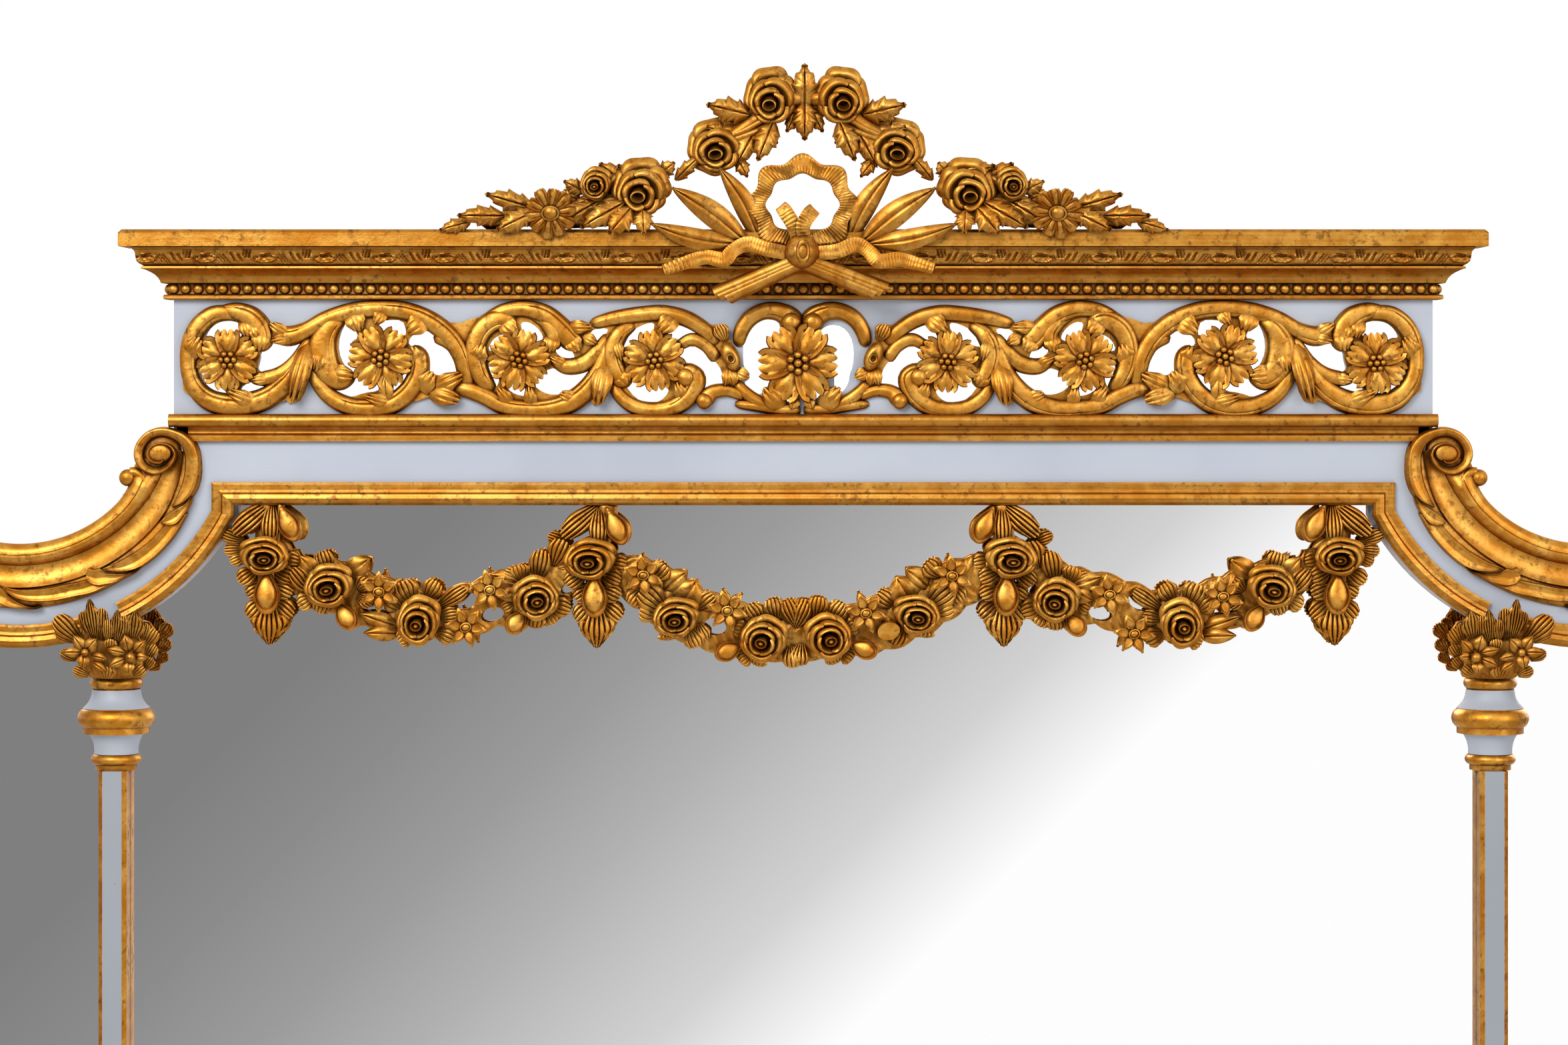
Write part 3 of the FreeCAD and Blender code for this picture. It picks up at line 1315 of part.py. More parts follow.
def build_crest():
    thickness = mm("crest_thickness")
    front_y = cap_front_y.value
    base_z = cap_top.value
    reach = mm("crest_reach")
    wreath = wreath_solid()
    wreath.translate(Vector(0, front_y + ROPE_SHARE * mm("wreath_thickness"), base_z))
    keep(fixed_shape("crest_ribbon", ribbon_solid(front_y), Vector(0, 0, base_z)), "crest_ribbon")
    cap = Part.makeBox(4 * reach, 4 * reach, base_z, Vector(-2 * reach, cap_front_y.value, 0))
    keep(fixed_shape("crest_wreath", wreath.cut(cap)), "crest_wreath")
    for side, sign in SIDES:
        outline = [Vector(sign * share[0] * reach, front_y + thickness,
                          base_z + share[1] * mm("crest_spray_height"))
                   for share in SPRAY_SHARES]
        plate = Part.Face(Part.makePolygon(outline + [outline[0]])).extrude(Vector(0, -thickness, 0))
        extras = []
        for across, up, grow in CREST_ROSE_SHARES:
            rose = rose_solid(mm("crest_rose_radius") * grow, mm("crest_rose_depth"))
            rose.translate(Vector(sign * across * reach, front_y, base_z + up * mm("crest_height")))
            extras.append(rose)
        daisy = facing_front(flower_solid(mm("crest_rose_radius") * DAISY_SHARES[2],
                                          mm("crest_rose_depth") * DAISY_DEPTH_SHARE))
        daisy.translate(Vector(sign * DAISY_SHARES[0] * reach, front_y,
                               base_z + DAISY_SHARES[1] * mm("crest_height")))
        whole = plate.fuse(extras + [daisy]).cut(cap)
        whole = whole.cut(wreath)
        solid = max(whole.Solids, key=lambda item: item.Volume)
        keep(fixed_shape("crest_spray_" + side, solid), "crest_spray_" + side)


def wreath_solid():
    """An arched rope with roses, a leaf at its top and two upright feet on the cap. Y = 0 is its middle."""
    radius = mm("wreath_radius")
    half = mm("wreath_thickness") / 2
    centre = Vector(0, 0, mm("wreath_centre_rise"))
    section = Part.Face(Part.Wire(Part.makeCircle(2 * half * ROPE_SHARE, centre + Vector(0, 0, radius),
                                                  Vector(1, 0, 0))))
    section.rotate(centre, Vector(0, 1, 0), -WREATH_REACH_ANGLE)
    parts = [section.revolve(centre, Vector(0, 1, 0), 2 * WREATH_REACH_ANGLE)]
    for angle in WREATH_ROSE_ANGLES:
        turn = math.radians(angle)
        rose = rose_solid(mm("crest_rose_radius"), mm("crest_rose_depth"))
        rose.translate(centre + Vector(math.sin(turn), 0, math.cos(turn)) * radius)
        parts.append(rose)
    leaf = leaf_plate(mm("crest_rose_radius") * TOP_LEAF_SHARE,
                      mm("crest_height") - centre.z - radius + half, half)
    leaf.translate(centre + Vector(0, half / 2, radius - half))
    parts.append(leaf)
    for sign in (-1, 1):
        turn = math.radians(WREATH_REACH_ANGLE)
        foot = centre + Vector(sign * math.sin(turn), 0, math.cos(turn)) * radius
        parts.append(Part.makeCylinder(half * WREATH_FOOT_SHARE, foot.z, Vector(foot.x, 0, 0)))
    return parts[0].fuse(parts[1:])


# Shares of a wavy tail's reach and of its width: the middle line from the knot outwards.
TAIL_SHARES = ((0.0, 0.0), (0.22, 0.75), (0.4, 0.3), (0.58, 0.8), (0.76, 0.15), (1.0, -1.0))


def ribbon_band(points, width, depth):
    """A flat band of even width along points on the XZ plane, its back on Y = 0."""
    upper = [point + Vector(0, 0, width / 2) for point in points]
    lower = [point - Vector(0, 0, width / 2) for point in reversed(points)]
    outline = upper + lower
    return Part.Face(Part.makePolygon(outline + [outline[0]])).extrude(Vector(0, -depth, 0))


def ribbon_solid(face):
    """The ring, the knot and the four tails of the ribbon, flat on the cap's face. The cap's top is Z = 0."""
    thickness = mm("ribbon_thickness")
    ring = facing_front(half_round_ring(mm("ribbon_radius"), mm("ribbon_width"), thickness))
    ring.translate(Vector(0, face, mm("ribbon_centre_rise")))
    drop = mm("knot_drop")
    span = 2 * mm("knot_radius")
    knot = Part.makeSphere(mm("knot_radius"), Vector(0, face, -drop))
    knot = knot.common(Part.makeBox(2 * span, span, 2 * span, Vector(-span, face - span, -drop - span)))
    parts = []
    for sign in (-1, 1):
        points = [Vector(sign * share[0] * mm("tail_reach"), face, -drop + share[1] * mm("tail_width"))
                  for share in TAIL_SHARES]
        parts.append(ribbon_band(points, mm("tail_width"), thickness))
        end = Vector(sign * mm("strap_reach"), face, -mm("strap_fall") + mm("tail_width") / 2)
        parts.append(ribbon_band([Vector(0, face, -drop), end], mm("tail_width"), thickness))
    return parts[0].fuse(parts[1:]).fuse(knot).fuse(ring)


def build_fixings():
    """Brass wall plates let into the back of the stiles."""
    length = size("wall_plate_length")
    height = size("wall_plate_height")
    thick = size("wall_plate_thickness")
    rise = wall_plate_z
    plates = []
    for side, sign in SIDES:
        low, high = stile_inner_x, stile_inner_x + length
        hole_x = sign * (stile_inner_x + length - size("wall_hole_margin"))
        if sign < 0:
            low, high = -high, -low
        plate = box_between("wall_plate_brass_" + side, [low, back_y - thick, rise - height / 2],
                            [high, back_y, rise + height / 2])
        hole = add_cylinder("wall_plate_hole_" + side, [hole_x, back_y - thick - overrun, rise],
                            size("wall_hole_radius"), thick + 2 * overrun, "Y")
        plates.append(cut("wall_plate_" + side, plate, [hole] + screws["plate_" + side]))
    group("wall_plates", plates)


def export_parts():
    document.recompute()
    for thing in document.Objects:
        for word in ("Invalid", "Error"):
            if word in thing.State:
                raise RuntimeError(f"{thing.Label} is {word}")
    os.makedirs("parts", exist_ok=True)
    for thing in subparts:
        shape = thing.Shape
        if shape.isNull() or not shape.isValid() or not shape.Solids:
            raise RuntimeError(f"{thing.Label} has no valid solid")
        shape.exportStep(f"parts/{thing.Label}.step")


screws = build_screws()
build_plinth()
build_plinth_moulding()
build_rear_frame()
build_plates()
build_head_boards()
build_frieze_carving()
build_architrave()
build_cornice()
build_slips()
build_foot_slips()
build_scrolls()
build_columns()
build_garland()
build_crest()
build_fixings()
export_parts()
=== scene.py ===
import bpy
import json
import math
import numpy as np
from mathutils import Matrix, Vector


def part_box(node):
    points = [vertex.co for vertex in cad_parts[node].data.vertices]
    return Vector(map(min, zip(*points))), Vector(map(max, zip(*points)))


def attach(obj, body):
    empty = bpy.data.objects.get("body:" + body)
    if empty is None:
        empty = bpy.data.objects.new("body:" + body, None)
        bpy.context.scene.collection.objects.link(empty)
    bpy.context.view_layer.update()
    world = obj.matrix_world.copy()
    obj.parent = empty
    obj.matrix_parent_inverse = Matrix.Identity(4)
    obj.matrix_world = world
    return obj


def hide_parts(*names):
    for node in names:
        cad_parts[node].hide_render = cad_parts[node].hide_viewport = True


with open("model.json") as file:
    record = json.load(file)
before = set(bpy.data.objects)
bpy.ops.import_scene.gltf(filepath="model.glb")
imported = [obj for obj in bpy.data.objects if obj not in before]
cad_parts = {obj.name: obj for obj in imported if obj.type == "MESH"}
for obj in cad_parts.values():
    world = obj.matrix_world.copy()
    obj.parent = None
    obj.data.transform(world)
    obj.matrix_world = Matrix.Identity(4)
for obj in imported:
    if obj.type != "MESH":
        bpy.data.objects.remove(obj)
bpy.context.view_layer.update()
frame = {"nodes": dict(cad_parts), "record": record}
NODES = frame["nodes"]
MM = 0.001

# The view: the photograph is 2352 x 1568, taken square on from about three metres.
PHOTO_WIDTH = 2352
PHOTO_HEIGHT = 1568
EYE = Vector((0.0, -2.99, 1.251))
LENS = 91.84
SENSOR = 36.0
SHIFT_X = -0.0123
SHIFT_Y = -0.08
FOCUS = PHOTO_WIDTH * LENS / SENSOR
# The place of the photograph that lies straight ahead of the camera.
AHEAD_X = PHOTO_WIDTH * (0.5 - SHIFT_X)
AHEAD_Y = PHOTO_HEIGHT * 0.5 + SHIFT_Y * PHOTO_WIDTH
# The carving is near enough the same on both sides of this upright.
MIDDLE_X = 1205

# Planes of the front, in metres from the middle of the depth: the plates and the boards.
GLASS_Y = 0.024
BOARD_Y = 0.010


# Shader sums

class Shade:
    """A socket of a material. Sums of shades are written as plain expressions."""

    def __init__(self, tree, socket=None):
        self.tree = tree
        self.socket = socket

    def node(self, kind, settings=None, inputs=None, output=0):
        """Adds a node: its settings first, then the values or links of its sockets."""
        made = self.tree.nodes.new(kind)
        for name, value in (settings or {}).items():
            if name == "stops":
                ramp = made.color_ramp.elements
                while len(ramp) < len(value):
                    ramp.new(1.0)
                for stop, (place, colour) in zip(ramp, value):
                    stop.position = place
                    stop.color = colour
            else:
                setattr(made, name, value)
        for name, value in (inputs or {}).items():
            if isinstance(value, Shade):
                self.tree.links.new(value.socket, made.inputs[name])
            else:
                made.inputs[name].default_value = value
        return Shade(self.tree, made.outputs[output] if len(made.outputs) else None)

    def math(self, operation, first, second=0.0):
        return self.node("ShaderNodeMath", {"operation": operation}, {0: first, 1: second})

    def __add__(self, other):
        return self.math("ADD", self, other)

    def __radd__(self, other):
        return self.math("ADD", other, self)

    def __sub__(self, other):
        return self.math("SUBTRACT", self, other)

    def __rsub__(self, other):
        return self.math("SUBTRACT", other, self)

    def __mul__(self, other):
        return self.math("MULTIPLY", self, other)

    def __rmul__(self, other):
        return self.math("MULTIPLY", other, self)

    def __truediv__(self, other):
        return self.math("DIVIDE", self, other)

    def __abs__(self):
        return self.math("ABSOLUTE", self)

    def top(self, other):
        return self.math("MAXIMUM", self, other)

    def low(self, other):
        return self.math("MINIMUM", self, other)

    def between(self, start, end):
        """0 below start, 1 above end, smooth between."""
        return self.node("ShaderNodeMapRange", {"interpolation_type": "SMOOTHSTEP"},
                         {"Value": self, "From Min": start, "From Max": end})

    def tint(self, first, second):
        """Mixes two colours by this value."""
        return self.node("ShaderNodeMix", {"data_type": "RGBA"}, {0: self, 6: first, 7: second}, 2)


def new_finish(name):
    material = bpy.data.materials.new(name)
    material.use_nodes = True
    material.node_tree.nodes.clear()
    return material, Shade(material.node_tree)


def surface(start, **sockets):
    """The material's one shader and its output."""
    inputs = {name.replace("_", " ").title().replace("Ior", "IOR"): value for name, value in sockets.items()}
    shader = start.node("ShaderNodeBsdfPrincipled", None, inputs)
    start.node("ShaderNodeOutputMaterial", None, {"Surface": shader})


def place_on(start):
    return start.node("ShaderNodeTexCoord", output="Object")


def stretched(start, place, scale):
    return start.node("ShaderNodeMapping", None, {"Vector": place, "Scale": scale})


def clouds(start, place, scale, detail=3.0, rough=0.55):
    return start.node("ShaderNodeTexNoise", None,
                      {"Vector": place, "Scale": scale, "Detail": detail, "Roughness": rough})


def colour(red, green, blue):
    return (red, green, blue, 1.0)


LEAF_BRIGHT = colour(0.68, 0.342, 0.058)
LEAF_DEEP = colour(0.50, 0.188, 0.014)
# Red bole shows where the leaf is rubbed through; it is also the colour of the shade painted into the
# hollows.
BOLE_AND_SHADE = colour(0.120, 0.034, 0.003)
# Darkest brown: painted shade in the deepest hollows.
DEEPEST_SHADE = colour(0.045, 0.0145, 0.002)


def gilt(start, place, drawn_out=False, toned=0.0):
    """Colour, roughness, metal and normal of old leaf on red bole: worn in places, with shade painted into
    the hollows.
    """
    near = start.node("ShaderNodeAmbientOcclusion", {"samples": 4}, {"Distance": 0.0035}, "AO")
    wide = start.node("ShaderNodeAmbientOcclusion", {"samples": 4}, {"Distance": 0.016}, "AO")
    fine = clouds(start, place, 520.0, 2.0)
    patch = clouds(start, place, 75.0, 3.0, 0.65)
    worn = clouds(start, place, 170.0, 3.0, 0.7)
    tone = patch
    if drawn_out:
        streak = clouds(start, stretched(start, place, (7.0, 160.0, 420.0)), 1.0, 3.0)
        tone = patch * 0.4 + streak * 0.6
    broad = clouds(start, place, 26.0, 3.0, 0.6)
    leaf = (tone * 0.6 + broad * 0.4).between(0.40, 0.62).tint(LEAF_DEEP, LEAF_BRIGHT)
    rubbed = (worn * 0.7 + broad * 0.3).between(0.51, 0.66) * 0.72
    leaf = rubbed.tint(leaf, BOLE_AND_SHADE)
    if toned:
        leaf = (toned * (1.5 - patch)).tint(leaf, BOLE_AND_SHADE)
    # Painted shade: where occlusion finds a hollow, the leaf is darkened to bole red and, deepest, to darkest
    # brown; there it is also rougher and a little less metallic.
    hollow = near * 0.42 + wide * 0.58 + (fine - 0.5) * 0.14 + (patch - 0.5) * 0.16
    painted_shade = 1 - hollow.between(0.45, 0.93)
    leaf = (painted_shade * 0.94).tint(leaf, BOLE_AND_SHADE)
    leaf = (1 - hollow.between(0.18, 0.55)).tint(leaf, DEEPEST_SHADE)
    rough = 0.33 + 0.14 * patch + 0.16 * painted_shade + 0.10 * rubbed
    metal = 0.94 - painted_shade * 0.10
    height = fine * 0.3 + worn * 0.7
    normal = start.node("ShaderNodeBump", None, {"Strength": 0.2, "Distance": 0.0012, "Height": height})
    return leaf, rough, metal, normal


def make_gilding(name, drawn_out, toned):
    material, start = new_finish(name)
    leaf, rough, metal, normal = gilt(start, place_on(start), drawn_out, toned)
    surface(start, base_color=leaf, roughness=rough, metallic=metal, normal=normal, coat_weight=0.15,
            coat_roughness=0.24, specular_tint=(1.0, 0.55, 0.14, 1.0))
    return material


PAINT = colour(0.43, 0.470, 0.545)
PAINT_PALE = colour(0.49, 0.530, 0.60)
# Grey of the shade painted into the corners and onto the shaded copies of the paint.
PAINT_SHADE = colour(0.23, 0.235, 0.25)


def blended(first, second, share):
    return tuple(one + (other - one) * share for one, other in zip(first, second))


def paint(start, place, deep=0.0):
    """Colour, roughness and normal of brushed oil paint, chipped in places, with shade painted darker into
    the corners; deep gives a darker, shaded copy of the whole coat.
    """
    broad = clouds(start, place, 7.0, 3.0)
    brush = clouds(start, stretched(start, place, (18.0, 60.0, 420.0)), 1.0, 2.0)
    speck = clouds(start, place, 260.0, 2.0)
    chip = clouds(start, place, 95.0, 5.0, 0.72)
    hollow = start.node("ShaderNodeAmbientOcclusion", {"samples": 4}, {"Distance": 0.014}, "AO")
    # A share deep of the coat is painted darker, as shade, for parts that take a shaded copy of the paint.
    coat = broad.between(0.3, 0.7).tint(blended(PAINT, PAINT_SHADE, deep),
                                        blended(PAINT_PALE, PAINT_SHADE, deep))
    # Painted shade: where occlusion finds a corner or a place under a moulding, the paint is darkened, with
    # some speckle.
    corner_shade = (1 - (hollow + (speck - 0.5) * 0.2).between(0.12, 0.62)) * 0.5
    coat = corner_shade.tint(coat, PAINT_SHADE)
    lost = chip.between(0.735, 0.755)
    coat = lost.tint(coat, colour(0.15, 0.11, 0.08))
    rough = 0.42 + 0.12 * broad + 0.2 * lost
    height = brush * 0.5 + speck * 0.25 - lost * 1.2
    normal = start.node("ShaderNodeBump", None, {"Strength": 0.12, "Distance": 0.001, "Height": height})
    return coat, rough, normal


def make_paint():
    material, start = new_finish("blue_paint")
    coat, rough, normal = paint(start, place_on(start))
    surface(start, base_color=coat, roughness=rough, normal=normal)
    return material


def two_tone(name, gold_mask, deep=0.0):
    """Paint with gilt parts: gold_mask gives 1 where the leaf lies, from the parts of the place."""
    material, start = new_finish(name)
    place = place_on(start)
    parts = {axis: start.node("ShaderNodeSeparateXYZ", None, {"Vector": place}, axis) for axis in "XYZ"}
    mask = gold_mask(parts["X"], parts["Y"], parts["Z"])
    leaf, leaf_rough, metal, leaf_normal = gilt(start, place)
    coat, coat_rough, coat_normal = paint(start, place, deep)
    gold = start.node("ShaderNodeBsdfPrincipled", None, {"Base Color": leaf, "Roughness": leaf_rough,
                                                         "Metallic": metal, "Normal": leaf_normal})
    blue = start.node("ShaderNodeBsdfPrincipled", None, {"Base Color": coat, "Roughness": coat_rough,
                                                         "Normal": coat_normal})
    both = start.node("ShaderNodeMixShader", None, {0: mask, 1: blue, 2: gold})
    start.node("ShaderNodeOutputMaterial", None, {"Surface": both})
    return material


def make_mirror():
    material, start = new_finish("mirror_plate")
    place = place_on(start)
    haze = clouds(start, place, 9.0, 4.0)
    speck = clouds(start, place, 340.0, 2.0).between(0.76, 0.8)
    silver = speck.tint(colour(0.985, 0.985, 0.985), colour(0.86, 0.86, 0.85))
    surface(start, base_color=silver, metallic=1.0, roughness=haze * 0.006 + speck * 0.02)
    return material


def make_timber():
    material, start = new_finish("bare_timber")
    place = place_on(start)
    warp = clouds(start, place, 6.0, 2.0)
    along = stretched(start, place, (70.0, 70.0, 2.2))
    grain = clouds(start, along, 1.6, 5.0, 0.6)
    pore = clouds(start, stretched(start, place, (420.0, 420.0, 14.0)), 1.0, 2.0)
    wood = (grain * 0.75 + warp * 0.25).between(0.35, 0.68).tint(colour(0.36, 0.22, 0.115),
                                                                 colour(0.56, 0.39, 0.22))
    wood = pore.between(0.6, 0.75).tint(wood, colour(0.22, 0.125, 0.06))
    height = grain - pore * 0.5
    normal = start.node("ShaderNodeBump", None, {"Strength": 0.2, "Distance": 0.001, "Height": height})
    surface(start, base_color=wood, roughness=0.62 + 0.15 * grain, normal=normal)
    return material


def make_gesso():
    material, start = new_finish("bare_gesso")
    place = place_on(start)
    chalk = clouds(start, place, 60.0, 4.0)
    white = chalk.between(0.35, 0.65).tint(colour(0.62, 0.50, 0.40), colour(0.74, 0.65, 0.56))
    surface(start, base_color=white, roughness=0.7 + 0.2 * chalk)
    return material


def make_back_board():
    material, start = new_finish("back_board")
    place = place_on(start)
    blotch = clouds(start, place, 5.0, 4.0)
    fibre = clouds(start, stretched(start, place, (260.0, 260.0, 40.0)), 1.0, 4.0, 0.65)
    board = (blotch * 0.6 + fibre * 0.4).between(0.35, 0.65).tint(colour(0.17, 0.105, 0.06),
                                                                  colour(0.27, 0.175, 0.10))
    normal = start.node("ShaderNodeBump", None, {"Strength": 0.15, "Distance": 0.0008, "Height": fibre})
    surface(start, base_color=board, roughness=0.7 + 0.15 * blotch, normal=normal)
    return material


def make_brass():
    material, start = new_finish("brass")
    place = place_on(start)
    tarnish = clouds(start, place, 60.0, 4.0)
    line = clouds(start, stretched(start, place, (900.0, 900.0, 40.0)), 1.0, 2.0)
    metal = tarnish.between(0.4, 0.72).tint(colour(0.72, 0.52, 0.21), colour(0.34, 0.22, 0.085))
    normal = start.node("ShaderNodeBump", None, {"Strength": 0.08, "Distance": 0.0004, "Height": line})
    surface(start, base_color=metal, metallic=1.0, roughness=0.26 + 0.2 * tarnish, normal=normal)
    return material


# Modelling helpers

def deselect():
    for piece in bpy.context.selected_objects:
        piece.select_set(False)


def pick(piece):
    deselect()
    piece.select_set(True)
    bpy.context.view_layer.objects.active = piece


def points_of(piece):
    flat = np.empty(len(piece.data.vertices) * 3, np.float32)
    piece.data.vertices.foreach_get("co", flat)
    return flat.reshape(-1, 3).astype(float)


def set_points(piece, points):
    piece.data.vertices.foreach_set("co", np.asarray(points, np.float32).ravel())
    piece.data.update()


def carve_sheet(across, along, form):
    """A grid carved into shape. form takes u from -1 to 1 and v from 0 to 1 and gives places in mm."""
    deselect()
    bpy.ops.mesh.primitive_grid_add(x_subdivisions=across, y_subdivisions=along, size=2)
    piece = bpy.context.object
    points = points_of(piece)
    shaped = form(points[:, 0], (points[:, 1] + 1) / 2)
    set_points(piece, np.stack(np.broadcast_arrays(*shaped), axis=1) * MM)
    return piece


def carve_ball(around, rings, form):
    """A ball carved into shape. form takes the unit places and gives places in mm."""
    deselect()
    bpy.ops.mesh.primitive_uv_sphere_add(segments=around, ring_count=rings, radius=1)
    piece = bpy.context.object
    points = points_of(piece)
    shaped = form(points[:, 0], points[:, 1], points[:, 2])
    set_points(piece, np.stack(np.broadcast_arrays(*shaped), axis=1) * MM)
    return piece


def turned_over(piece):
    """Turns the faces of a carved sheet outwards."""
    piece.data.flip_normals()
    return piece


def modify(piece, kind, **settings):
    pick(piece)
    modifier = piece.modifiers.new(kind.lower(), kind)
    for name, value in settings.items():
        setattr(modifier, name, value)
    bpy.ops.object.modifier_apply(modifier=modifier.name)
    return piece


def thicken(piece, thickness, offset=-1.0):
    return modify(piece, "SOLIDIFY", thickness=thickness * MM, offset=offset, use_even_offset=False)


def weld(piece, distance=0.01):
    pick(piece)
    bpy.ops.object.mode_set(mode="EDIT")
    bpy.ops.mesh.select_all(action="SELECT")
    bpy.ops.mesh.remove_doubles(threshold=distance * MM)
    bpy.ops.mesh.normals_make_consistent(inside=False)
    bpy.ops.object.mode_set(mode="OBJECT")
    return piece


def smooth(piece, angle=40):
    pick(piece)
    bpy.ops.object.shade_smooth_by_angle(angle=math.radians(angle))
    return piece


def copied(piece, matrix):
    """A copy with its own mesh, moved by the matrix."""
    mesh = piece.data.copy()
    mesh.transform(matrix)
    if matrix.determinant() < 0:
        mesh.flip_normals()
    copy = bpy.data.objects.new(piece.name, mesh)
    bpy.context.scene.collection.objects.link(copy)
    return copy


def drop(*pieces):
    for piece in pieces:
        bpy.data.objects.remove(piece)


def join(name, pieces):
    deselect()
    for piece in pieces:
        piece.select_set(True)
    bpy.context.view_layer.objects.active = pieces[0]
    bpy.ops.object.join()
    whole = bpy.context.object
    whole.name = name
    whole.data.name = name
    return whole


def finish_piece(piece, slot, material, *replaced):
    piece.data.materials.clear()
    piece.data.materials.append(material)
    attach(piece, "root")
    if replaced:
        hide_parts(*replaced)
    return piece


# A carving faces +Z as it is modelled. This turns it to the front: X stays, its Y goes up.
TO_FRONT = Matrix(((1, 0, 0, 0), (0, 0, -1, 0), (0, 1, 0, 0), (0, 0, 0, 1)))


def at_pixel(across, down, depth):
    """The point on the plane Y = depth that shows at a place of the photograph."""
    far = (depth - EYE.y) / FOCUS
    return Vector((EYE.x + (across - AHEAD_X) * far, depth, EYE.z - (down - AHEAD_Y) * far))


def drawn(points, depth):
    """Places of the photograph as points of a carving, in mm, before it is turned to the front."""
    found = [at_pixel(across, down, depth) for across, down in points]
    return [(point.x / MM, point.z / MM, -point.y / MM) for point in found]


def laid(piece, base, tip, depth, length, width=1.0, lift=0.0, thick=1.0):
    """A copy of a leaf that is length mm long, laid from place to place of the photograph, its tip lifted."""
    first = at_pixel(base[0], base[1], depth)
    way = at_pixel(tip[0], tip[1], depth) - first
    size = way.length / (length * MM)
    roll = math.degrees(math.atan2(way.z, way.x)) - 90
    lean = Matrix.Rotation(math.radians(roll), 4, "Z") @ Matrix.Rotation(math.radians(lift), 4, "X")
    scale = Matrix.Diagonal((size * width, size, size * thick, 1))
    return copied(piece, Matrix.Translation(first) @ TO_FRONT @ lean @ scale)


def on_front(place, roll=0.0, size=1.0, nod=0.0, flip=1):
    """A carving's matrix: roll in its plane, size and nod down, in degrees, then its place."""
    lean = Matrix.Rotation(math.radians(nod), 4, "X")
    scale = Matrix.Diagonal((flip * size, size, size, 1))
    return Matrix.Translation(place) @ TO_FRONT @ lean @ scale @ Matrix.Rotation(math.radians(roll), 4, "Z")


GILDING = make_gilding("gilding", False, 0.10)
GILT_MOULDING = make_gilding("gilt_moulding", True, 0.26)
GILT_CARVING = make_gilding("gilt_carving", False, 0.26)
BLUE = make_paint()
MIRROR = make_mirror()
TIMBER = make_timber()
GESSO = make_gesso()
BACK_BOARD = make_back_board()
BRASS = make_brass()
FINISHES = {"gilding": GILT_MOULDING, "blue_paint": BLUE, "mirror_plate": MIRROR, "bare_timber": TIMBER,
            "back_board": BACK_BOARD, "brass": BRASS}


def dress_nodes():
    """Gives every solid of the frame its finish."""
    slots = {entry["node"]: entry["material_slot"] for entry in frame["record"]["subparts"]}
    for name, node in NODES.items():
        node.data.materials.clear()
        node.data.materials.append(FINISHES[slots[name]])


dress_nodes()


# Carved ornaments, each modelled once, facing +Z

def turned_cup(profile, radius, around):
    """A slightly oval cup turned from profile points of radius and height shares."""
    count = len(profile) - 1
    across = np.array([point[0] for point in profile])
    up = np.array([point[1] for point in profile])

    def form(u, v):
        turn = np.pi * u
        where = v * count
        ring = np.interp(where, np.arange(count + 1), across)
        lift = np.interp(where, np.arange(count + 1), up)
        return radius * ring * np.cos(turn), radius * ring * 0.82 * np.sin(turn), radius * lift
    return weld(carve_sheet(around, 2 * count, form))


def rounded(points):
    """A closed outline with its corners cut off."""
    outline = np.array(points, float)
    after = np.roll(outline, -1, axis=0)
    return np.stack([0.75 * outline + 0.25 * after, 0.25 * outline + 0.75 * after], axis=1).reshape(-1, 2)


# Rings of petals of an open and a closed rose, as shares of its radius:
# count, first turn, spread, foot and rim (reach, height), curl.
OPEN_RINGS = ((5, 1.57, 0.80, (0.30, 0.00), (1.00, 0.28), 0.14), (3, 0.60, 1.20, (0.24, 0.10), (0.78, 0.52),
                                                                  0.13),
              (3, 1.90, 1.25, (0.18, 0.24), (0.50, 0.72), 0.08))
CLOSED_RINGS = ((4, 1.2, 1.02, (0.30, 0.00), (1.00, 0.46), 0.12), (3, 0.2, 1.25, (0.34, 0.20), (0.80, 0.70),
                                                                   0.14),
                (3, 1.5, 1.30, (0.30, 0.40), (0.52, 0.86), 0.10))
# How far each petal of a ring reaches beyond or short of the rest.
PETAL_REACHES = (1.02, 0.90, 1.0, 0.88, 0.96)
OPEN_MOUTH = ((0.90, 0.0), (1.0, 1.7), (0.96, 2.5), (0.80, 2.6), (0.64, 2.2), (0.52, 1.2), (0.0, 1.0))
CLOSED_MOUTH = ((0.90, 0.0), (1.0, 1.7), (1.0, 2.4), (0.86, 2.6), (0.66, 2.3), (0.56, 2.1), (0.3, 2.5),
                (0.0, 2.7))


def cupped_petal(size, turn, spread, foot, rim, curl):
    """One cupped petal of a rose, its rim rolled outwards and its left side over its neighbour."""
    def form(u, v):
        rise = v * (1 - 0.26 * np.abs(u) ** 3 - 0.06 * np.cos(5.5 * u) * v)
        angle = turn + spread * u * (0.72 + 0.28 * v)
        reach = foot[0] + (rim[0] - foot[0]) * rise ** 0.85
        lift = foot[1] + (rim[1] - foot[1]) * np.sin(rise * np.pi / 2)
        lift = lift - curl * np.clip((v - 0.72) / 0.28, 0, 1) ** 2 + 0.10 * u * v
        return size * reach * np.cos(angle), size * reach * np.sin(angle), size * lift
    return thicken(carve_sheet(16, 14, form), 0.05 * size)


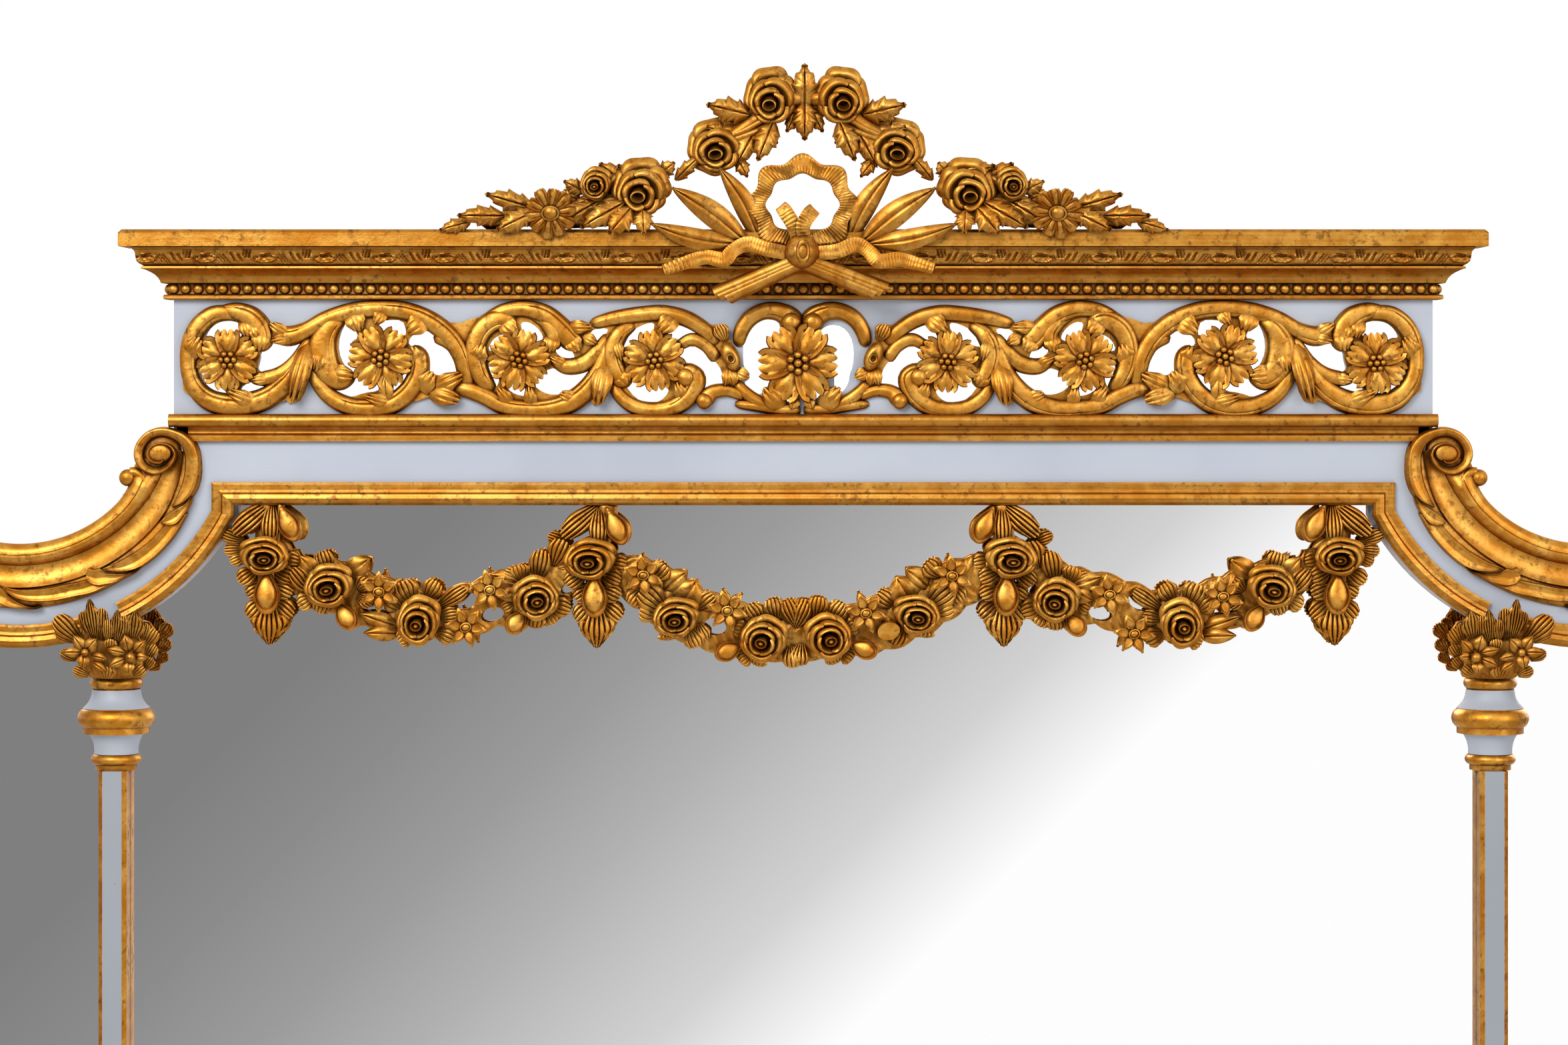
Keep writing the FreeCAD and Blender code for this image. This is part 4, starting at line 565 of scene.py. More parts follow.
def cupped_rose(size, rings, throat, hang):
    """A rose: rings of cupped petals about a tube of a mouth that hangs low."""
    parts = [carve_ball(28, 10, lambda x, y, z: (0.82 * size * x, 0.82 * size * y, 0.16 * size * z))]
    for count, first, spread, foot, rim, curl in rings:
        for turn in range(count):
            edge = (rim[0] * PETAL_REACHES[turn], rim[1])
            parts.append(cupped_petal(size, first + 2 * math.pi * turn / count, spread, foot, edge, curl))
    mouth = turned_cup(throat, 0.25 * size, 24)
    mouth.data.transform(Matrix.Translation((0, 0, (rings[-1][4][1] - 0.58) * size * MM)))
    rose = smooth(join("rose", parts + [mouth]), 50)
    rose.data.transform(Matrix(((1, 0, -0.12, 0), (0, 1, -hang, 0.1 * size * MM), (0, 0, 1, 0),
                                (0, 0, 0, 1))))
    return rose


def star_petal(radius, angle, length, width, notch=0.0, veins=0, start=0.18):
    """A flat petal with a raised edge, hollow in its middle; pointed, or notched at its end."""
    def form(u, v):
        reach = start + (length - start) * v
        if notch:
            shape = np.sin(np.pi / 2 * np.clip(0.30 + 0.9 * v, 0, 1))
            shape = shape * (1 - 0.25 * np.clip((v - 0.8) / 0.2, 0, 1) ** 2)
            reach = reach + notch * (np.abs(np.sin(1.5 * np.pi * u)) - 0.5) * v ** 3
        else:
            shape = np.sin(np.pi * np.clip(v, 0, 1) ** 0.72 * 0.985 + 0.045) ** 0.85
        side = width * u * shape
        edge = np.exp(-((1 - np.abs(u)) / 0.2) ** 2) * 0.05
        lift = 0.13 + 0.10 * np.sin(np.pi * 0.7 * v) + edge - 0.05 * (1 - u ** 2) * v
        if veins:
            lift = lift + 0.028 * np.cos(veins * np.pi * u) * np.sin(np.pi * np.clip(v * 1.1, 0, 1))
        turn = math.radians(angle)
        return (radius * (reach * math.cos(turn) - side * math.sin(turn)),
                radius * (reach * math.sin(turn) + side * math.cos(turn)), radius * lift)
    return thicken(carve_sheet(18 if veins else 10, 10, form), 0.09 * radius)


def star_flower(radius):
    """A small flower of six pointed petals about a rimmed button."""
    parts = [star_petal(radius, angle, 1.0, 0.25) for angle in (30, 90, 150, 210, 270, 330)]
    parts.append(carve_ball(16, 8, lambda x, y, z: (0.24 * radius * x, 0.20 * radius * y,
                                                    radius * (0.22 + 0.12 * z))))
    parts.append(turned_cup(((0.22, 0.18), (0.29, 0.24), (0.28, 0.33), (0.23, 0.34), (0.20, 0.26)), radius,
                            16))
    return smooth(join("star_flower", parts), 50)


def frieze_flower(radius, petals=6):
    """A flower of notched, veined petals about a cluster of beads."""
    parts = []
    for number in range(petals):
        angle = 360 * number / petals + 30
        piece = star_petal(radius, angle, 1.0, 0.47, 0.24, 2, 0.14)
        piece.data.transform(Matrix.Translation((0, 0, (0.05 * radius * MM) * (number % 2))))
        parts.append(piece)
    bead = carve_ball(10, 6, lambda x, y, z: (0.12 * radius * x, 0.12 * radius * y,
                                              radius * (0.36 + 0.12 * z)))
    for number in range(6):
        turn = math.radians(60 * number)
        parts.append(copied(bead, Matrix.Translation((0.23 * radius * MM * math.cos(turn),
                                                      0.23 * radius * MM * math.sin(turn), 0))))
    parts.append(copied(bead, Matrix.Translation((0, 0, 0.07 * radius * MM))))
    drop(bead)
    parts.append(carve_ball(14, 6, lambda x, y, z: (0.36 * radius * x, 0.36 * radius * y,
                                                    radius * (0.2 + 0.1 * z))))
    return smooth(join("frieze_flower", parts), 50)


def daisy(radius):
    """A crest flower of ten round-ended petals about a big domed middle."""
    parts = []
    for number in range(10):
        parts.append(star_petal(radius, 36 * number, 1.0 if number % 2 else 0.94, 0.25, 0.04, 2, 0.2))
    parts.append(carve_ball(20, 12, lambda x, y, z: (0.30 * radius * x, 0.30 * radius * y,
                                                     radius * (0.22 + 0.22 * z))))
    parts.append(turned_cup(((0.27, 0.2), (0.36, 0.26), (0.36, 0.33), (0.29, 0.34)), radius, 22))
    return smooth(join("daisy", parts), 50)


def fluted_leaf(length, width, flutes, arch=0.16, point=0.2):
    """A fan of a leaf, its fingers parted by fine cuts, from its foot at the origin up +Y, arched."""
    def form(u, v):
        finger = np.abs(np.mod(flutes * (u + 1) / 2, 1.0) - 0.5) * 2
        cut = np.exp(-((1 - finger) / 0.18) ** 2) * (np.abs(u) < 0.97)
        shape = 0.36 + 0.64 * np.sin(np.pi / 2 * np.clip(v * 1.15, 0, 1))
        shape = shape * (1 - point * np.clip((v - 0.55) / 0.45, 0, 1) ** 2)
        side = width / 2 * u * shape
        up = length * v * (1 - (0.10 + 0.35 * point) * np.abs(u) ** 2)
        up = up - length * 0.06 * finger ** 2 * np.clip((v - 0.7) / 0.3, 0, 1)
        lift = arch * length * np.sin(np.pi * v * 0.8) + 0.032 * width * (1 - finger ** 2)
        lift = lift - 0.08 * width * u ** 2
        lift = lift - 0.030 * width * cut * np.clip(v * 4, 0.1, 1) * np.clip((1 - v) * 7, 0.25, 1)
        return side, up, lift
    return smooth(thicken(carve_sheet(flutes * 8, 10, form), 0.07 * width), 60)


def acanthus_lobe(length, width):
    """A smooth lobe of acanthus that ends in three round fingers, with soft lines between them."""
    def form(u, v):
        finger = np.abs(np.mod(3 * (u + 1) / 2, 1.0) - 0.5) * 2
        shape = 0.55 + 0.45 * np.sin(np.pi * np.clip(0.12 + 0.62 * v, 0, 1))
        shape = shape * (1 - 0.18 * np.clip((v - 0.6) / 0.4, 0, 1) ** 2)
        up = length * v * (1 - 0.22 * u ** 2)
        up = up - length * 0.10 * finger ** 3 * np.clip((v - 0.5) / 0.5, 0, 1) ** 2
        lift = 0.20 * length * np.sin(np.pi * v * 0.85) - 0.13 * width * u ** 2
        line = 0.06 * width * np.exp(-((1 - finger) / 0.4) ** 2) * np.clip((v - 0.15) / 0.5, 0, 1)
        lift = lift - line * (np.abs(u) < 0.9)
        return width / 2 * u * shape, up, lift
    return smooth(thicken(carve_sheet(24, 10, form), 0.10 * width), 60)


def toothed_leaf(length, width):
    """A rose leaf with pointed teeth, a sunk midrib and a vein to each tooth."""
    def form(u, v):
        side = np.abs(u)
        tooth = (v * 3.4 + 0.15) % 1.0
        half = width / 2 * np.sin(np.pi * np.clip(v, 0, 1) ** 0.75) ** 0.7 * (0.66 + 0.34 * tooth ** 1.6)
        half = half + 0.06 * width * (1 - v)
        along = length * (v + 0.16 * side * (1 - v) * np.sin(np.pi * v))
        vein = np.exp(-(((v * 3.4 - 0.5 * side + 0.55) % 1.0 - 0.5) / 0.10) ** 2)
        lift = 0.07 * length * (1 - u * u) - 0.045 * length * np.exp(-(u / 0.09) ** 2)
        lift = lift - 0.022 * length * vein * side
        return u * half, along, lift + 0.10 * length * np.sin(np.pi * v) - 0.03 * length * side ** 4
    return smooth(thicken(carve_sheet(18, 44, form), 0.06 * length), 38)


def lance_leaf(length, width, bow=0.0, arch=0.10):
    """A long smooth leaf with a midrib groove, bowed sideways along its length."""
    def form(u, v):
        shape = np.sin(np.pi * np.clip(0.04 + 0.955 * v, 0, 1) ** 0.85) ** 0.75
        side = width / 2 * u * shape + bow * length * np.sin(np.pi * v)
        lift = arch * length * np.sin(np.pi * v * 0.9) - 0.12 * width * np.abs(u) ** 1.5
        lift = lift + 0.14 * width * np.abs(u) * (1 - np.abs(u))
        lift = lift - 0.055 * width * np.exp(-(u / 0.10) ** 2)
        return side, length * v, lift
    return smooth(thicken(carve_sheet(12, 16, form), 0.09 * width), 55)


def teardrop_bud(length, width):
    """A spoon-shaped bud from its narrow foot at the origin up +Y: a flat oval face in a raised edge."""
    def form(x, y, z):
        reach = np.hypot(x, y)
        share = (y + 1) / 2
        wide = (0.36 + 0.64 * np.sin(np.pi / 2 * np.clip(share * 1.5, 0, 1)) ** 1.5)
        face = 0.30 + 0.16 * (1 - reach ** 2) - 0.06 * np.exp(-((reach - 0.76) / 0.08) ** 2)
        face = face + 0.05 * np.exp(-((reach - 0.88) / 0.07) ** 2)
        lift = np.where(z > 0, face * np.sqrt(np.clip(z * 4, 0, 1)), 0.12 * z)
        return width / 2 * x * wide, length * share, width * lift * (0.6 + 0.5 * share)
    return smooth(carve_ball(32, 32, form), 60)


def stalk(points, radius, taper=1.0, around=9):
    """A round stalk through points in mm, curved smoothly, narrowed at its ends."""
    knots = np.array(points, float)
    run = np.linspace(0, 1, len(knots))

    def form(u, v):
        along = np.clip(v, 0, 1)
        middle = np.stack([smooth_run(run, knots[:, axis], along) for axis in range(3)], axis=1)
        ahead = np.stack([smooth_run(run, knots[:, axis], along + 0.01)
                          - smooth_run(run, knots[:, axis], along - 0.01)
                          for axis in range(3)], axis=1)
        ahead /= np.linalg.norm(ahead, axis=1, keepdims=True) + 1e-9
        side = np.cross(ahead, np.array([0.0, 0.0, 1.0]))
        side /= np.linalg.norm(side, axis=1, keepdims=True) + 1e-9
        up = np.cross(side, ahead)
        end = np.sqrt(np.clip(1 - (2 * np.abs(along - 0.5)) ** 16, 0, 1))
        thick = radius * (1 + (taper - 1) * along) * (0.25 + 0.75 * end)
        ring = (np.cos(np.pi * u) * thick)[:, None] * side + (np.sin(np.pi * u) * thick)[:, None] * up
        return tuple((middle + ring).T)
    return smooth(weld(carve_sheet(around, 6 * (len(points) - 1), form)), 60)


def smooth_run(run, values, along):
    """A smooth curve through values at the places run, read at along."""
    slopes = np.gradient(values, run)
    where = np.clip(np.searchsorted(run, along) - 1, 0, len(run) - 2)
    span = run[where + 1] - run[where]
    share = (along - run[where]) / span
    first, second = values[where], values[where + 1]
    start, end = slopes[where] * span, slopes[where + 1] * span
    return ((2 * share ** 3 - 3 * share ** 2 + 1) * first + (share ** 3 - 2 * share ** 2 + share) * start
            + (3 * share ** 2 - 2 * share ** 3) * second + (share ** 3 - share ** 2) * end)


def run_and_way(run, knots, along, step):
    """The middle of a strip at along, and the way that it runs there."""
    before, after = np.clip(along - step, 0, 1), np.clip(along + step, 0, 1)
    flat = knots[:, :2].T
    middle = np.stack([smooth_run(run, row, along) for row in flat], axis=1)
    ahead = np.stack([smooth_run(run, row, after) - smooth_run(run, row, before) for row in flat], axis=1)
    return middle, ahead / (np.linalg.norm(ahead, axis=1, keepdims=True) + 1e-9)


# Garland of the centre opening

# Planes of the garland, in metres: its roses, its star flowers and the middle of the swags' bodies.
GARLAND_Y = 0.004
STAR_Y = 0.003
SWAG_BODY_Y = 0.016
# The half size of a closed rose, in pixels, and the length of a cutter that goes through everything, in mm.
ROSE_HALF = 40
CUTTER = 60.0
# Roses of the drops from left to right: place, half width and half height in pixels, and the side that
# the mouth lies to.
DROP_ROSES = ((396, 831, 40, 28, -1), (887, 836, 42, 30, 1), (1514, 834, 42, 30, -1), (2010, 832, 40, 28, 1))
DROP_STEMS = (401, 909, 1501, 2009)
SLIP_EDGE_DOWN = 756
# Roses of the swags from left to right: place, half width and half height in pixels, roll, and the side
# of the mouth.
SWAG_ROSES = (
    ("left", 496, 875, 40, 32, 8, 1), ("left", 631, 927, 35, 37, -4, 1), ("left", 802, 894, 37, 33, 14, -1),
    ("centre", 1016, 923, 38, 29, 4, 1), ("centre", 1148, 955, 37, 35, -16, 1),
    ("centre", 1240, 952, 37, 35, 16, -1),
    ("centre", 1373, 919, 38, 29, -4, -1), ("right", 1586, 897, 37, 33, -14, 1),
    ("right", 1769, 931, 35, 37, 4, -1),
    ("right", 1905, 877, 40, 32, -8, -1))
SWAG_STARS = (
    ("left", 569, 888, 0), ("left", 735, 885, 14), ("left", 699, 941, 22), ("centre", 965, 863, 8),
    ("centre", 1091, 916, 16),
    ("centre", 1299, 920, 20), ("centre", 1428, 864, 6), ("right", 1664, 892, 10), ("right", 1701, 951, 24),
    ("right", 1834, 895, 12))
# The left swag on its enlarged detail: the corner and scale of the detail.
SWAG_DETAIL = (300.0, 700.0, 1.782)
# Leaves and buds about each rose of the left half: kind, foot, tip and width on the detail.
ROSE_LEAVES = {
    496: (("fan", (345, 285), (326, 222), 56), ("smooth", (395, 290), (452, 246), 62),
          ("bud", (366, 360), (412, 436), 58),
          ("fan", (300, 335), (246, 272), 60), ("fan", (335, 350), (318, 394), 56),
          ("smooth", (310, 290), (268, 238), 50),
          ("fan", (300, 350), (262, 372), 56), ("fan", (420, 330), (450, 300), 56),
          ("fan", (420, 345), (462, 372), 44)),
    631: (("fan", (566, 362), (540, 304), 72), ("fan", (606, 352), (634, 304), 62),
          ("fan", (640, 372), (716, 322), 52),
          ("smooth", (530, 428), (428, 392), 46), ("smooth", (534, 446), (438, 444), 44),
          ("fan", (636, 440), (682, 458), 60),
          ("fan", (540, 380), (500, 350), 60), ("fan", (640, 400), (690, 392), 50),
          ("fan", (560, 450), (530, 468), 56),
          ("fan", (660, 440), (640, 468), 50)),
    802: (("smooth", (856, 316), (776, 288), 52), ("fan", (902, 300), (916, 220), 64),
          ("bud", (872, 384), (824, 446), 58),
          ("fan", (938, 366), (992, 384), 60), ("fan", (900, 388), (894, 434), 60),
          ("fan", (944, 262), (974, 194), 72),
          ("fan", (930, 390), (950, 420), 60), ("smooth", (850, 330), (800, 352), 44),
          ("fan", (862, 300), (850, 262), 60),
          ("fan", (840, 360), (806, 376), 50), ("fan", (850, 300), (812, 282), 50)),
    1016: (("smooth", (1288, 372), (1326, 304), 88), ("fan", (1240, 380), (1176, 326), 80),
           ("fan", (1308, 436), (1332, 484), 62),
           ("fan", (1330, 380), (1376, 344), 60), ("fan", (1222, 400), (1176, 380), 64),
           ("fan", (1250, 440), (1252, 466), 60),
           ("smooth", (1240, 330), (1300, 280), 60), ("fan", (1330, 420), (1352, 466), 50),
           ("fan", (1210, 300), (1246, 262), 66),
           ("fan", (1180, 330), (1150, 370), 60)),
    1148: (("bud", (1452, 476), (1376, 508), 56), ("fan", (1500, 420), (1466, 370), 60),
           ("fan", (1540, 410), (1530, 352), 62),
           ("fan", (1584, 420), (1566, 358), 62), ("fan", (1590, 430), (1618, 360), 60),
           ("fan", (1580, 480), (1588, 540), 62),
           ("smooth", (1540, 400), (1600, 366), 50), ("fan", (1470, 500), (1440, 522), 54),
           ("fan", (1460, 440), (1430, 430), 54),
           ("fan", (1500, 500), (1486, 534), 54)),
}
ROSE_PARTNERS = {1905: 496, 1769: 631, 1586: 802, 1373: 1016, 1240: 1148}
# The body of each swag, as it runs through the photograph, and its width in mm.
SWAG_BODIES = {
    "left": (((392, 840), (430, 850), (485, 874), (541, 896), (597, 916), (648, 925), (704, 914), (749, 900),
              (794, 890), (839, 868), (880, 846)),
             (16, 30, 38, 42, 42, 37, 41, 42, 42, 38, 20)),
    "centre": (((895, 846), (934, 862), (973, 880), (1018, 913), (1080, 938), (1142, 953), (1205, 957),
                (1268, 950), (1328, 934), (1388, 906),
                (1434, 878), (1470, 862), (1508, 846)),
               (18, 34, 40, 44, 44, 40, 36, 40, 44, 44, 40, 34, 18)),
    "right": (((1524, 846), (1562, 868), (1607, 890), (1652, 900), (1697, 914), (1752, 925), (1803, 916),
               (1860, 896), (1916, 874), (1971, 850), (2010, 840)),
              (20, 38, 42, 42, 41, 37, 42, 42, 38, 30, 16)),
}
# Openings through the bodies: middle, half length, half height in pixels, and lean in degrees.
SWAG_OPENINGS = {
    "left": ((459, 830, 15, 8, -42), (564, 913, 23, 9, -12), (696, 902, 21, 13, 18), (739, 922, 18, 11, 16),
             (861, 876, 23, 9, 34)),
    "centre": ((1073, 940, 17, 13, -14), (1332, 944, 17, 13, 14)),
    "right": ((1540, 878, 23, 9, -34), (1650, 920, 18, 11, -16), (1712, 903, 21, 13, -18),
              (1838, 912, 23, 9, 12), (1944, 832, 15, 8, 42)),
}
# A drop of the left half on the detail, about its rose: kind, foot, tip, width and depth.
DROP_DETAIL_ROSE = (165.0, 240.0)
DROP_LEAVES = (
    ("fan", (188, 100), (84, 188), 66, 0.010), ("fan", (186, 104), (184, 206), 58, 0.008),
    ("bud", (206, 106), (254, 206), 64, 0.006),
    ("fan", (112, 205), (46, 180), 44, 0.012), ("fan", (112, 226), (58, 230), 44, 0.013),
    ("fan", (115, 244), (74, 262), 44, 0.013),
    ("fan", (145, 280), (96, 316), 56, 0.013), ("fan", (190, 280), (246, 306), 58, 0.013),
    ("fan", (165, 320), (118, 352), 56, 0.014),
    ("fan", (185, 320), (246, 348), 60, 0.014), ("fan", (170, 360), (122, 412), 62, 0.014),
    ("fan", (190, 360), (246, 408), 62, 0.014),
    ("tip", (180, 372), (180, 484), 112, 0.011), ("bud", (172, 278), (174, 402), 74, 0.002),
    ("fan", (210, 250), (262, 262), 56, 0.014))


def carved_outline(points, depth, thickness):
    """A flat prism through the front, outlined by places of the photograph: a cutter."""
    deselect()
    bpy.ops.mesh.primitive_circle_add(vertices=len(points), radius=1, fill_type="NGON")
    piece = bpy.context.object
    set_points(piece, [(x * MM, y * MM, z * MM) for x, y, z in drawn(points, depth)])
    piece.data.transform(TO_FRONT)
    thicken(piece, thickness, 0.0)
    return weld(piece, 0.001)


def cut_through(piece, cutters):
    """Cuts the joined cutters out of a piece."""
    tool = join("cutters", cutters)
    modify(piece, "BOOLEAN", operation="DIFFERENCE", object=tool, solver="EXACT", use_self=True)
    drop(tool)
    return piece


def oval(place, along, up, lean, count=16):
    turn = math.radians(lean)
    points = []
    for number in range(count):
        angle = -2 * math.pi * number / count
        x, y = along * math.cos(angle), up * math.sin(angle)
        across = place[0] + x * math.cos(turn) - y * math.sin(turn)
        points.append((across, place[1] - x * math.sin(turn) - y * math.cos(turn)))
    return points


def garland_body(points, widths, depth, front, back):
    """The flat rope that a swag is carved from: fluted all over like laid leaves, with a notched edge."""
    knots = np.array(drawn(points, depth))
    run = np.concatenate([[0.0], np.cumsum(np.linalg.norm(np.diff(knots[:, :2], axis=0), axis=1))])
    long = run[-1]
    run = run / long

    def form(u, v):
        middle, ahead = run_and_way(run, knots, v, 0.006)
        side, up = np.cos(np.pi * u), np.sin(np.pi * u)
        along = v * long
        notch = 0.88 + 0.12 * np.abs(np.sin(along / 7.0 + 0.6 * np.sign(side)))
        ends = np.sqrt(np.clip(1 - np.abs(2 * v - 1) ** 20, 0, 1))
        wide = np.interp(v, run, widths) / 2 * notch * (0.3 + 0.7 * ends)
        wide = wide * np.sign(side) * np.abs(side) ** 0.75
        flute = 2.0 * np.abs(np.sin(along / 2.6 - np.abs(wide) / 3.4)) ** 1.5 * np.clip(up * 2, 0, 1)
        lift = np.where(up > 0, front * np.abs(up) ** 0.8, -back * np.abs(up) ** 0.5) + flute
        return middle[:, 0] - ahead[:, 1] * wide, middle[:, 1] + ahead[:, 0] * wide, lift - depth / MM
    piece = smooth(weld(carve_sheet(36, int(long / 1.1), form)), 50)
    piece.data.transform(TO_FRONT)
    return piece


class Ornaments:
    """The models that the garland, the crest, the frieze and the capitals are put together from."""

    def __init__(self):
        self.rose = cupped_rose(20.0, CLOSED_RINGS, CLOSED_MOUTH, 0.46)
        self.open = cupped_rose(22.0, OPEN_RINGS, OPEN_MOUTH, 0.52)
        self.star = star_flower(15.5)
        self.fan = fluted_leaf(30.0, 29.0, 5)
        self.tip = fluted_leaf(36.0, 34.0, 7, 0.12, 0.7)
        self.smooth = lance_leaf(30.0, 19.0, 0.0, 0.12)
        self.bud = teardrop_bud(30.0, 18.0)
        self.toothed = toothed_leaf(30.0, 17.0)
        self.lobe = acanthus_lobe(30.0, 22.0)
        # Length and width of each leaf as modelled.
        self.sizes = {"fan": (30.0, 29.0), "tip": (36.0, 34.0), "smooth": (30.0, 19.0), "bud": (30.0, 18.0),
                      "toothed": (30.0, 17.0), "lobe": (30.0, 22.0)}

    def lay(self, kind, base, tip, depth, width, lift=0.0, thick=1.0):
        """Lays a leaf from base to tip, its width in pixels of the photograph."""
        length, across = self.sizes[kind]
        share = (width / across) / (math.dist(base, tip) / length)
        return laid(getattr(self, kind), base, tip, depth, length, share, lift, thick)

    def clear(self):
        drop(self.rose, self.open, self.star, *[getattr(self, kind) for kind in self.sizes])


def put(piece, place, depth, size=1.0, roll=0.0, nod=0.0, flip=1):
    return copied(piece, on_front(at_pixel(place[0], place[1], depth), roll, size, nod, flip))


def front_stalk(points, depth, radius, taper=1.0):
    piece = stalk(drawn(points, depth), radius, taper)
    piece.data.transform(TO_FRONT)
    return piece


def from_rose(place, detail_rose, detail_place, sign):
    """A place of the detail, moved with its rose to another of the same kind, mirrored where sign is -1."""
    scale = SWAG_DETAIL[2]
    across = place[0] + sign * (detail_place[0] - detail_rose[0]) / scale
    return across, place[1] + (detail_place[1] - detail_rose[1]) / scale


def put_rose(kit, place, half_wide, half_high, roll, side):
    """A closed rose that fills the given half width and half height of the photograph."""
    rose = copied(kit.rose, Matrix.Diagonal((half_wide / ROSE_HALF, half_high / ROSE_HALF, 1.0, 1)))
    piece = put(rose, place, GARLAND_Y, flip=side)
    drop(rose)
    middle = at_pixel(place[0], place[1], GARLAND_Y)
    spin = Matrix.Rotation(math.radians(-roll), 4, "Y")
    piece.data.transform(Matrix.Translation(middle) @ spin @ Matrix.Translation(-middle))
    return piece


def make_drops(kit):
    parts = []
    for (across, down, half_wide, half_high, side), stem in zip(DROP_ROSES, DROP_STEMS):
        place = (across, down)
        sign = 1 if across < MIDDLE_X else -1
        parts.append(put_rose(kit, place, half_wide, half_high, 0, side))
        parts.append(front_stalk(((stem, SLIP_EDGE_DOWN - 6), (stem - 2 * sign, SLIP_EDGE_DOWN + 30),
                                  (across + 2 * sign, down)), 0.013, 8.0))
        parts.append(front_stalk(((across + 4 * sign, down), (across + 6 * sign, down + 50),
                                  (across + 8 * sign, down + 104)), 0.017, 9.0, 0.5))
        for kind, foot, tip, width, depth in DROP_LEAVES:
            lift = 10 if kind == "fan" else 0
            first, last = (from_rose(place, DROP_DETAIL_ROSE, end, sign) for end in (foot, tip))
            parts.append(kit.lay(kind, first, last, depth, width / SWAG_DETAIL[2], lift))
    return join("garland_drops_carved", parts)


def swag_cutters(side, grow):
    """Cutters of the openings of one swag, grown by some pixels."""
    return [carved_outline(oval((across, down), along + grow, up + grow, lean), SWAG_BODY_Y, CUTTER)
            for across, down, along, up, lean in SWAG_OPENINGS[side]]


def make_swag(kit, side):
    body = garland_body(*SWAG_BODIES[side], SWAG_BODY_Y, 4.0, 2.0)
    cutters = swag_cutters(side, 0)
    parts = [smooth(cut_through(body, cutters), 50)]
    for name, across, down, half_wide, half_high, roll, mouth in SWAG_ROSES:
        if name != side:
            continue
        place = (across, down)
        sign = 1 if across < MIDDLE_X else -1
        parts.append(put_rose(kit, place, half_wide, half_high, roll, mouth))
        key = ROSE_PARTNERS.get(across, across)
        model = next(rose for rose in SWAG_ROSES if rose[1] == key)
        detail_rose = ((model[1] - SWAG_DETAIL[0]) * SWAG_DETAIL[2],
                       (model[2] - SWAG_DETAIL[1]) * SWAG_DETAIL[2])
        for number, (kind, foot, tip, width) in enumerate(ROSE_LEAVES[key]):
            depth = 0.011 - 0.001 * (number % 3) if kind != "bud" else 0.005
            first, last = (from_rose(place, detail_rose, end, sign) for end in (foot, tip))
            parts.append(kit.lay(kind, first, last, depth, width / SWAG_DETAIL[2], 6))
    for name, across, down, roll in SWAG_STARS:
        if name == side:
            parts.append(put(kit.star, (across, down), STAR_Y, roll=roll))
    return join(f"swag_{side}_carved", parts)


def make_swag_back(side):
    """The bare gesso of a swag's back and edges, which shows only in the glass."""
    points, widths = SWAG_BODIES[side]
    back = garland_body(points, [width - 4 for width in widths], SWAG_BODY_Y + 0.0025, 0.5, 3.0)
    back = cut_through(back, swag_cutters(side, 4))
    back.name = f"swag_{side}_back"
    return back


KIT = Ornaments()
finish_piece(make_drops(KIT), "gilding", GILDING, "garland_drops")
for swag_side in ("left", "centre", "right"):
    finish_piece(make_swag(KIT, swag_side), "gilding", GILDING, "swag_" + swag_side)
    finish_piece(make_swag_back(swag_side), "bare_timber", GESSO)

# Crest: a wreath of roses, two leafy sprays and a ribbon

def ribbon_strip(points, depth, widths, waves, wave_height, pleats, pleat_height, thickness=2.2):
    """A pleated, wavy ribbon along places of the photograph, its edges a little raised."""
    hollow = 0.5
    knots = np.array(drawn(points, depth))
    run = np.linspace(0, 1, len(knots))
    along = max(24, int(pleats * 4), 4 * len(points))

    def form(u, v):
        middle, ahead = run_and_way(run, knots, v, 0.004)
        wide = np.interp(v, run, widths) / 2
        x = middle[:, 0] - ahead[:, 1] * wide * u
        y = middle[:, 1] + ahead[:, 0] * wide * u
        swell = wave_height * np.sin(2 * np.pi * waves * v)
        pleat = pleat_height * np.cos(2 * np.pi * pleats * v) * (0.55 + 0.45 * np.abs(u))
        lift = swell + pleat + hollow * u ** 2 - 0.8 * np.abs(u) ** 8
        return x, y, lift - depth / MM
    piece = smooth(thicken(carve_sheet(6, along, form), thickness), 60)
    piece.data.transform(TO_FRONT)
    return piece


# Planes of the crest, in metres: its stems, the bodies of its leaves, its flowers, buds and ribbon.
CREST_Y = -0.020
CREST_BODY_Y = -0.015
DAISY_Y = -0.030
CREST_BUD_Y = -0.022
RIBBON_Y = -0.030
# The right side stands a little off the mirror image of the left, more so in the wreath.
WREATH_DOWN = 255
WREATH_SHIFT = 9
SPRAY_SHIFT = 2


def other_side(place):
    shift = WREATH_SHIFT if place[1] < WREATH_DOWN else SPRAY_SHIFT
    return 2 * MIDDLE_X - place[0] + shift, place[1]


# Roses of the left half: place, half width and half height in pixels, roll and depth.
CREST_ROSES = ((1157, 147, 43, 44, 4, -0.013), (1075, 221, 46, 41, 12, -0.013),
               (962, 284, 46, 45, 0, -0.018))
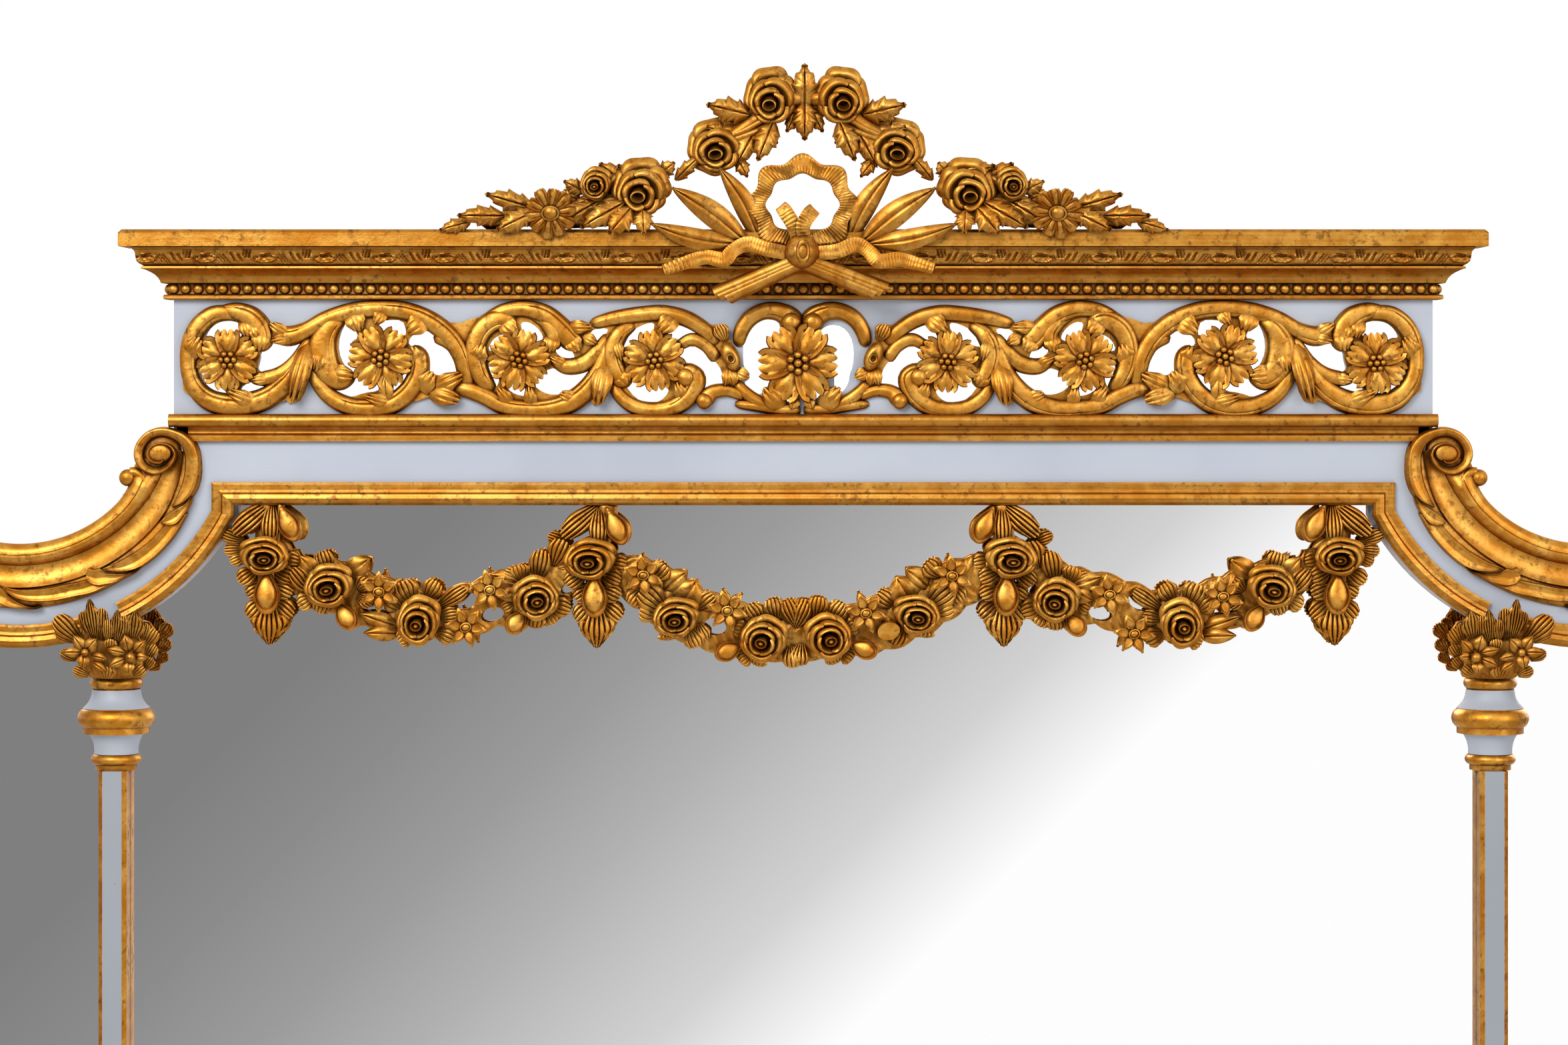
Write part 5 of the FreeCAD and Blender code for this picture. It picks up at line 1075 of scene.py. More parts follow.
# Toothed leaves of the left half: foot, tip, width in pixels and depth.
CREST_LEAVES = (
    ((706, 332), (660, 346), 26, -0.024), ((756, 324), (688, 324), 34, -0.027),
    ((800, 312), (730, 292), 36, -0.022), ((800, 318), (746, 346), 36, -0.030),
    ((878, 288), (846, 272), 28, -0.020), ((936, 304), (872, 342), 38, -0.030),
    ((946, 312), (914, 351), 44, -0.032), ((964, 316), (966, 351), 34, -0.033),
    ((1013, 270), (1051, 234), 24, -0.018), ((1106, 236), (1121, 266), 26, -0.018),
    ((1160, 182), (1137, 241), 40, -0.022), ((1124, 172), (1061, 158), 42, -0.020),
    ((985, 266), (926, 250), 36, -0.016), ((1096, 204), (1060, 190), 30, -0.016),
    ((870, 300), (838, 290), 30, -0.018), ((1150, 196), (1166, 216), 26, -0.018),
    ((1136, 190), (1106, 246), 40, -0.016), ((1112, 190), (1076, 168), 40, -0.014),
    ((916, 290), (858, 312), 34, -0.016), ((900, 300), (842, 336), 34, -0.020),
    ((940, 280), (900, 246), 40, -0.014), ((990, 262), (1012, 244), 30, -0.014))
# Long leaves of the left half: foot, tip, width of the blade against its length, bow and depth.
CREST_BLADES = (((1140, 362), (1079, 252), 0.27, 0.05, -0.024),
                ((1118, 362), (1008, 282), 0.28, 0.03, -0.030),
                ((1106, 366), (976, 336), 0.24, -0.05, -0.031))
# Bodies that the leaves are cut from: the run of each, and its radius in mm.
CREST_BODIES = ((((985, 300), (930, 300), (880, 308), (826, 322), (770, 328), (720, 334)), 8.0),
                (((960, 318), (915, 326), (870, 330), (826, 332)), 7.0),
                (((900, 276), (940, 270), (975, 276)), 8.0),
                (((1085, 218), (1112, 196), (1145, 172), (1164, 150), (1207, 148)), 8.0))
CREST_STEMS = (((1098, 204), (1124, 192), (1152, 176)), ((1092, 212), (1128, 200), (1160, 186)),
               ((868, 306), (900, 302), (936, 297)),
               ((870, 312), (905, 310), (940, 304)), ((930, 262), (890, 290), (840, 318), (760, 330)))
DAISY_PLACE = (826, 318)
CREST_BUD = (895, 274)
RING_PLACE = (1204, 307)
RING_WAVES = 8
TAIL_LEFT = ((1180, 380), (1150, 374), (1122, 366), (1100, 376), (1086, 390), (1060, 386), (1036, 392),
             (994, 406))
TAIL_RIGHT = ((1226, 380), (1256, 377), (1284, 367), (1304, 378), (1318, 392), (1346, 389), (1368, 394),
              (1402, 404))
TAIL_WIDTHS = (8.5, 9.0, 9.5, 8.5, 9.5, 9.0, 8.5, 5.0)
STRAP_LEFT = ((1203, 390), (1074, 447))
STRAP_RIGHT = ((1203, 390), (1328, 440))
KNOT_PLACE = (1203, 378)
RING_END_LEFT = ((1196, 356), (1190, 338), (1178, 318), (1172, 310))
RING_END_RIGHT = ((1206, 356), (1205, 338), (1214, 322), (1221, 314))
# The ring's half width, half height and band, in mm.
RING_HALF_WIDE = 33
RING_HALF_HIGH = 28.5
RING_BAND = 13.5
# The small closed rose in the spray, as a share of a garland rose.
BUD_SHARE = 0.62
# The half size of an open rose, in pixels, and where the leaves of the wreath begin.
OPEN_ROSE_HALF = 44
WREATH_ACROSS = 1000


def make_sprays(kit, sign):
    """The roses, leaves and blades of one half of the crest."""
    def side(place):
        return place if sign > 0 else other_side(place)
    wreath, spray = [], []
    for across, down, half_wide, half_high, roll, depth in CREST_ROSES:
        group = wreath if down < WREATH_DOWN else spray
        size = Matrix.Diagonal((half_wide / OPEN_ROSE_HALF, half_high / OPEN_ROSE_HALF, 1.0, 1))
        rose = copied(kit.open, size @ Matrix.Rotation(math.radians(roll), 4, "Z"))
        group.append(put(rose, side((across, down)), depth, flip=sign))
        drop(rose)
    for foot, tip, width, depth in CREST_LEAVES:
        group = wreath if foot[0] > WREATH_ACROSS else spray
        group.append(kit.lay("toothed", side(foot), side(tip), depth, width, 10))
    for foot, tip, width, bow, depth in CREST_BLADES:
        blade = lance_leaf(60.0, 60.0 * width, bow * sign, 0.06)
        wreath.append(laid(blade, side(foot), side(tip), depth, 60.0, 1.0, 4))
        drop(blade)
    for points in CREST_STEMS:
        group = wreath if points[0][0] > WREATH_ACROSS else spray
        group.append(front_stalk([side(point) for point in points], CREST_Y, 3.0))
    for points, radius in CREST_BODIES:
        group = wreath if points[0][0] > WREATH_ACROSS else spray
        group.append(front_stalk([side(point) for point in points], CREST_BODY_Y, radius, 0.8))
    flower = daisy(19.0)
    spray.append(put(flower, side(DAISY_PLACE), DAISY_Y, 1.0, 8, 12, sign))
    drop(flower)
    spray.append(put(kit.rose, side(CREST_BUD), CREST_BUD_Y, BUD_SHARE, flip=sign))
    return wreath, spray


# Leaves between the upper roses: foot, tip, width in pixels and depth behind the plane of the crest.
PALMETTE_LEAVES = (((1200, 168), (1172, 122), 36, 0.008), ((1214, 168), (1242, 122), 36, 0.008),
                   ((1202, 158), (1180, 198), 30, 0.008), ((1212, 158), (1234, 198), 30, 0.008),
                   ((1207, 166), (1207, 98), 48, 0.006), ((1207, 150), (1207, 210), 42, 0.005))


def make_ring():
    """The wavy pleated ring of ribbon, and its two ends."""
    depth = RIBBON_Y + 0.002
    (middle_x, middle_y, _), = drawn((RING_PLACE,), depth)

    def form(u, v):
        turn = 2 * np.pi * v - np.pi / 2
        wave = np.cos(RING_WAVES * (turn + np.pi / 2))
        reach = ((4.2 + 1.8 * u) * wave + RING_BAND * u) / 2
        fold = 1.4 * np.sin(RING_WAVES * (turn + np.pi / 2) - 0.9 * u)
        pleat = 0.32 * np.cos(88 * turn) * (0.35 + 0.65 * np.abs(u))
        lift = fold + pleat + 0.8 * np.abs(u) ** 2 - 1.2 * np.abs(u) ** 10
        x = middle_x + (RING_HALF_WIDE + reach) * np.cos(turn)
        return x, middle_y + (RING_HALF_HIGH + reach) * np.sin(turn), lift - depth / MM
    ring = smooth(thicken(carve_sheet(10, 440, form), 4.0), 60)
    ring.data.transform(TO_FRONT)
    parts = [ring]
    parts.append(ribbon_strip(RING_END_LEFT, RIBBON_Y - 0.003, (8.0, 9.5, 10.0, 8.0), 0.6, 2.0, 12, 0.28))
    parts.append(ribbon_strip(RING_END_RIGHT, RIBBON_Y - 0.005, (8.0, 9.5, 10.5, 9.0), 0.7, 2.4, 12, 0.28))
    return parts


def strap(points, depth):
    """A straight fluted strap that widens from the knot and ends in a slanted point."""
    knots = np.array(drawn((points[0], points[-1]), depth))
    way = knots[1, :2] - knots[0, :2]
    long = np.linalg.norm(way)
    way = way / long

    def form(u, v):
        slant = 0.10 * np.clip(-u * np.sign(way[0]) + 0.3, 0, 2) * np.clip((v - 0.8) / 0.2, 0, 1)
        along = v * long * (1 - slant)
        across = (3.6 + 1.2 * v) * u
        lift = 3.0 + 1.8 * np.abs(np.cos(1.5 * np.pi * u)) - 5.0 * np.abs(u) ** 14
        x = knots[0, 0] + way[0] * along - way[1] * across
        return x, knots[0, 1] + way[1] * along + way[0] * across, lift - depth / MM
    piece = smooth(thicken(carve_sheet(22, 24, form), 4.0), 50)
    piece.data.transform(TO_FRONT)
    return piece


def make_ribbon():
    parts = make_ring()
    for points in (TAIL_LEFT, TAIL_RIGHT):
        parts.append(ribbon_strip(points, RIBBON_Y - 0.002, TAIL_WIDTHS, 2.2, 1.6, 46, 0.3, 3.0))
    for points in (STRAP_LEFT, STRAP_RIGHT):
        parts.append(strap(points, RIBBON_Y + 0.002))
    ball = carve_ball(28, 18, lambda x, y, z: (12.8 * x, 12.8 * y, 10.0 * z))
    eye = turned_cup(((0.98, 0.0), (1.0, 0.25), (0.85, 0.38), (0.62, 0.36), (0.5, 0.16), (0.0, 0.10)), 8.0,
                     24)
    upright = Matrix.Rotation(math.pi / 2, 4, "Z") @ Matrix.Diagonal((1.15, 0.8, 1, 1))
    eye.data.transform(Matrix.Translation((0.8 * MM, 0, 7.6 * MM)) @ upright)
    knot = smooth(join("knot", [ball, eye]), 50)
    parts.append(put(knot, KNOT_PLACE, RIBBON_Y - 0.004))
    drop(knot)
    return join("crest_ribbon_carved", parts)


def make_crest(kit):
    wreath = []
    for sign, side in ((1, "left"), (-1, "right")):
        group, spray = make_sprays(kit, sign)
        wreath += group
        name = "crest_spray_" + side
        finish_piece(join(f"{name}_carved", spray), "gilding", GILT_CARVING, name)
    for foot, tip, width, back in PALMETTE_LEAVES:
        wreath.append(kit.lay("toothed", foot, tip, CREST_Y + back, width, 8))
    finish_piece(join("crest_wreath_carved", wreath), "gilding", GILT_CARVING, "crest_wreath")
    finish_piece(make_ribbon(), "gilding", GILT_CARVING, "crest_ribbon")


make_crest(KIT)

# Frieze: a running scroll of acanthus about nine flowers

def carved_band(points, widths, base, height, groove):
    """A full, rounded band along places of the photograph, on the plane Y = base, with widths in mm."""
    knots = np.array(drawn(points, base))
    run = np.concatenate([[0.0], np.cumsum(np.linalg.norm(np.diff(knots[:, :2], axis=0), axis=1))])
    run /= run[-1]

    def form(u, v):
        middle, ahead = run_and_way(run, knots, v, 0.006)
        ends = np.sqrt(np.clip(1 - np.abs(2 * v - 1) ** 14, 0, 1))
        wide = np.interp(v, run, widths) / 2 * (0.3 + 0.7 * ends)
        x = middle[:, 0] - ahead[:, 1] * wide * u
        y = middle[:, 1] + ahead[:, 0] * wide * u
        full = np.clip(1 - np.abs(u) ** 9, 0, 1) ** 0.4 * (0.80 + 0.20 * (1 - u ** 2))
        tall = np.minimum(height, 0.95 * wide + 1.2) * (0.45 + 0.55 * ends)
        lift = tall * full - groove * np.exp(-((u - 0.5) / 0.10) ** 2)
        return x, y, lift - base / MM
    piece = smooth(thicken(carve_sheet(16, 7 * (len(points) - 1), form), 1.6), 60)
    piece.data.transform(TO_FRONT)
    return piece


FRIEZE_MIDDLE = 1203
# Details of the photograph, enlarged: the corner of each and its scale.
SHEET_ENDS = (270.0, 455.0, 3.647)
SHEET_INNER = (690.9, 455.9, 3.744)
SHEET_MIDDLE = (1060.0, 450.0, 5.058)
# Bands of the left half: the detail, the run, and the width at each place, all as measured on the detail.
FRIEZE_BANDS = (
    (SHEET_ENDS, ((345, 95), (275, 58), (190, 62), (112, 120), (62, 215), (48, 320), (72, 430), (140, 515),
                  (250, 556), (370, 552),
                  (480, 515), (580, 435), (650, 335), (700, 235), (722, 190)),
     (24, 56, 70, 78, 74, 66, 70, 84, 96, 98, 92, 78, 62, 50, 36)),
    (SHEET_ENDS, ((215, 40), (310, 45), (390, 80), (440, 140), (455, 200), (430, 250)),
     (30, 70, 95, 100, 90, 50)),
    (SHEET_ENDS, ((395, 418), (470, 412), (560, 385), (625, 330), (680, 250), (712, 190)),
     (30, 58, 62, 54, 44, 30)),
    (SHEET_ENDS, ((500, 160), (600, 180), (690, 150), (800, 90), (930, 48), (1100, 32), (1250, 48),
                  (1390, 110), (1490, 200), (1545, 300),
                  (1565, 400), (1590, 470)),
     (86, 84, 64, 66, 70, 70, 74, 78, 80, 72, 64, 50)),
    (SHEET_ENDS, ((905, 75), (830, 130), (785, 215), (785, 300), (815, 370), (880, 415), (950, 400)),
     (30, 80, 125, 135, 125, 95, 40)),
    (SHEET_ENDS, ((725, 320), (745, 410), (810, 500), (920, 560), (1050, 575), (1170, 545), (1260, 470),
                  (1305, 380), (1305, 290),
                  (1275, 245)),
     (36, 54, 62, 72, 86, 84, 84, 86, 84, 60)),
    (SHEET_ENDS, ((1400, 180), (1470, 210), (1530, 280), (1560, 380)), (50, 56, 50, 40)),
    (SHEET_INNER, ((310, 110), (215, 90), (130, 140), (85, 240), (95, 350), (140, 440), (185, 490)),
     (60, 90, 95, 92, 88, 70, 40)),
    (SHEET_INNER, ((130, 95), (240, 45), (370, 30), (480, 65), (565, 140), (625, 205), (665, 240)),
     (40, 62, 70, 84, 96, 100, 70)),
    (SHEET_INNER, ((400, 60), (490, 110), (530, 175), (510, 245)), (30, 70, 80, 60)),
    (SHEET_INNER, ((-60, 470), (30, 480), (130, 515), (240, 570), (370, 590), (500, 588), (620, 550),
                   (715, 475), (775, 380), (815, 265),
                   (850, 165)),
     (50, 66, 70, 72, 74, 84, 90, 86, 70, 56, 44)),
    (SHEET_INNER, ((515, 310), (590, 350), (690, 335), (770, 265), (830, 180)), (36, 62, 70, 56, 34)),
    (SHEET_INNER, ((735, 115), (850, 85), (1000, 62), (1150, 55), (1270, 85), (1375, 150), (1445, 225)),
     (44, 56, 64, 66, 64, 58, 50)),
    (SHEET_INNER, ((975, 115), (895, 170), (855, 260), (865, 350), (900, 415), (955, 430)),
     (30, 70, 84, 88, 90, 60)),
    (SHEET_INNER, ((850, 430), (890, 510), (985, 580), (1110, 598), (1225, 565), (1300, 490), (1318, 415),
                   (1270, 385), (1225, 415)),
     (36, 50, 60, 66, 74, 84, 86, 80, 50)),
    (SHEET_INNER, ((1225, 235), (1300, 200), (1380, 235), (1440, 310)), (36, 46, 46, 50)),
    (SHEET_INNER, ((1590, 520), (1490, 485), (1410, 500), (1368, 545)), (30, 44, 56, 76)),
    (SHEET_MIDDLE, ((665, 225), (640, 150), (560, 95), (440, 85), (330, 140), (262, 240), (240, 340)),
     (90, 140, 104, 88, 86, 78, 60)),
    (SHEET_MIDDLE, ((225, 790), (400, 808), (560, 832), (700, 836)), (30, 52, 60, 62)),
    (SHEET_MIDDLE, ((220, 620), (290, 700), (400, 775), (540, 822)), (40, 58, 62, 50)),
)
# Leaves of the left half: the detail, kind, foot, tip and width, as measured on the detail.
FRIEZE_LEAVES = (
    (SHEET_ENDS, "lobe", (345, 95), (375, 190), 62), (SHEET_ENDS, "lobe", (385, 110), (425, 200), 60),
    (SHEET_ENDS, "lobe", (445, 150), (435, 262), 80), (SHEET_ENDS, "lobe", (702, 225), (618, 552), 90),
    (SHEET_ENDS, "lobe", (42, 300), (108, 185), 80), (SHEET_ENDS, "lobe", (420, 548), (268, 482), 70),
    (SHEET_ENDS, "lobe", (590, 180), (494, 108), 60), (SHEET_ENDS, "lobe", (600, 185), (500, 205), 55),
    (SHEET_ENDS, "lobe", (780, 260), (745, 375), 70), (SHEET_ENDS, "lobe", (830, 380), (955, 395), 80),
    (SHEET_ENDS, "lobe", (940, 50), (985, 155), 90), (SHEET_ENDS, "lobe", (1120, 40), (1060, 118), 60),
    (SHEET_ENDS, "lobe", (1345, 85), (1238, 158), 95), (SHEET_ENDS, "lobe", (1318, 480), (1386, 372), 85),
    (SHEET_ENDS, "lobe", (1385, 472), (1548, 388), 84), (SHEET_ENDS, "lobe", (1370, 482), (1532, 532), 90),
    (SHEET_ENDS, "smooth", (1130, 560), (1122, 400), 66), (SHEET_ENDS, "lobe", (1160, 552), (1010, 505), 60),
    (SHEET_ENDS, "lobe", (1300, 330), (1268, 238), 80), (SHEET_ENDS, "lobe", (480, 412), (392, 420), 52),
    (SHEET_INNER, "lobe", (230, 95), (318, 175), 84), (SHEET_INNER, "lobe", (85, 335), (122, 225), 84),
    (SHEET_INNER, "lobe", (520, 180), (500, 270), 74), (SHEET_INNER, "lobe", (610, 130), (735, 128), 62),
    (SHEET_INNER, "lobe", (690, 180), (765, 220), 56), (SHEET_INNER, "lobe", (610, 190), (668, 265), 80),
    (SHEET_INNER, "lobe", (814, 330), (770, 575), 96), (SHEET_INNER, "lobe", (400, 580), (382, 462), 60),
    (SHEET_INNER, "lobe", (280, 565), (210, 465), 60), (SHEET_INNER, "lobe", (650, 540), (556, 500), 60),
    (SHEET_INNER, "lobe", (890, 380), (938, 448), 90), (SHEET_INNER, "lobe", (1210, 70), (1105, 160), 90),
    (SHEET_INNER, "lobe", (1250, 540), (1215, 440), 60), (SHEET_INNER, "fan", (1488, 205), (1446, 115), 78),
    (SHEET_INNER, "lobe", (1505, 365), (1486, 458), 50), (SHEET_INNER, "lobe", (1510, 365), (1535, 455), 50),
    (SHEET_INNER, "lobe", (590, 345), (505, 300), 50), (SHEET_INNER, "lobe", (870, 200), (905, 320), 50),
    (SHEET_MIDDLE, "lobe", (575, 815), (432, 662), 125), (SHEET_MIDDLE, "lobe", (190, 545), (150, 632), 66),
    (SHEET_MIDDLE, "lobe", (200, 545), (212, 642), 66), (SHEET_MIDDLE, "lobe", (215, 540), (328, 588), 80),
    (SHEET_MIDDLE, "smooth", (690, 735), (640, 832), 66), (SHEET_MIDDLE, "lobe", (640, 170), (625, 245),
                                                           110),
)
FRIEZE_FLOWERS = ((343, 540, 20.5), (572, 537, 21.5), (779, 540, 20.5), (982, 541, 20.5), (1197, 545, 26.5),
                  (1421, 543, 20.5),
                  (1627, 541, 20.5), (1836, 535, 21.5), (2063, 545, 20.5))
# Oval buds with an eye, and the balls that end the curls, on their details: place, width, height and roll.
FRIEZE_EYES = ((SHEET_MIDDLE, (182, 428), 130, 232, 24),)
FRIEZE_BALLS = ((SHEET_INNER, (1368, 545), 46), (SHEET_INNER, (1262, 412), 56),
                (SHEET_MIDDLE, (640, 170), 82))
FRIEZE_TOP_Y = 0.001
# Openings through the frieze on their details.
END_OPENINGS = (
    ((135, 190), (150, 150), (200, 105), (260, 90), (310, 95), (340, 140), (345, 175), (310, 200),
     (270, 215), (210, 200)),
    ((500, 200), (560, 215), (640, 225), (680, 215), (650, 280), (600, 340), (530, 370), (460, 380),
     (420, 360), (440, 300), (440, 270), (480, 230)),
    ((100, 345), (150, 370), (190, 400), (220, 450), (255, 480), (262, 540), (200, 510), (150, 460),
     (115, 400)),
    ((325, 465), (380, 430), (430, 440), (500, 450), (590, 420), (560, 460), (500, 490), (400, 497),
     (350, 490)),
    ((935, 85), (960, 140), (980, 190), (935, 215), (950, 260), (970, 300), (965, 370), (930, 380),
     (890, 330), (865, 260), (870, 180), (900, 110)),
    ((1080, 105), (1130, 92), (1220, 92), (1240, 150), (1235, 180), (1150, 178), (1100, 140)),
    ((1255, 190), (1310, 150), (1395, 155), (1405, 200), (1470, 240), (1520, 310), (1550, 380), (1480, 385),
     (1420, 400), (1360, 370), (1330, 290),
     (1290, 240), (1250, 230)),
    ((805, 430), (880, 450), (920, 440), (980, 400), (1020, 390), (1080, 415), (1105, 450), (1090, 480),
     (1010, 490), (940, 515), (880, 500)),
    ((1165, 480), (1170, 430), (1210, 400), (1255, 370), (1260, 420), (1240, 470), (1180, 510)))
INNER_OPENINGS = (
    ((150, 260), (180, 200), (230, 170), (280, 175), (285, 205), (250, 240), (200, 270)),
    ((335, 105), (380, 100), (430, 130), (465, 180), (460, 205), (400, 215), (370, 210), (345, 150)),
    ((530, 260), (570, 225), (620, 250), (640, 290), (645, 320), (600, 315), (550, 290)),
    ((715, 180), (750, 140), (800, 135), (835, 145), (800, 190), (765, 210), (740, 190)),
    ((165, 330), (210, 350), (220, 400), (215, 450), (185, 485), (160, 430), (155, 370)),
    ((265, 450), (310, 435), (355, 445), (370, 520), (310, 510), (265, 480)),
    ((415, 460), (440, 410), (500, 360), (570, 370), (650, 380), (730, 350), (745, 350), (700, 420),
     (640, 470), (560, 510), (500, 510), (450, 490)),
    ((890, 250), (910, 210), (960, 150), (1040, 110), (1090, 105), (1085, 150), (1030, 200), (970, 230)),
    ((1150, 200), (1180, 140), (1240, 115), (1310, 140), (1360, 190), (1330, 195), (1250, 190), (1200, 205)),
    ((1230, 260), (1300, 235), (1370, 260), (1430, 320), (1470, 380), (1475, 460), (1410, 470), (1360, 470),
     (1330, 420), (1260, 370), (1225, 340)),
    ((920, 450), (980, 410), (1040, 430), (1100, 460), (1165, 455), (1170, 500), (1120, 550), (1050, 555),
     (980, 530)))
MIDDLE_OPENINGS = (
    ((285, 290), (310, 240), (370, 180), (440, 155), (520, 155), (550, 200), (545, 280), (480, 360),
     (400, 420), (450, 500), (470, 560), (470, 640),
     (420, 660), (415, 710), (350, 680), (280, 620), (340, 580), (290, 510), (285, 400)),
    ((850, 270), (890, 220), (950, 195), (1030, 210), (1090, 280), (1110, 380), (1100, 500), (1080, 550),
     (1075, 620), (1030, 690), (980, 720),
     (970, 640), (970, 560), (960, 480), (975, 380), (910, 340)),
    ((520, 675), (590, 670), (640, 690), (675, 700), (670, 740), (620, 765), (570, 740)),
    ((755, 690), (820, 670), (890, 660), (850, 720), (780, 770), (745, 740)))
# Outline of the gilt ground of the left half, on two more details.
GROUND_ENDS = (270.0, 445.0, 3.0)
GROUND_INNER = (690.0, 445.0, 3.0)
GROUND_OUTLINE = (
    (GROUND_ENDS, ((16, 422), (12, 330), (20, 250), (42, 160), (92, 92), (160, 55), (250, 50), (320, 77),
                   (370, 117), (400, 128), (450, 125), (505, 143),
                   (560, 147), (620, 113), (700, 73), (790, 48), (900, 41), (1010, 51), (1110, 78),
                   (1190, 113), (1260, 120))),
    (GROUND_INNER, ((60, 98), (110, 88), (160, 58), (240, 43), (330, 48), (410, 78), (470, 118), (520, 128),
                    (590, 123), (660, 93), (760, 73), (900, 60),
                    (1000, 73), (1080, 113), (1140, 128), (1195, 125), (1215, 195), (1262, 280), (1230, 380),
                    (1240, 400), (1180, 440), (1135, 470),
                    (1100, 493), (1066, 470), (1040, 483), (980, 515), (910, 525), (840, 515), (760, 482),
                    (700, 432), (668, 370), (655, 445),
                    (640, 482), (600, 488), (583, 460), (540, 470), (460, 492), (380, 515), (290, 520),
                    (210, 505), (130, 470), (60, 447), (4, 452))),
    (GROUND_ENDS, ((1250, 478), (1180, 473), (1120, 452), (1040, 480), (960, 510), (860, 517), (770, 500),
                   (690, 452), (630, 402), (600, 352),
                   (585, 362), (562, 430), (540, 470), (490, 480), (480, 466), (420, 490), (330, 510),
                   (220, 512), (130, 495), (60, 457))))


def from_detail(sheet, place, sign):
    across = sheet[0] + place[0] / sheet[2]
    down = sheet[1] + place[1] / sheet[2]
    return (across if sign > 0 else 2 * FRIEZE_MIDDLE - across), down


def eye_bud(width, height):
    """An oval bud with a sunk eye low on its face."""
    def form(x, y, z):
        dent = np.exp(-((x + 0.1) / 0.30) ** 2 - ((y + 0.15) / 0.28) ** 2) * np.clip(z, 0, 1)
        return width / 2 * x, height / 2 * y, 0.42 * width * z - 0.30 * width * dent
    ball = carve_ball(28, 20, form)
    rim = turned_cup(((0.84, 0.0), (1.0, 0.3), (0.88, 0.5), (0.66, 0.32)), width * 0.24, 20)
    place = Matrix.Translation((-0.05 * width * MM, -0.07 * height * MM, 0.33 * width * MM))
    rim.data.transform(place @ Matrix.Diagonal((1.1, 1.6, 0.7, 1)))
    return smooth(join("eye_bud", [ball, rim]), 60)


def frieze_cutters(grow):
    """Cutters of all the openings, their outlines rounded and pushed out by grow pixels."""
    cutters = []
    for sheet, openings, signs in ((SHEET_ENDS, END_OPENINGS, (1, -1)),
                                   (SHEET_INNER, INNER_OPENINGS, (1, -1)),
                                   (SHEET_MIDDLE, MIDDLE_OPENINGS, (1,))):
        for outline in openings:
            for sign in signs:
                run = np.array([from_detail(sheet, point, sign) for point in rounded(outline)])
                away = run - run.mean(axis=0)
                run = run + away / (np.linalg.norm(away, axis=1, keepdims=True) + 1e-9) * grow
                cutters.append(carved_outline(run.tolist(), BOARD_Y, CUTTER))
    return cutters


def make_panel():
    """The painted board of the frieze, pierced behind the carving."""
    low, high = (np.array(corner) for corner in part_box("frieze_panel"))
    deselect()
    bpy.ops.mesh.primitive_cube_add(size=1)
    panel = bpy.context.object
    set_points(panel, low + (points_of(panel) + 0.5) * (high - low))
    panel = smooth(cut_through(panel, frieze_cutters(2.5)), 30)
    panel.name = "frieze_panel_pierced"
    finish_piece(panel, "blue_paint", BLUE, "frieze_panel")


def make_ground(sign):
    """The flat gilt ground that the scrolls of one half are carved on, pierced with them."""
    outline = [from_detail(sheet, point, sign) for sheet, points in GROUND_OUTLINE for point in points]
    ground = carved_outline(outline, BOARD_Y - 0.0015, 3.0)
    return smooth(cut_through(ground, frieze_cutters(0.0)), 30)


def make_frieze(kit):
    scrolls, leaves = [], []
    make_panel()
    for sign in (1, -1):
        scrolls.append(make_ground(sign))
        for sheet, points, widths in FRIEZE_BANDS:
            run = [from_detail(sheet, point, sign) for point in points]
            wide = [1.12 * width / sheet[2] / 2 for width in widths]
            scrolls.append(carved_band(run, wide, BOARD_Y, 6.5, 0.7))
        for sheet, kind, foot, tip, width in FRIEZE_LEAVES:
            first, last = (from_detail(sheet, place, sign) for place in (foot, tip))
            leaves.append(kit.lay(kind, first, last, FRIEZE_TOP_Y + 0.003, 1.25 * width / sheet[2], 4, 0.9))
        for sheet, centre, radius in FRIEZE_BALLS:
            size = radius / sheet[2] / 2
            ball = carve_ball(20, 12, lambda x, y, z: (size * x, size * y, 0.8 * size * z))
            scrolls.append(put(ball, from_detail(sheet, centre, sign), FRIEZE_TOP_Y + 0.004))
            drop(ball)
        for sheet, centre, width, height, roll in FRIEZE_EYES:
            bud = smooth(eye_bud(width / sheet[2] / 2, height / sheet[2] / 2), 60)
            scrolls.append(put(bud, from_detail(sheet, centre, sign), FRIEZE_TOP_Y + 0.001, roll=roll,
                               flip=sign))
            drop(bud)
    flower = frieze_flower(21.0)
    for number, (across, down, radius) in enumerate(FRIEZE_FLOWERS):
        scrolls.append(put(flower, (across, down), 0.008, radius / 21.0, 23 * number))
    drop(flower)
    finish_piece(join("frieze_scrolls_carved", scrolls), "gilding", GILDING, "frieze_scrolls")
    finish_piece(join("frieze_leaves_carved", leaves), "gilding", GILDING, "frieze_leaves")


make_frieze(KIT)

# C-scrolls on the shoulders

SCOOP_X = 587.5
SCOOP_Z = 1243.5
# Radius and height of the two rolls along the scoop, then of the cove and the strip below it.
ROLL_PROFILE = ((102.5, 0.0), (102.8, 4.2), (104.0, 7.4), (106.0, 9.3), (108.4, 10.3), (110.6, 10.4),
                (111.0, 9.5), (111.7, 9.5),
                (113.4, 9.8), (115.4, 9.0), (117.2, 7.2), (118.3, 5.2), (118.8, 2.0))
COVE_PROFILE = ((117.0, 2.0), (118.8, 3.4), (121.0, 3.0), (125.0, 3.0), (129.0, 3.8), (132.0, 5.0),
                (134.0, 6.4), (135.0, 7.0),
                (135.6, 6.2), (136.4, 5.0), (139.0, 5.4), (143.0, 6.0), (147.0, 5.6), (149.6, 4.2),
                (150.6, 2.6), (151.0, 0.0))
SCROLL_DETAIL = (0.0, 620.0, 4.0)
SCROLL_Y = 0.004
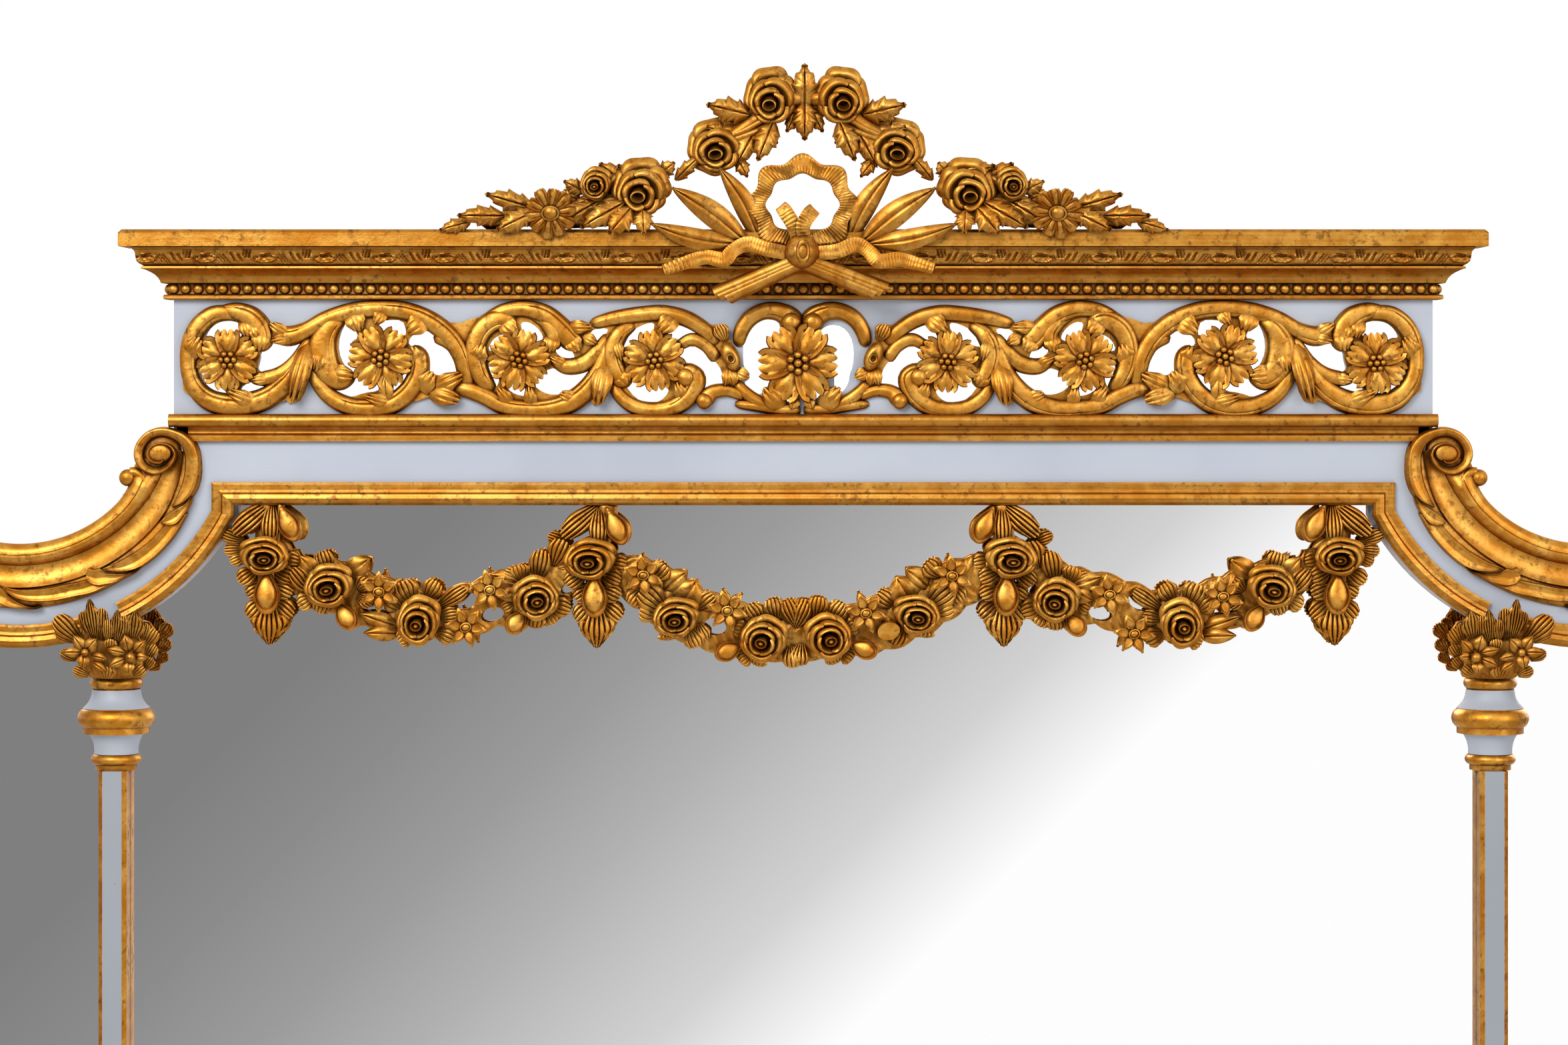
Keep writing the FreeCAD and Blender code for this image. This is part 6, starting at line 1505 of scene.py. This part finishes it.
# Edges on the enlarged detail, far end first: the band of the volute from its leaf tip round to its eye.
VOLUTE_OUTER = ((1033, 564), (1105, 542), (1165, 488), (1198, 410), (1207, 320), (1190, 205), (1130, 130),
                (1045, 92), (960, 82),
                (880, 108), (820, 170), (799, 240), (815, 305), (860, 350), (920, 373), (980, 360),
                (1035, 315), (1062, 255),
                (1045, 205), (1005, 180), (955, 176), (905, 198), (882, 238), (892, 278), (925, 300),
                (965, 304), (990, 288))
VOLUTE_INNER = ((1030, 558), (1052, 510), (1075, 450), (1094, 390), (1104, 320), (1102, 250), (1075, 188),
                (1025, 152), (965, 140),
                (910, 157), (876, 195), (862, 240), (872, 284), (903, 312), (943, 322), (985, 312),
                (1014, 285), (1036, 252),
                (1024, 217), (995, 198), (957, 196), (922, 212), (905, 240), (910, 266), (932, 282),
                (960, 286), (978, 276))
# Leaves that wrap the strip: upper edge and lower edge from the root to the tip.
WRAP_LEAVES = (
    (((1150, 492), (1110, 546), (1060, 568), (1020, 590), (990, 620), (968, 654)),
     ((1158, 504), (1140, 556), (1102, 622), (1060, 668), (1010, 676), (970, 664))),
    (((1010, 640), (950, 708), (890, 768), (820, 820), (760, 858), (700, 893), (660, 913), (629, 930)),
     ((1128, 600), (1064, 716), (1000, 798), (930, 868), (850, 926), (770, 950), (690, 952), (632, 941))),
    (((842, 916), (800, 952), (720, 966), (640, 956), (600, 924), (565, 930), (538, 922), (520, 950)),
     ((850, 926), (812, 960), (760, 988), (700, 1018), (650, 1034), (600, 1042), (556, 1032), (522, 1000))),
    (((560, 985), (450, 1010), (380, 1022), (300, 1040), (200, 1051), (120, 1054), (60, 1048), (8, 1034)),
     ((690, 1020), (570, 1080), (450, 1106), (330, 1130), (200, 1134), (110, 1117), (50, 1082), (6, 1042))))
WRAP_PROFILE = ((0.0, 1.0), (0.04, 6.4), (0.09, 8.6), (0.15, 8.7), (0.3, 7.9), (0.55, 7.6), (0.75, 8.2),
                (0.88, 9.0), (0.94, 8.6),
                (0.98, 5.6), (1.0, 1.0))
BAND_PROFILE = ((0.0, 0.0), (0.04, 6.0), (0.10, 9.2), (0.2, 10.6), (0.35, 10.8), (0.6, 9.8), (0.8, 8.6),
                (0.9, 8.0), (0.96, 6.4),
                (1.0, 3.0))
# How far the last two wraps are repeated round the scoop, in degrees.
WRAP_TURN = -31.0
VOLUTE_PLACE = (-483.0, 1209.0)
OUTER_VOLUTE_PLACE = (-686.0, 1160.0)
OUTER_VOLUTE_SHARE = 0.77
CURL_PLACE = (-506.0, 1190.6)


def scoop_sweep(profile, start, end, steps, flare, draw, sink):
    """A moulding swept about the middle of the left scoop, in mm, facing +Z with its board at zero height.

    Near its start the inner edge flares, the outer edge draws in and the whole sinks.
    """
    radii = np.array([point[0] for point in profile])
    heights = np.array([point[1] for point in profile])
    count = len(profile) - 1

    def form(u, v):
        where = (u + 1) / 2 * count
        degrees = start + (end - start) * v
        radius = np.interp(where, np.arange(count + 1), radii)
        radius = radius - flare * np.clip((degrees - 44) / 18, 0, 1) ** 2 * (1 - where / count)
        radius = radius - draw * np.clip((degrees - 52) / 23, 0, 1) ** 1.4 * (where / count)
        lift = np.interp(where, np.arange(count + 1), heights)
        lift = lift * (1 - sink * np.clip((degrees - 58) / 8, 0, 1))
        turn = np.radians(degrees)
        return -SCOOP_X + radius * np.sin(turn), SCOOP_Z - radius * np.cos(turn), lift
    return smooth(turned_over(carve_sheet(count, steps, form)), 38)


def strip_between(first, second, profile, steps, rise):
    """A strip carved between two edges drawn on the detail; its height grows by rise towards the far end."""
    edges = []
    for edge in (first, second):
        edges.append(np.array(drawn([from_detail(SCROLL_DETAIL, point, 1) for point in edge], SCROLL_Y)))
    run = np.linspace(0, 1, len(first))
    shares = [row[0] for row in profile]
    heights = [row[1] for row in profile]

    def form(u, v):
        share = (u + 1) / 2
        near, far = [np.stack([smooth_run(run, edge[:, axis], v) for axis in (0, 1)], axis=1)
                     for edge in edges]
        place = near + (far - near) * share[:, None]
        lift = np.interp(share, shares, heights)
        return place[:, 0], place[:, 1], lift + rise * (v - 0.5) * np.clip(lift / 6, 0, 1)
    return smooth(turned_over(carve_sheet(26, steps, form)), 42)


def volute():
    """The spiral band, the hollow disc behind it and the dished eye, about the origin."""
    def dished(x, y, z):
        return 1.2 + 9.6 * x, 0.2 + 7.2 * y, 5.0 + 5.0 * z + 2.2 * (x * x + y * y)
    band = strip_between(VOLUTE_OUTER, VOLUTE_INNER, BAND_PROFILE, 190, 3.0)
    band.data.transform(Matrix.Translation((-VOLUTE_PLACE[0] * MM, -VOLUTE_PLACE[1] * MM, 0)))
    disc = carve_ball(36, 12, lambda x, y, z: (17.0 * x, 17.0 * y, 4.2 * z))
    eye = carve_ball(30, 12, dished)
    return smooth(join("volute", [band, disc, eye]), 40)


def lifted(piece, place, matrix=Matrix.Identity(4)):
    return copied(piece, Matrix.Translation((place[0] * MM, place[1] * MM, 0)) @ matrix)


def make_scrolls():
    model = volute()
    parts = [scoop_sweep(ROLL_PROFILE, 68.0, -50.0, 96, 6.0, 0.0, 0.55),
             scoop_sweep(COVE_PROFILE, 75.0, -50.0, 96, 0.0, 16.0, 0.0)]
    wraps = [strip_between(upper, lower, WRAP_PROFILE, 40, 2.2) for upper, lower in WRAP_LEAVES]
    middle = Matrix.Translation((-SCOOP_X * MM, SCOOP_Z * MM, 0))
    about = middle @ Matrix.Rotation(math.radians(WRAP_TURN), 4, "Z") @ middle.inverted()
    parts += wraps + [copied(wrap, about) for wrap in wraps[2:]]
    parts.append(lifted(model, VOLUTE_PLACE))
    share = OUTER_VOLUTE_SHARE
    turned = Matrix.Rotation(math.radians(18), 4, "Z") @ Matrix.Diagonal((-share, share, 0.9, 1))
    parts.append(lifted(model, OUTER_VOLUTE_PLACE, turned))
    curl = stalk(((-496.0, 1180.0, 4.0), (-494.5, 1188.0, 4.6), (-498.5, 1194.0, 5.0),
                  (-505.5, 1195.0, 5.2)), 4.6, 0.8, 12)
    ball = carve_ball(22, 12, lambda x, y, z: (6.4 * x, 6.4 * y, 4.6 + 5.4 * z))
    parts.append(lifted(ball, CURL_PLACE))
    parts.append(curl)
    left = join("scroll_left_carved", parts)
    drop(model, ball)
    left.data.transform(Matrix.Translation((0, BOARD_Y, 0)) @ TO_FRONT)
    right = copied(left, Matrix.Diagonal((-1, 1, 1, 1)))
    right.name = "scroll_right_carved"
    finish_piece(left, "gilding", GILDING, "scroll_left")
    finish_piece(right, "gilding", GILDING, "scroll_right")


make_scrolls()


# Capitals

# The middles of the columns, in metres from the middle of the mirror.
INNER_COLUMN = 0.5175
OUTER_COLUMN = 0.6575
CAPITAL_X = -517.5
PETAL_Y = -0.0165
CAPITAL_DETAIL = (60.0, 880.0, 6.0)
# Leaves on the enlarged detail: kind, foot, tip, width and depth.
CAPITAL_LEAVES = (
    ("fan", (430, 420), (384, 216), 90, -0.007), ("fan", (350, 480), (136, 262), 160, -0.007),
    ("fan", (300, 500), (140, 414), 80, -0.006),
    ("tip", (500, 480), (452, 100), 150, -0.013), ("fan", (560, 480), (564, 178), 100, -0.012),
    ("tip", (680, 500), (708, 200), 130, -0.014),
    ("fan", (616, 500), (614, 290), 80, -0.015), ("tip", (830, 470), (866, 208), 180, -0.013),
    ("fan", (760, 480), (762, 250), 90, -0.013),
    ("fan", (950, 520), (1046, 378), 120, -0.009), ("fan", (920, 480), (960, 320), 90, -0.010),
    ("fan", (960, 640), (1044, 520), 100, -0.007),
    ("fan", (330, 660), (186, 580), 90, -0.006), ("fan", (440, 800), (300, 740), 90, -0.008),
    ("fan", (840, 800), (940, 720), 110, -0.010),
    ("fan", (630, 580), (640, 470), 100, -0.015), ("fan", (600, 830), (610, 720), 130, -0.012),
    ("fan", (940, 740), (1020, 640), 90, -0.007))
# Petals of the two flowers: foot, tip and width; then the button of each: place and radius.
CAPITAL_PETALS = (
    ((400, 580), (306, 440), 96), ((405, 585), (512, 468), 106), ((400, 600), (380, 740), 100),
    ((460, 622), (612, 652), 72),
    ((470, 680), (598, 760), 70), ((380, 590), (196, 590), 84),
    ((800, 590), (764, 436), 104), ((840, 600), (950, 484), 84), ((850, 636), (968, 634), 74),
    ((802, 676), (796, 782), 92),
    ((770, 650), (620, 716), 80), ((770, 600), (604, 562), 80))
CAPITAL_BUTTONS = (((404, 596), 36), ((814, 640), 46))
# Height and half width of the bell, from the neck up.
BELL_PROFILE = ((1040.5, 17.5), (1043.0, 20.5), (1046.0, 23.0), (1052.0, 25.5), (1060.0, 27.5),
                (1068.0, 28.5), (1076.0, 27.5),
                (1081.0, 24.0), (1083.0, 15.0))


def make_capitals(kit):
    levels = np.array([row[0] for row in BELL_PROFILE])
    halves = np.array([row[1] for row in BELL_PROFILE])
    count = len(BELL_PROFILE) - 1

    def form(u, v):
        where = v * count
        level = np.interp(where, np.arange(count + 1), levels)
        half = np.interp(where, np.arange(count + 1), halves)
        turn = np.radians(100) * u
        half = half - 1.6 * np.abs(np.sin(11 * turn)) ** 0.6
        return CAPITAL_X + half * np.sin(turn), level, half * np.cos(turn) - 16.0
    bell = smooth(carve_sheet(110, 24, form), 60)
    bell.data.transform(TO_FRONT)
    parts = [bell]
    scale = CAPITAL_DETAIL[2]
    for kind, foot, tip, width, depth in CAPITAL_LEAVES:
        first, last = (from_detail(CAPITAL_DETAIL, place, 1) for place in (foot, tip))
        parts.append(kit.lay(kind, first, last, depth, 1.35 * width / scale, 6))
    for foot, tip, width in CAPITAL_PETALS:
        first, last = (from_detail(CAPITAL_DETAIL, place, 1) for place in (foot, tip))
        parts.append(kit.lay("smooth", first, last, PETAL_Y, 1.15 * width / scale, 5, 1.4))
    for place, radius in CAPITAL_BUTTONS:
        size = radius / scale / 2
        button = carve_ball(18, 10, lambda x, y, z: (size * x, size * y, 0.9 * size * z))
        parts.append(put(smooth(button, 60), from_detail(CAPITAL_DETAIL, place, 1), PETAL_Y - 0.003))
        drop(button)
    inner = join("capital_inner_left_carved", parts)
    aside = Matrix.Translation((INNER_COLUMN - OUTER_COLUMN, 0, 0))
    mirror = Matrix.Diagonal((-1, 1, 1, 1))
    for name, matrix in (("outer_left", aside), ("inner_right", mirror), ("outer_right", mirror @ aside)):
        piece = copied(inner, matrix)
        piece.name = f"capital_{name}_carved"
        finish_piece(piece, "gilding", GILT_CARVING, "capital_" + name)
    finish_piece(inner, "gilding", GILT_CARVING, "capital_inner_left")


make_capitals(KIT)

# Cornice: the front and its returns, with a running pattern on the ogee, and a string of beads

CORNICE_REACH = 472.0
# Height and projection from the board: ogee, fillet, cove, ground of the beads, bottom fillet.
CORNICE_PROFILE = ((1363.0, 27.0), (1362.4, 28.2), (1361.6, 27.6), (1360.8, 26.4), (1359.8, 25.6),
                   (1358.6, 25.2), (1357.4, 25.0),
                   (1356.2, 24.9), (1355.0, 24.7), (1353.8, 24.5), (1352.6, 24.1), (1351.4, 23.3),
                   (1350.4, 22.2), (1349.5, 20.6),
                   (1348.9, 19.6), (1348.6, 19.8), (1348.5, 21.2), (1347.2, 21.5), (1346.8, 21.2),
                   (1346.6, 19.8), (1345.6, 17.6),
                   (1344.2, 14.8), (1342.4, 12.2), (1340.2, 10.2), (1338.0, 9.0), (1336.6, 8.6),
                   (1336.3, 8.0), (1336.1, 5.0),
                   (1335.6, 3.4), (1332.0, 3.0), (1328.4, 3.4), (1327.8, 4.6), (1327.5, 6.4), (1326.9, 7.0),
                   (1325.0, 7.0),
                   (1324.3, 6.4), (1324.0, 5.0), (1324.0, 0.0))
OGEE_TOP = 1361.2
OGEE_FOOT = 1350.0
PATTERN_PITCH = 44.5
BEAD_PITCH = 9.25
BEAD_LEVEL = 1332.0
BEAD_STAND = 3.6
BEAD_RADIUS = 4.1


# Cuts on the ogee about the middle of a lens: from (across, up) to (across, up) in mm, half width, and
# depth; raised where it is below zero.
PATTERN_CUTS = (
    (-5.0, 6.6, 1.5, 7.2, 0.9, 1.3), (1.5, 7.2, 8.0, 6.0, 0.9, 1.3), (-0.5, 4.7, 3.5, 4.4, 0.5, 0.8),
    (-8.3, 4.6, -4.6, 1.8, 0.6, -1.0), (-4.6, 1.8, 3.0, 1.5, 0.6, -1.0), (3.0, 1.5, 9.0, 4.0, 0.6, -1.0),
    (9.0, 4.0, 10.6, 8.0, 0.6, -0.7),
    (-8.3, 4.6, -4.0, 8.0, 0.5, -0.8), (-4.0, 8.0, 3.0, 8.6, 0.5, -0.8), (-8.0, 3.4, -5.0, 0.8, 0.5, 0.9),
    (-5.0, 0.8, 6.0, 0.6, 0.5, 0.9),
    (10.8, 11.6, 12.2, 5.6, 0.7, 1.3), (13.2, 11.6, 14.6, 5.6, 0.7, 1.3), (15.8, 11.6, 16.4, 7.4, 0.7, 1.1),
    (17.4, 3.0, 20.2, 8.6, 0.7, 1.2), (20.2, 3.0, 23.4, 9.6, 0.9, -0.9), (22.6, 2.6, 25.8, 9.6, 0.6, 1.1),
    (26.6, 1.4, 31.4, 8.4, 0.6, 1.1), (29.2, 1.4, 34.0, 8.4, 0.6, 1.0), (32.0, 1.6, 36.0, 7.4, 0.6, 0.9))


def running_pattern(across, level):
    """Height of the carving on the ogee, in mm: hollow lenses in raised lines, with slanted cuts between."""
    up = (level - OGEE_FOOT) * 12.6 / (OGEE_TOP - OGEE_FOOT)
    inside = np.clip(up * 0.9, 0, 1) * np.clip((12.8 - up) * 0.9, 0, 1)
    height = np.zeros_like(across)
    for first_x, first_up, last_x, last_up, wide, depth in PATTERN_CUTS:
        x = np.mod(np.abs(across) - first_x + PATTERN_PITCH / 3, PATTERN_PITCH) - PATTERN_PITCH / 3
        y = up - first_up
        way_x, way_y = last_x - first_x, last_up - first_up
        share = np.clip((x * way_x + y * way_y) / (way_x ** 2 + way_y ** 2), 0, 1)
        away = np.hypot(x - share * way_x, y - share * way_y)
        height = height - depth * np.exp(-(away / wide) ** 2)
    return np.clip(height, -1.6, 1.1) * inside


def cornice_length(steps, form_place):
    levels = np.array([row[0] for row in CORNICE_PROFILE])
    stands = np.array([row[1] for row in CORNICE_PROFILE])
    fine = np.arange(OGEE_FOOT, OGEE_TOP, 0.62)[::-1]
    stands = np.concatenate([stands[levels >= OGEE_TOP], np.interp(fine, levels[::-1], stands[::-1]),
                             stands[levels < OGEE_FOOT]])
    levels = np.concatenate([levels[levels >= OGEE_TOP], fine, levels[levels < OGEE_FOOT]])
    count = len(levels) - 1

    def form(u, v):
        where = (1 - u) / 2 * count
        level = np.interp(where, np.arange(count + 1), levels)
        stand = np.interp(where, np.arange(count + 1), stands)
        return form_place(2 * v - 1, level, stand)
    return smooth(turned_over(carve_sheet(count, steps, form)), 32)


def make_cornice():
    def front(share, level, stand):
        across = share * (CORNICE_REACH + stand)
        out = stand + running_pattern(across, level)
        return across, BOARD_Y / MM - out, level
    piece = cornice_length(1600, front)
    piece.name = "cornice_front_carved"
    finish_piece(piece, "gilding", GILT_MOULDING, "cornice_front")
    ends = []
    for sign in (-1, 1):
        def side(share, level, stand, sign=sign):
            fore, back = BOARD_Y / MM - stand, GLASS_Y / MM
            along = fore + (back - fore) * (1 + sign * share) / 2
            return sign * (CORNICE_REACH + stand), along, level
        ends.append(cornice_length(6, side))
    finish_piece(join("cornice_returns_carved", ends), "gilding", GILT_MOULDING, "cornice_returns")
    bead = smooth(carve_ball(14, 8, lambda x, y, z: (BEAD_RADIUS * x, BEAD_RADIUS * y, BEAD_RADIUS * z)), 80)
    strings = []
    count = int(CORNICE_REACH / BEAD_PITCH)
    for number in range(-count, count + 1):
        place = (number * BEAD_PITCH * MM, BOARD_Y - BEAD_STAND * MM, BEAD_LEVEL * MM)
        strings.append(copied(bead, Matrix.Translation(place)))
    for sign in (-1, 1):
        for number in range(2):
            back = BOARD_Y + (0.5 + number) * BEAD_PITCH * MM
            place = (sign * (CORNICE_REACH + BEAD_STAND) * MM, back, BEAD_LEVEL * MM)
            strings.append(copied(bead, Matrix.Translation(place)))
    drop(bead)
    finish_piece(join("cornice_beads_carved", strings), "gilding", GILDING, "cornice_beads")


make_cornice()


# Painted turnings with gilt mouldings

# Half the width of the paint on a shaft and half its soft edge, in metres.
SHAFT_PAINT = 0.0072
SHAFT_EDGE = 0.0002
# Levels of the gilt mouldings of the necks and feet, and half their soft edge, in metres.
NECK_GILT = ((0.960, 0.9825), (0.9978, 1.0170), (1.0308, 1.05))
FOOT_GILT = ((0.110, 0.1345), (0.1505, 0.170))
GILT_EDGE = 0.00025


def on_levels(level, bands):
    """1 inside any of the bands of height, with a narrow soft edge."""
    total = None
    for low, high in bands:
        under = level.between(high - GILT_EDGE, high + GILT_EDGE)
        one = level.between(low - GILT_EDGE, low + GILT_EDGE) * (1 - under)
        total = one if total is None else total + one
    return total.low(1.0)


def shaft_edges(across, deep, level):
    off = abs(abs(across) - INNER_COLUMN).low(abs(abs(across) - OUTER_COLUMN))
    return off.between(SHAFT_PAINT - SHAFT_EDGE, SHAFT_PAINT + SHAFT_EDGE)


def dress_columns():
    # The necks and the shafts take darker, shaded copies of the blue paint: painted shade, deep 0.25 and
    # 0.62.
    necks = two_tone("neck_finish", lambda x, y, z: on_levels(z, NECK_GILT), 0.25)
    feet = two_tone("foot_finish", lambda x, y, z: on_levels(z, FOOT_GILT))
    shafts = two_tone("shaft_finish", shaft_edges, 0.62)
    for name, node in NODES.items():
        if name.startswith("column_shaft"):
            node.data.materials[0] = shafts
    NODES["column_necks"].data.materials[0] = necks
    NODES["column_feet"].data.materials[0] = feet


dress_columns()
KIT.clear()

# Stage

def make_stage():
    deselect()
    bpy.ops.mesh.primitive_plane_add(size=30, location=(0, 0, 0))
    floor = bpy.context.object
    floor.name = "floor"
    material, start = new_finish("pale_floor")
    place = place_on(start)
    shade = clouds(start, place, 2.0).tint(colour(0.80, 0.80, 0.80), colour(0.84, 0.84, 0.84))
    surface(start, base_color=shade, roughness=0.8)
    floor.data.materials.append(material)
    make_card()


# The card behind the camera, hidden from it: a glowing sheet, no lamp, whose grey light is the painted
# reflection that the plates show, along the falling diagonal of the photograph; it also shines in the leaf
# and adds light.
CARD_Y = -3.45
CARD_STOPS = ((1450, 0.216), (1700, 0.263), (1950, 0.332), (2200, 0.445), (2545, 0.651), (2824, 1.0))


def make_card():
    reach = 1 + (GLASS_Y - CARD_Y) / (GLASS_Y - EYE.y)
    deselect()
    bpy.ops.mesh.primitive_plane_add(size=1, location=(0, CARD_Y, 0.86), rotation=(math.radians(-90), 0, 0))
    card = bpy.context.object
    card.scale = (3.6, 1.66, 1)
    bpy.ops.object.transform_apply(location=True, rotation=True, scale=True)
    card.name = "card"
    material, start = new_finish("grey_card")
    place = place_on(start)
    across = start.node("ShaderNodeSeparateXYZ", None, {"Vector": place}, "X")
    up = start.node("ShaderNodeSeparateXYZ", None, {"Vector": place}, "Z")
    pixels = FOCUS / (GLASS_Y - EYE.y) / reach
    run = (across - EYE.x - (up - EYE.z)) * pixels + AHEAD_X + AHEAD_Y
    first, last = CARD_STOPS[0][0], CARD_STOPS[-1][0]
    share = (run - first) / (last - first)
    stops = [((stop - first) / (last - first), colour(grey, grey, grey)) for stop, grey in CARD_STOPS]
    grey = start.node("ShaderNodeValToRGB", {"stops": stops}, {"Fac": share})
    glow = start.node("ShaderNodeEmission", None, {"Color": grey, "Strength": 1.0})
    start.node("ShaderNodeOutputMaterial", None, {"Surface": glow})
    card.data.materials.append(material)
    card.visible_camera = False


def make_world():
    world = bpy.data.worlds.new("studio")
    world.use_nodes = True
    world.node_tree.nodes.clear()
    start = Shade(world.node_tree)
    seen = start.node("ShaderNodeLightPath", output="Is Camera Ray")
    shine = start.node("ShaderNodeLightPath", output="Is Glossy Ray")
    through = start.node("ShaderNodeLightPath", output="Is Transmission Ray")
    white = start.node("ShaderNodeBackground", None, {"Color": colour(1, 1, 1), "Strength": 1.0})
    fill = start.node("ShaderNodeBackground", None, {"Color": colour(1, 1, 1), "Strength": 0.38})
    both = start.node("ShaderNodeMixShader", None, {0: seen.top(shine).top(through), 1: fill, 2: white})
    start.node("ShaderNodeOutputWorld", None, {"Surface": both})
    bpy.context.scene.world = world


def make_lamp(name, place, aim, width, height, power):
    light = bpy.data.lights.new(name, "AREA")
    light.shape = "RECTANGLE"
    light.size = width
    light.size_y = height
    light.energy = power
    lamp = bpy.data.objects.new(name, light)
    lamp.location = place
    lamp.rotation_euler = (Vector(aim) - Vector(place)).to_track_quat("-Z", "Y").to_euler()
    bpy.context.scene.collection.objects.link(lamp)


def make_view():
    camera = bpy.data.cameras.new("camera")
    camera.lens = LENS
    camera.sensor_width = SENSOR
    holder = bpy.data.objects.new("camera", camera)
    holder.location = EYE
    holder.rotation_euler = (math.radians(90), 0, 0)
    camera.shift_x = SHIFT_X
    camera.shift_y = SHIFT_Y
    bpy.context.scene.collection.objects.link(holder)
    bpy.context.scene.camera = holder
    bpy.context.scene.view_settings.view_transform = "Standard"


make_stage()
make_world()
make_lamp("key", (-1.1, -2.5, 2.5), (0, 0, 1.1), 1.6, 1.2, 58)
make_lamp("fill", (1.9, -2.2, 1.9), (0, 0, 1.0), 1.4, 1.8, 22)
make_view()
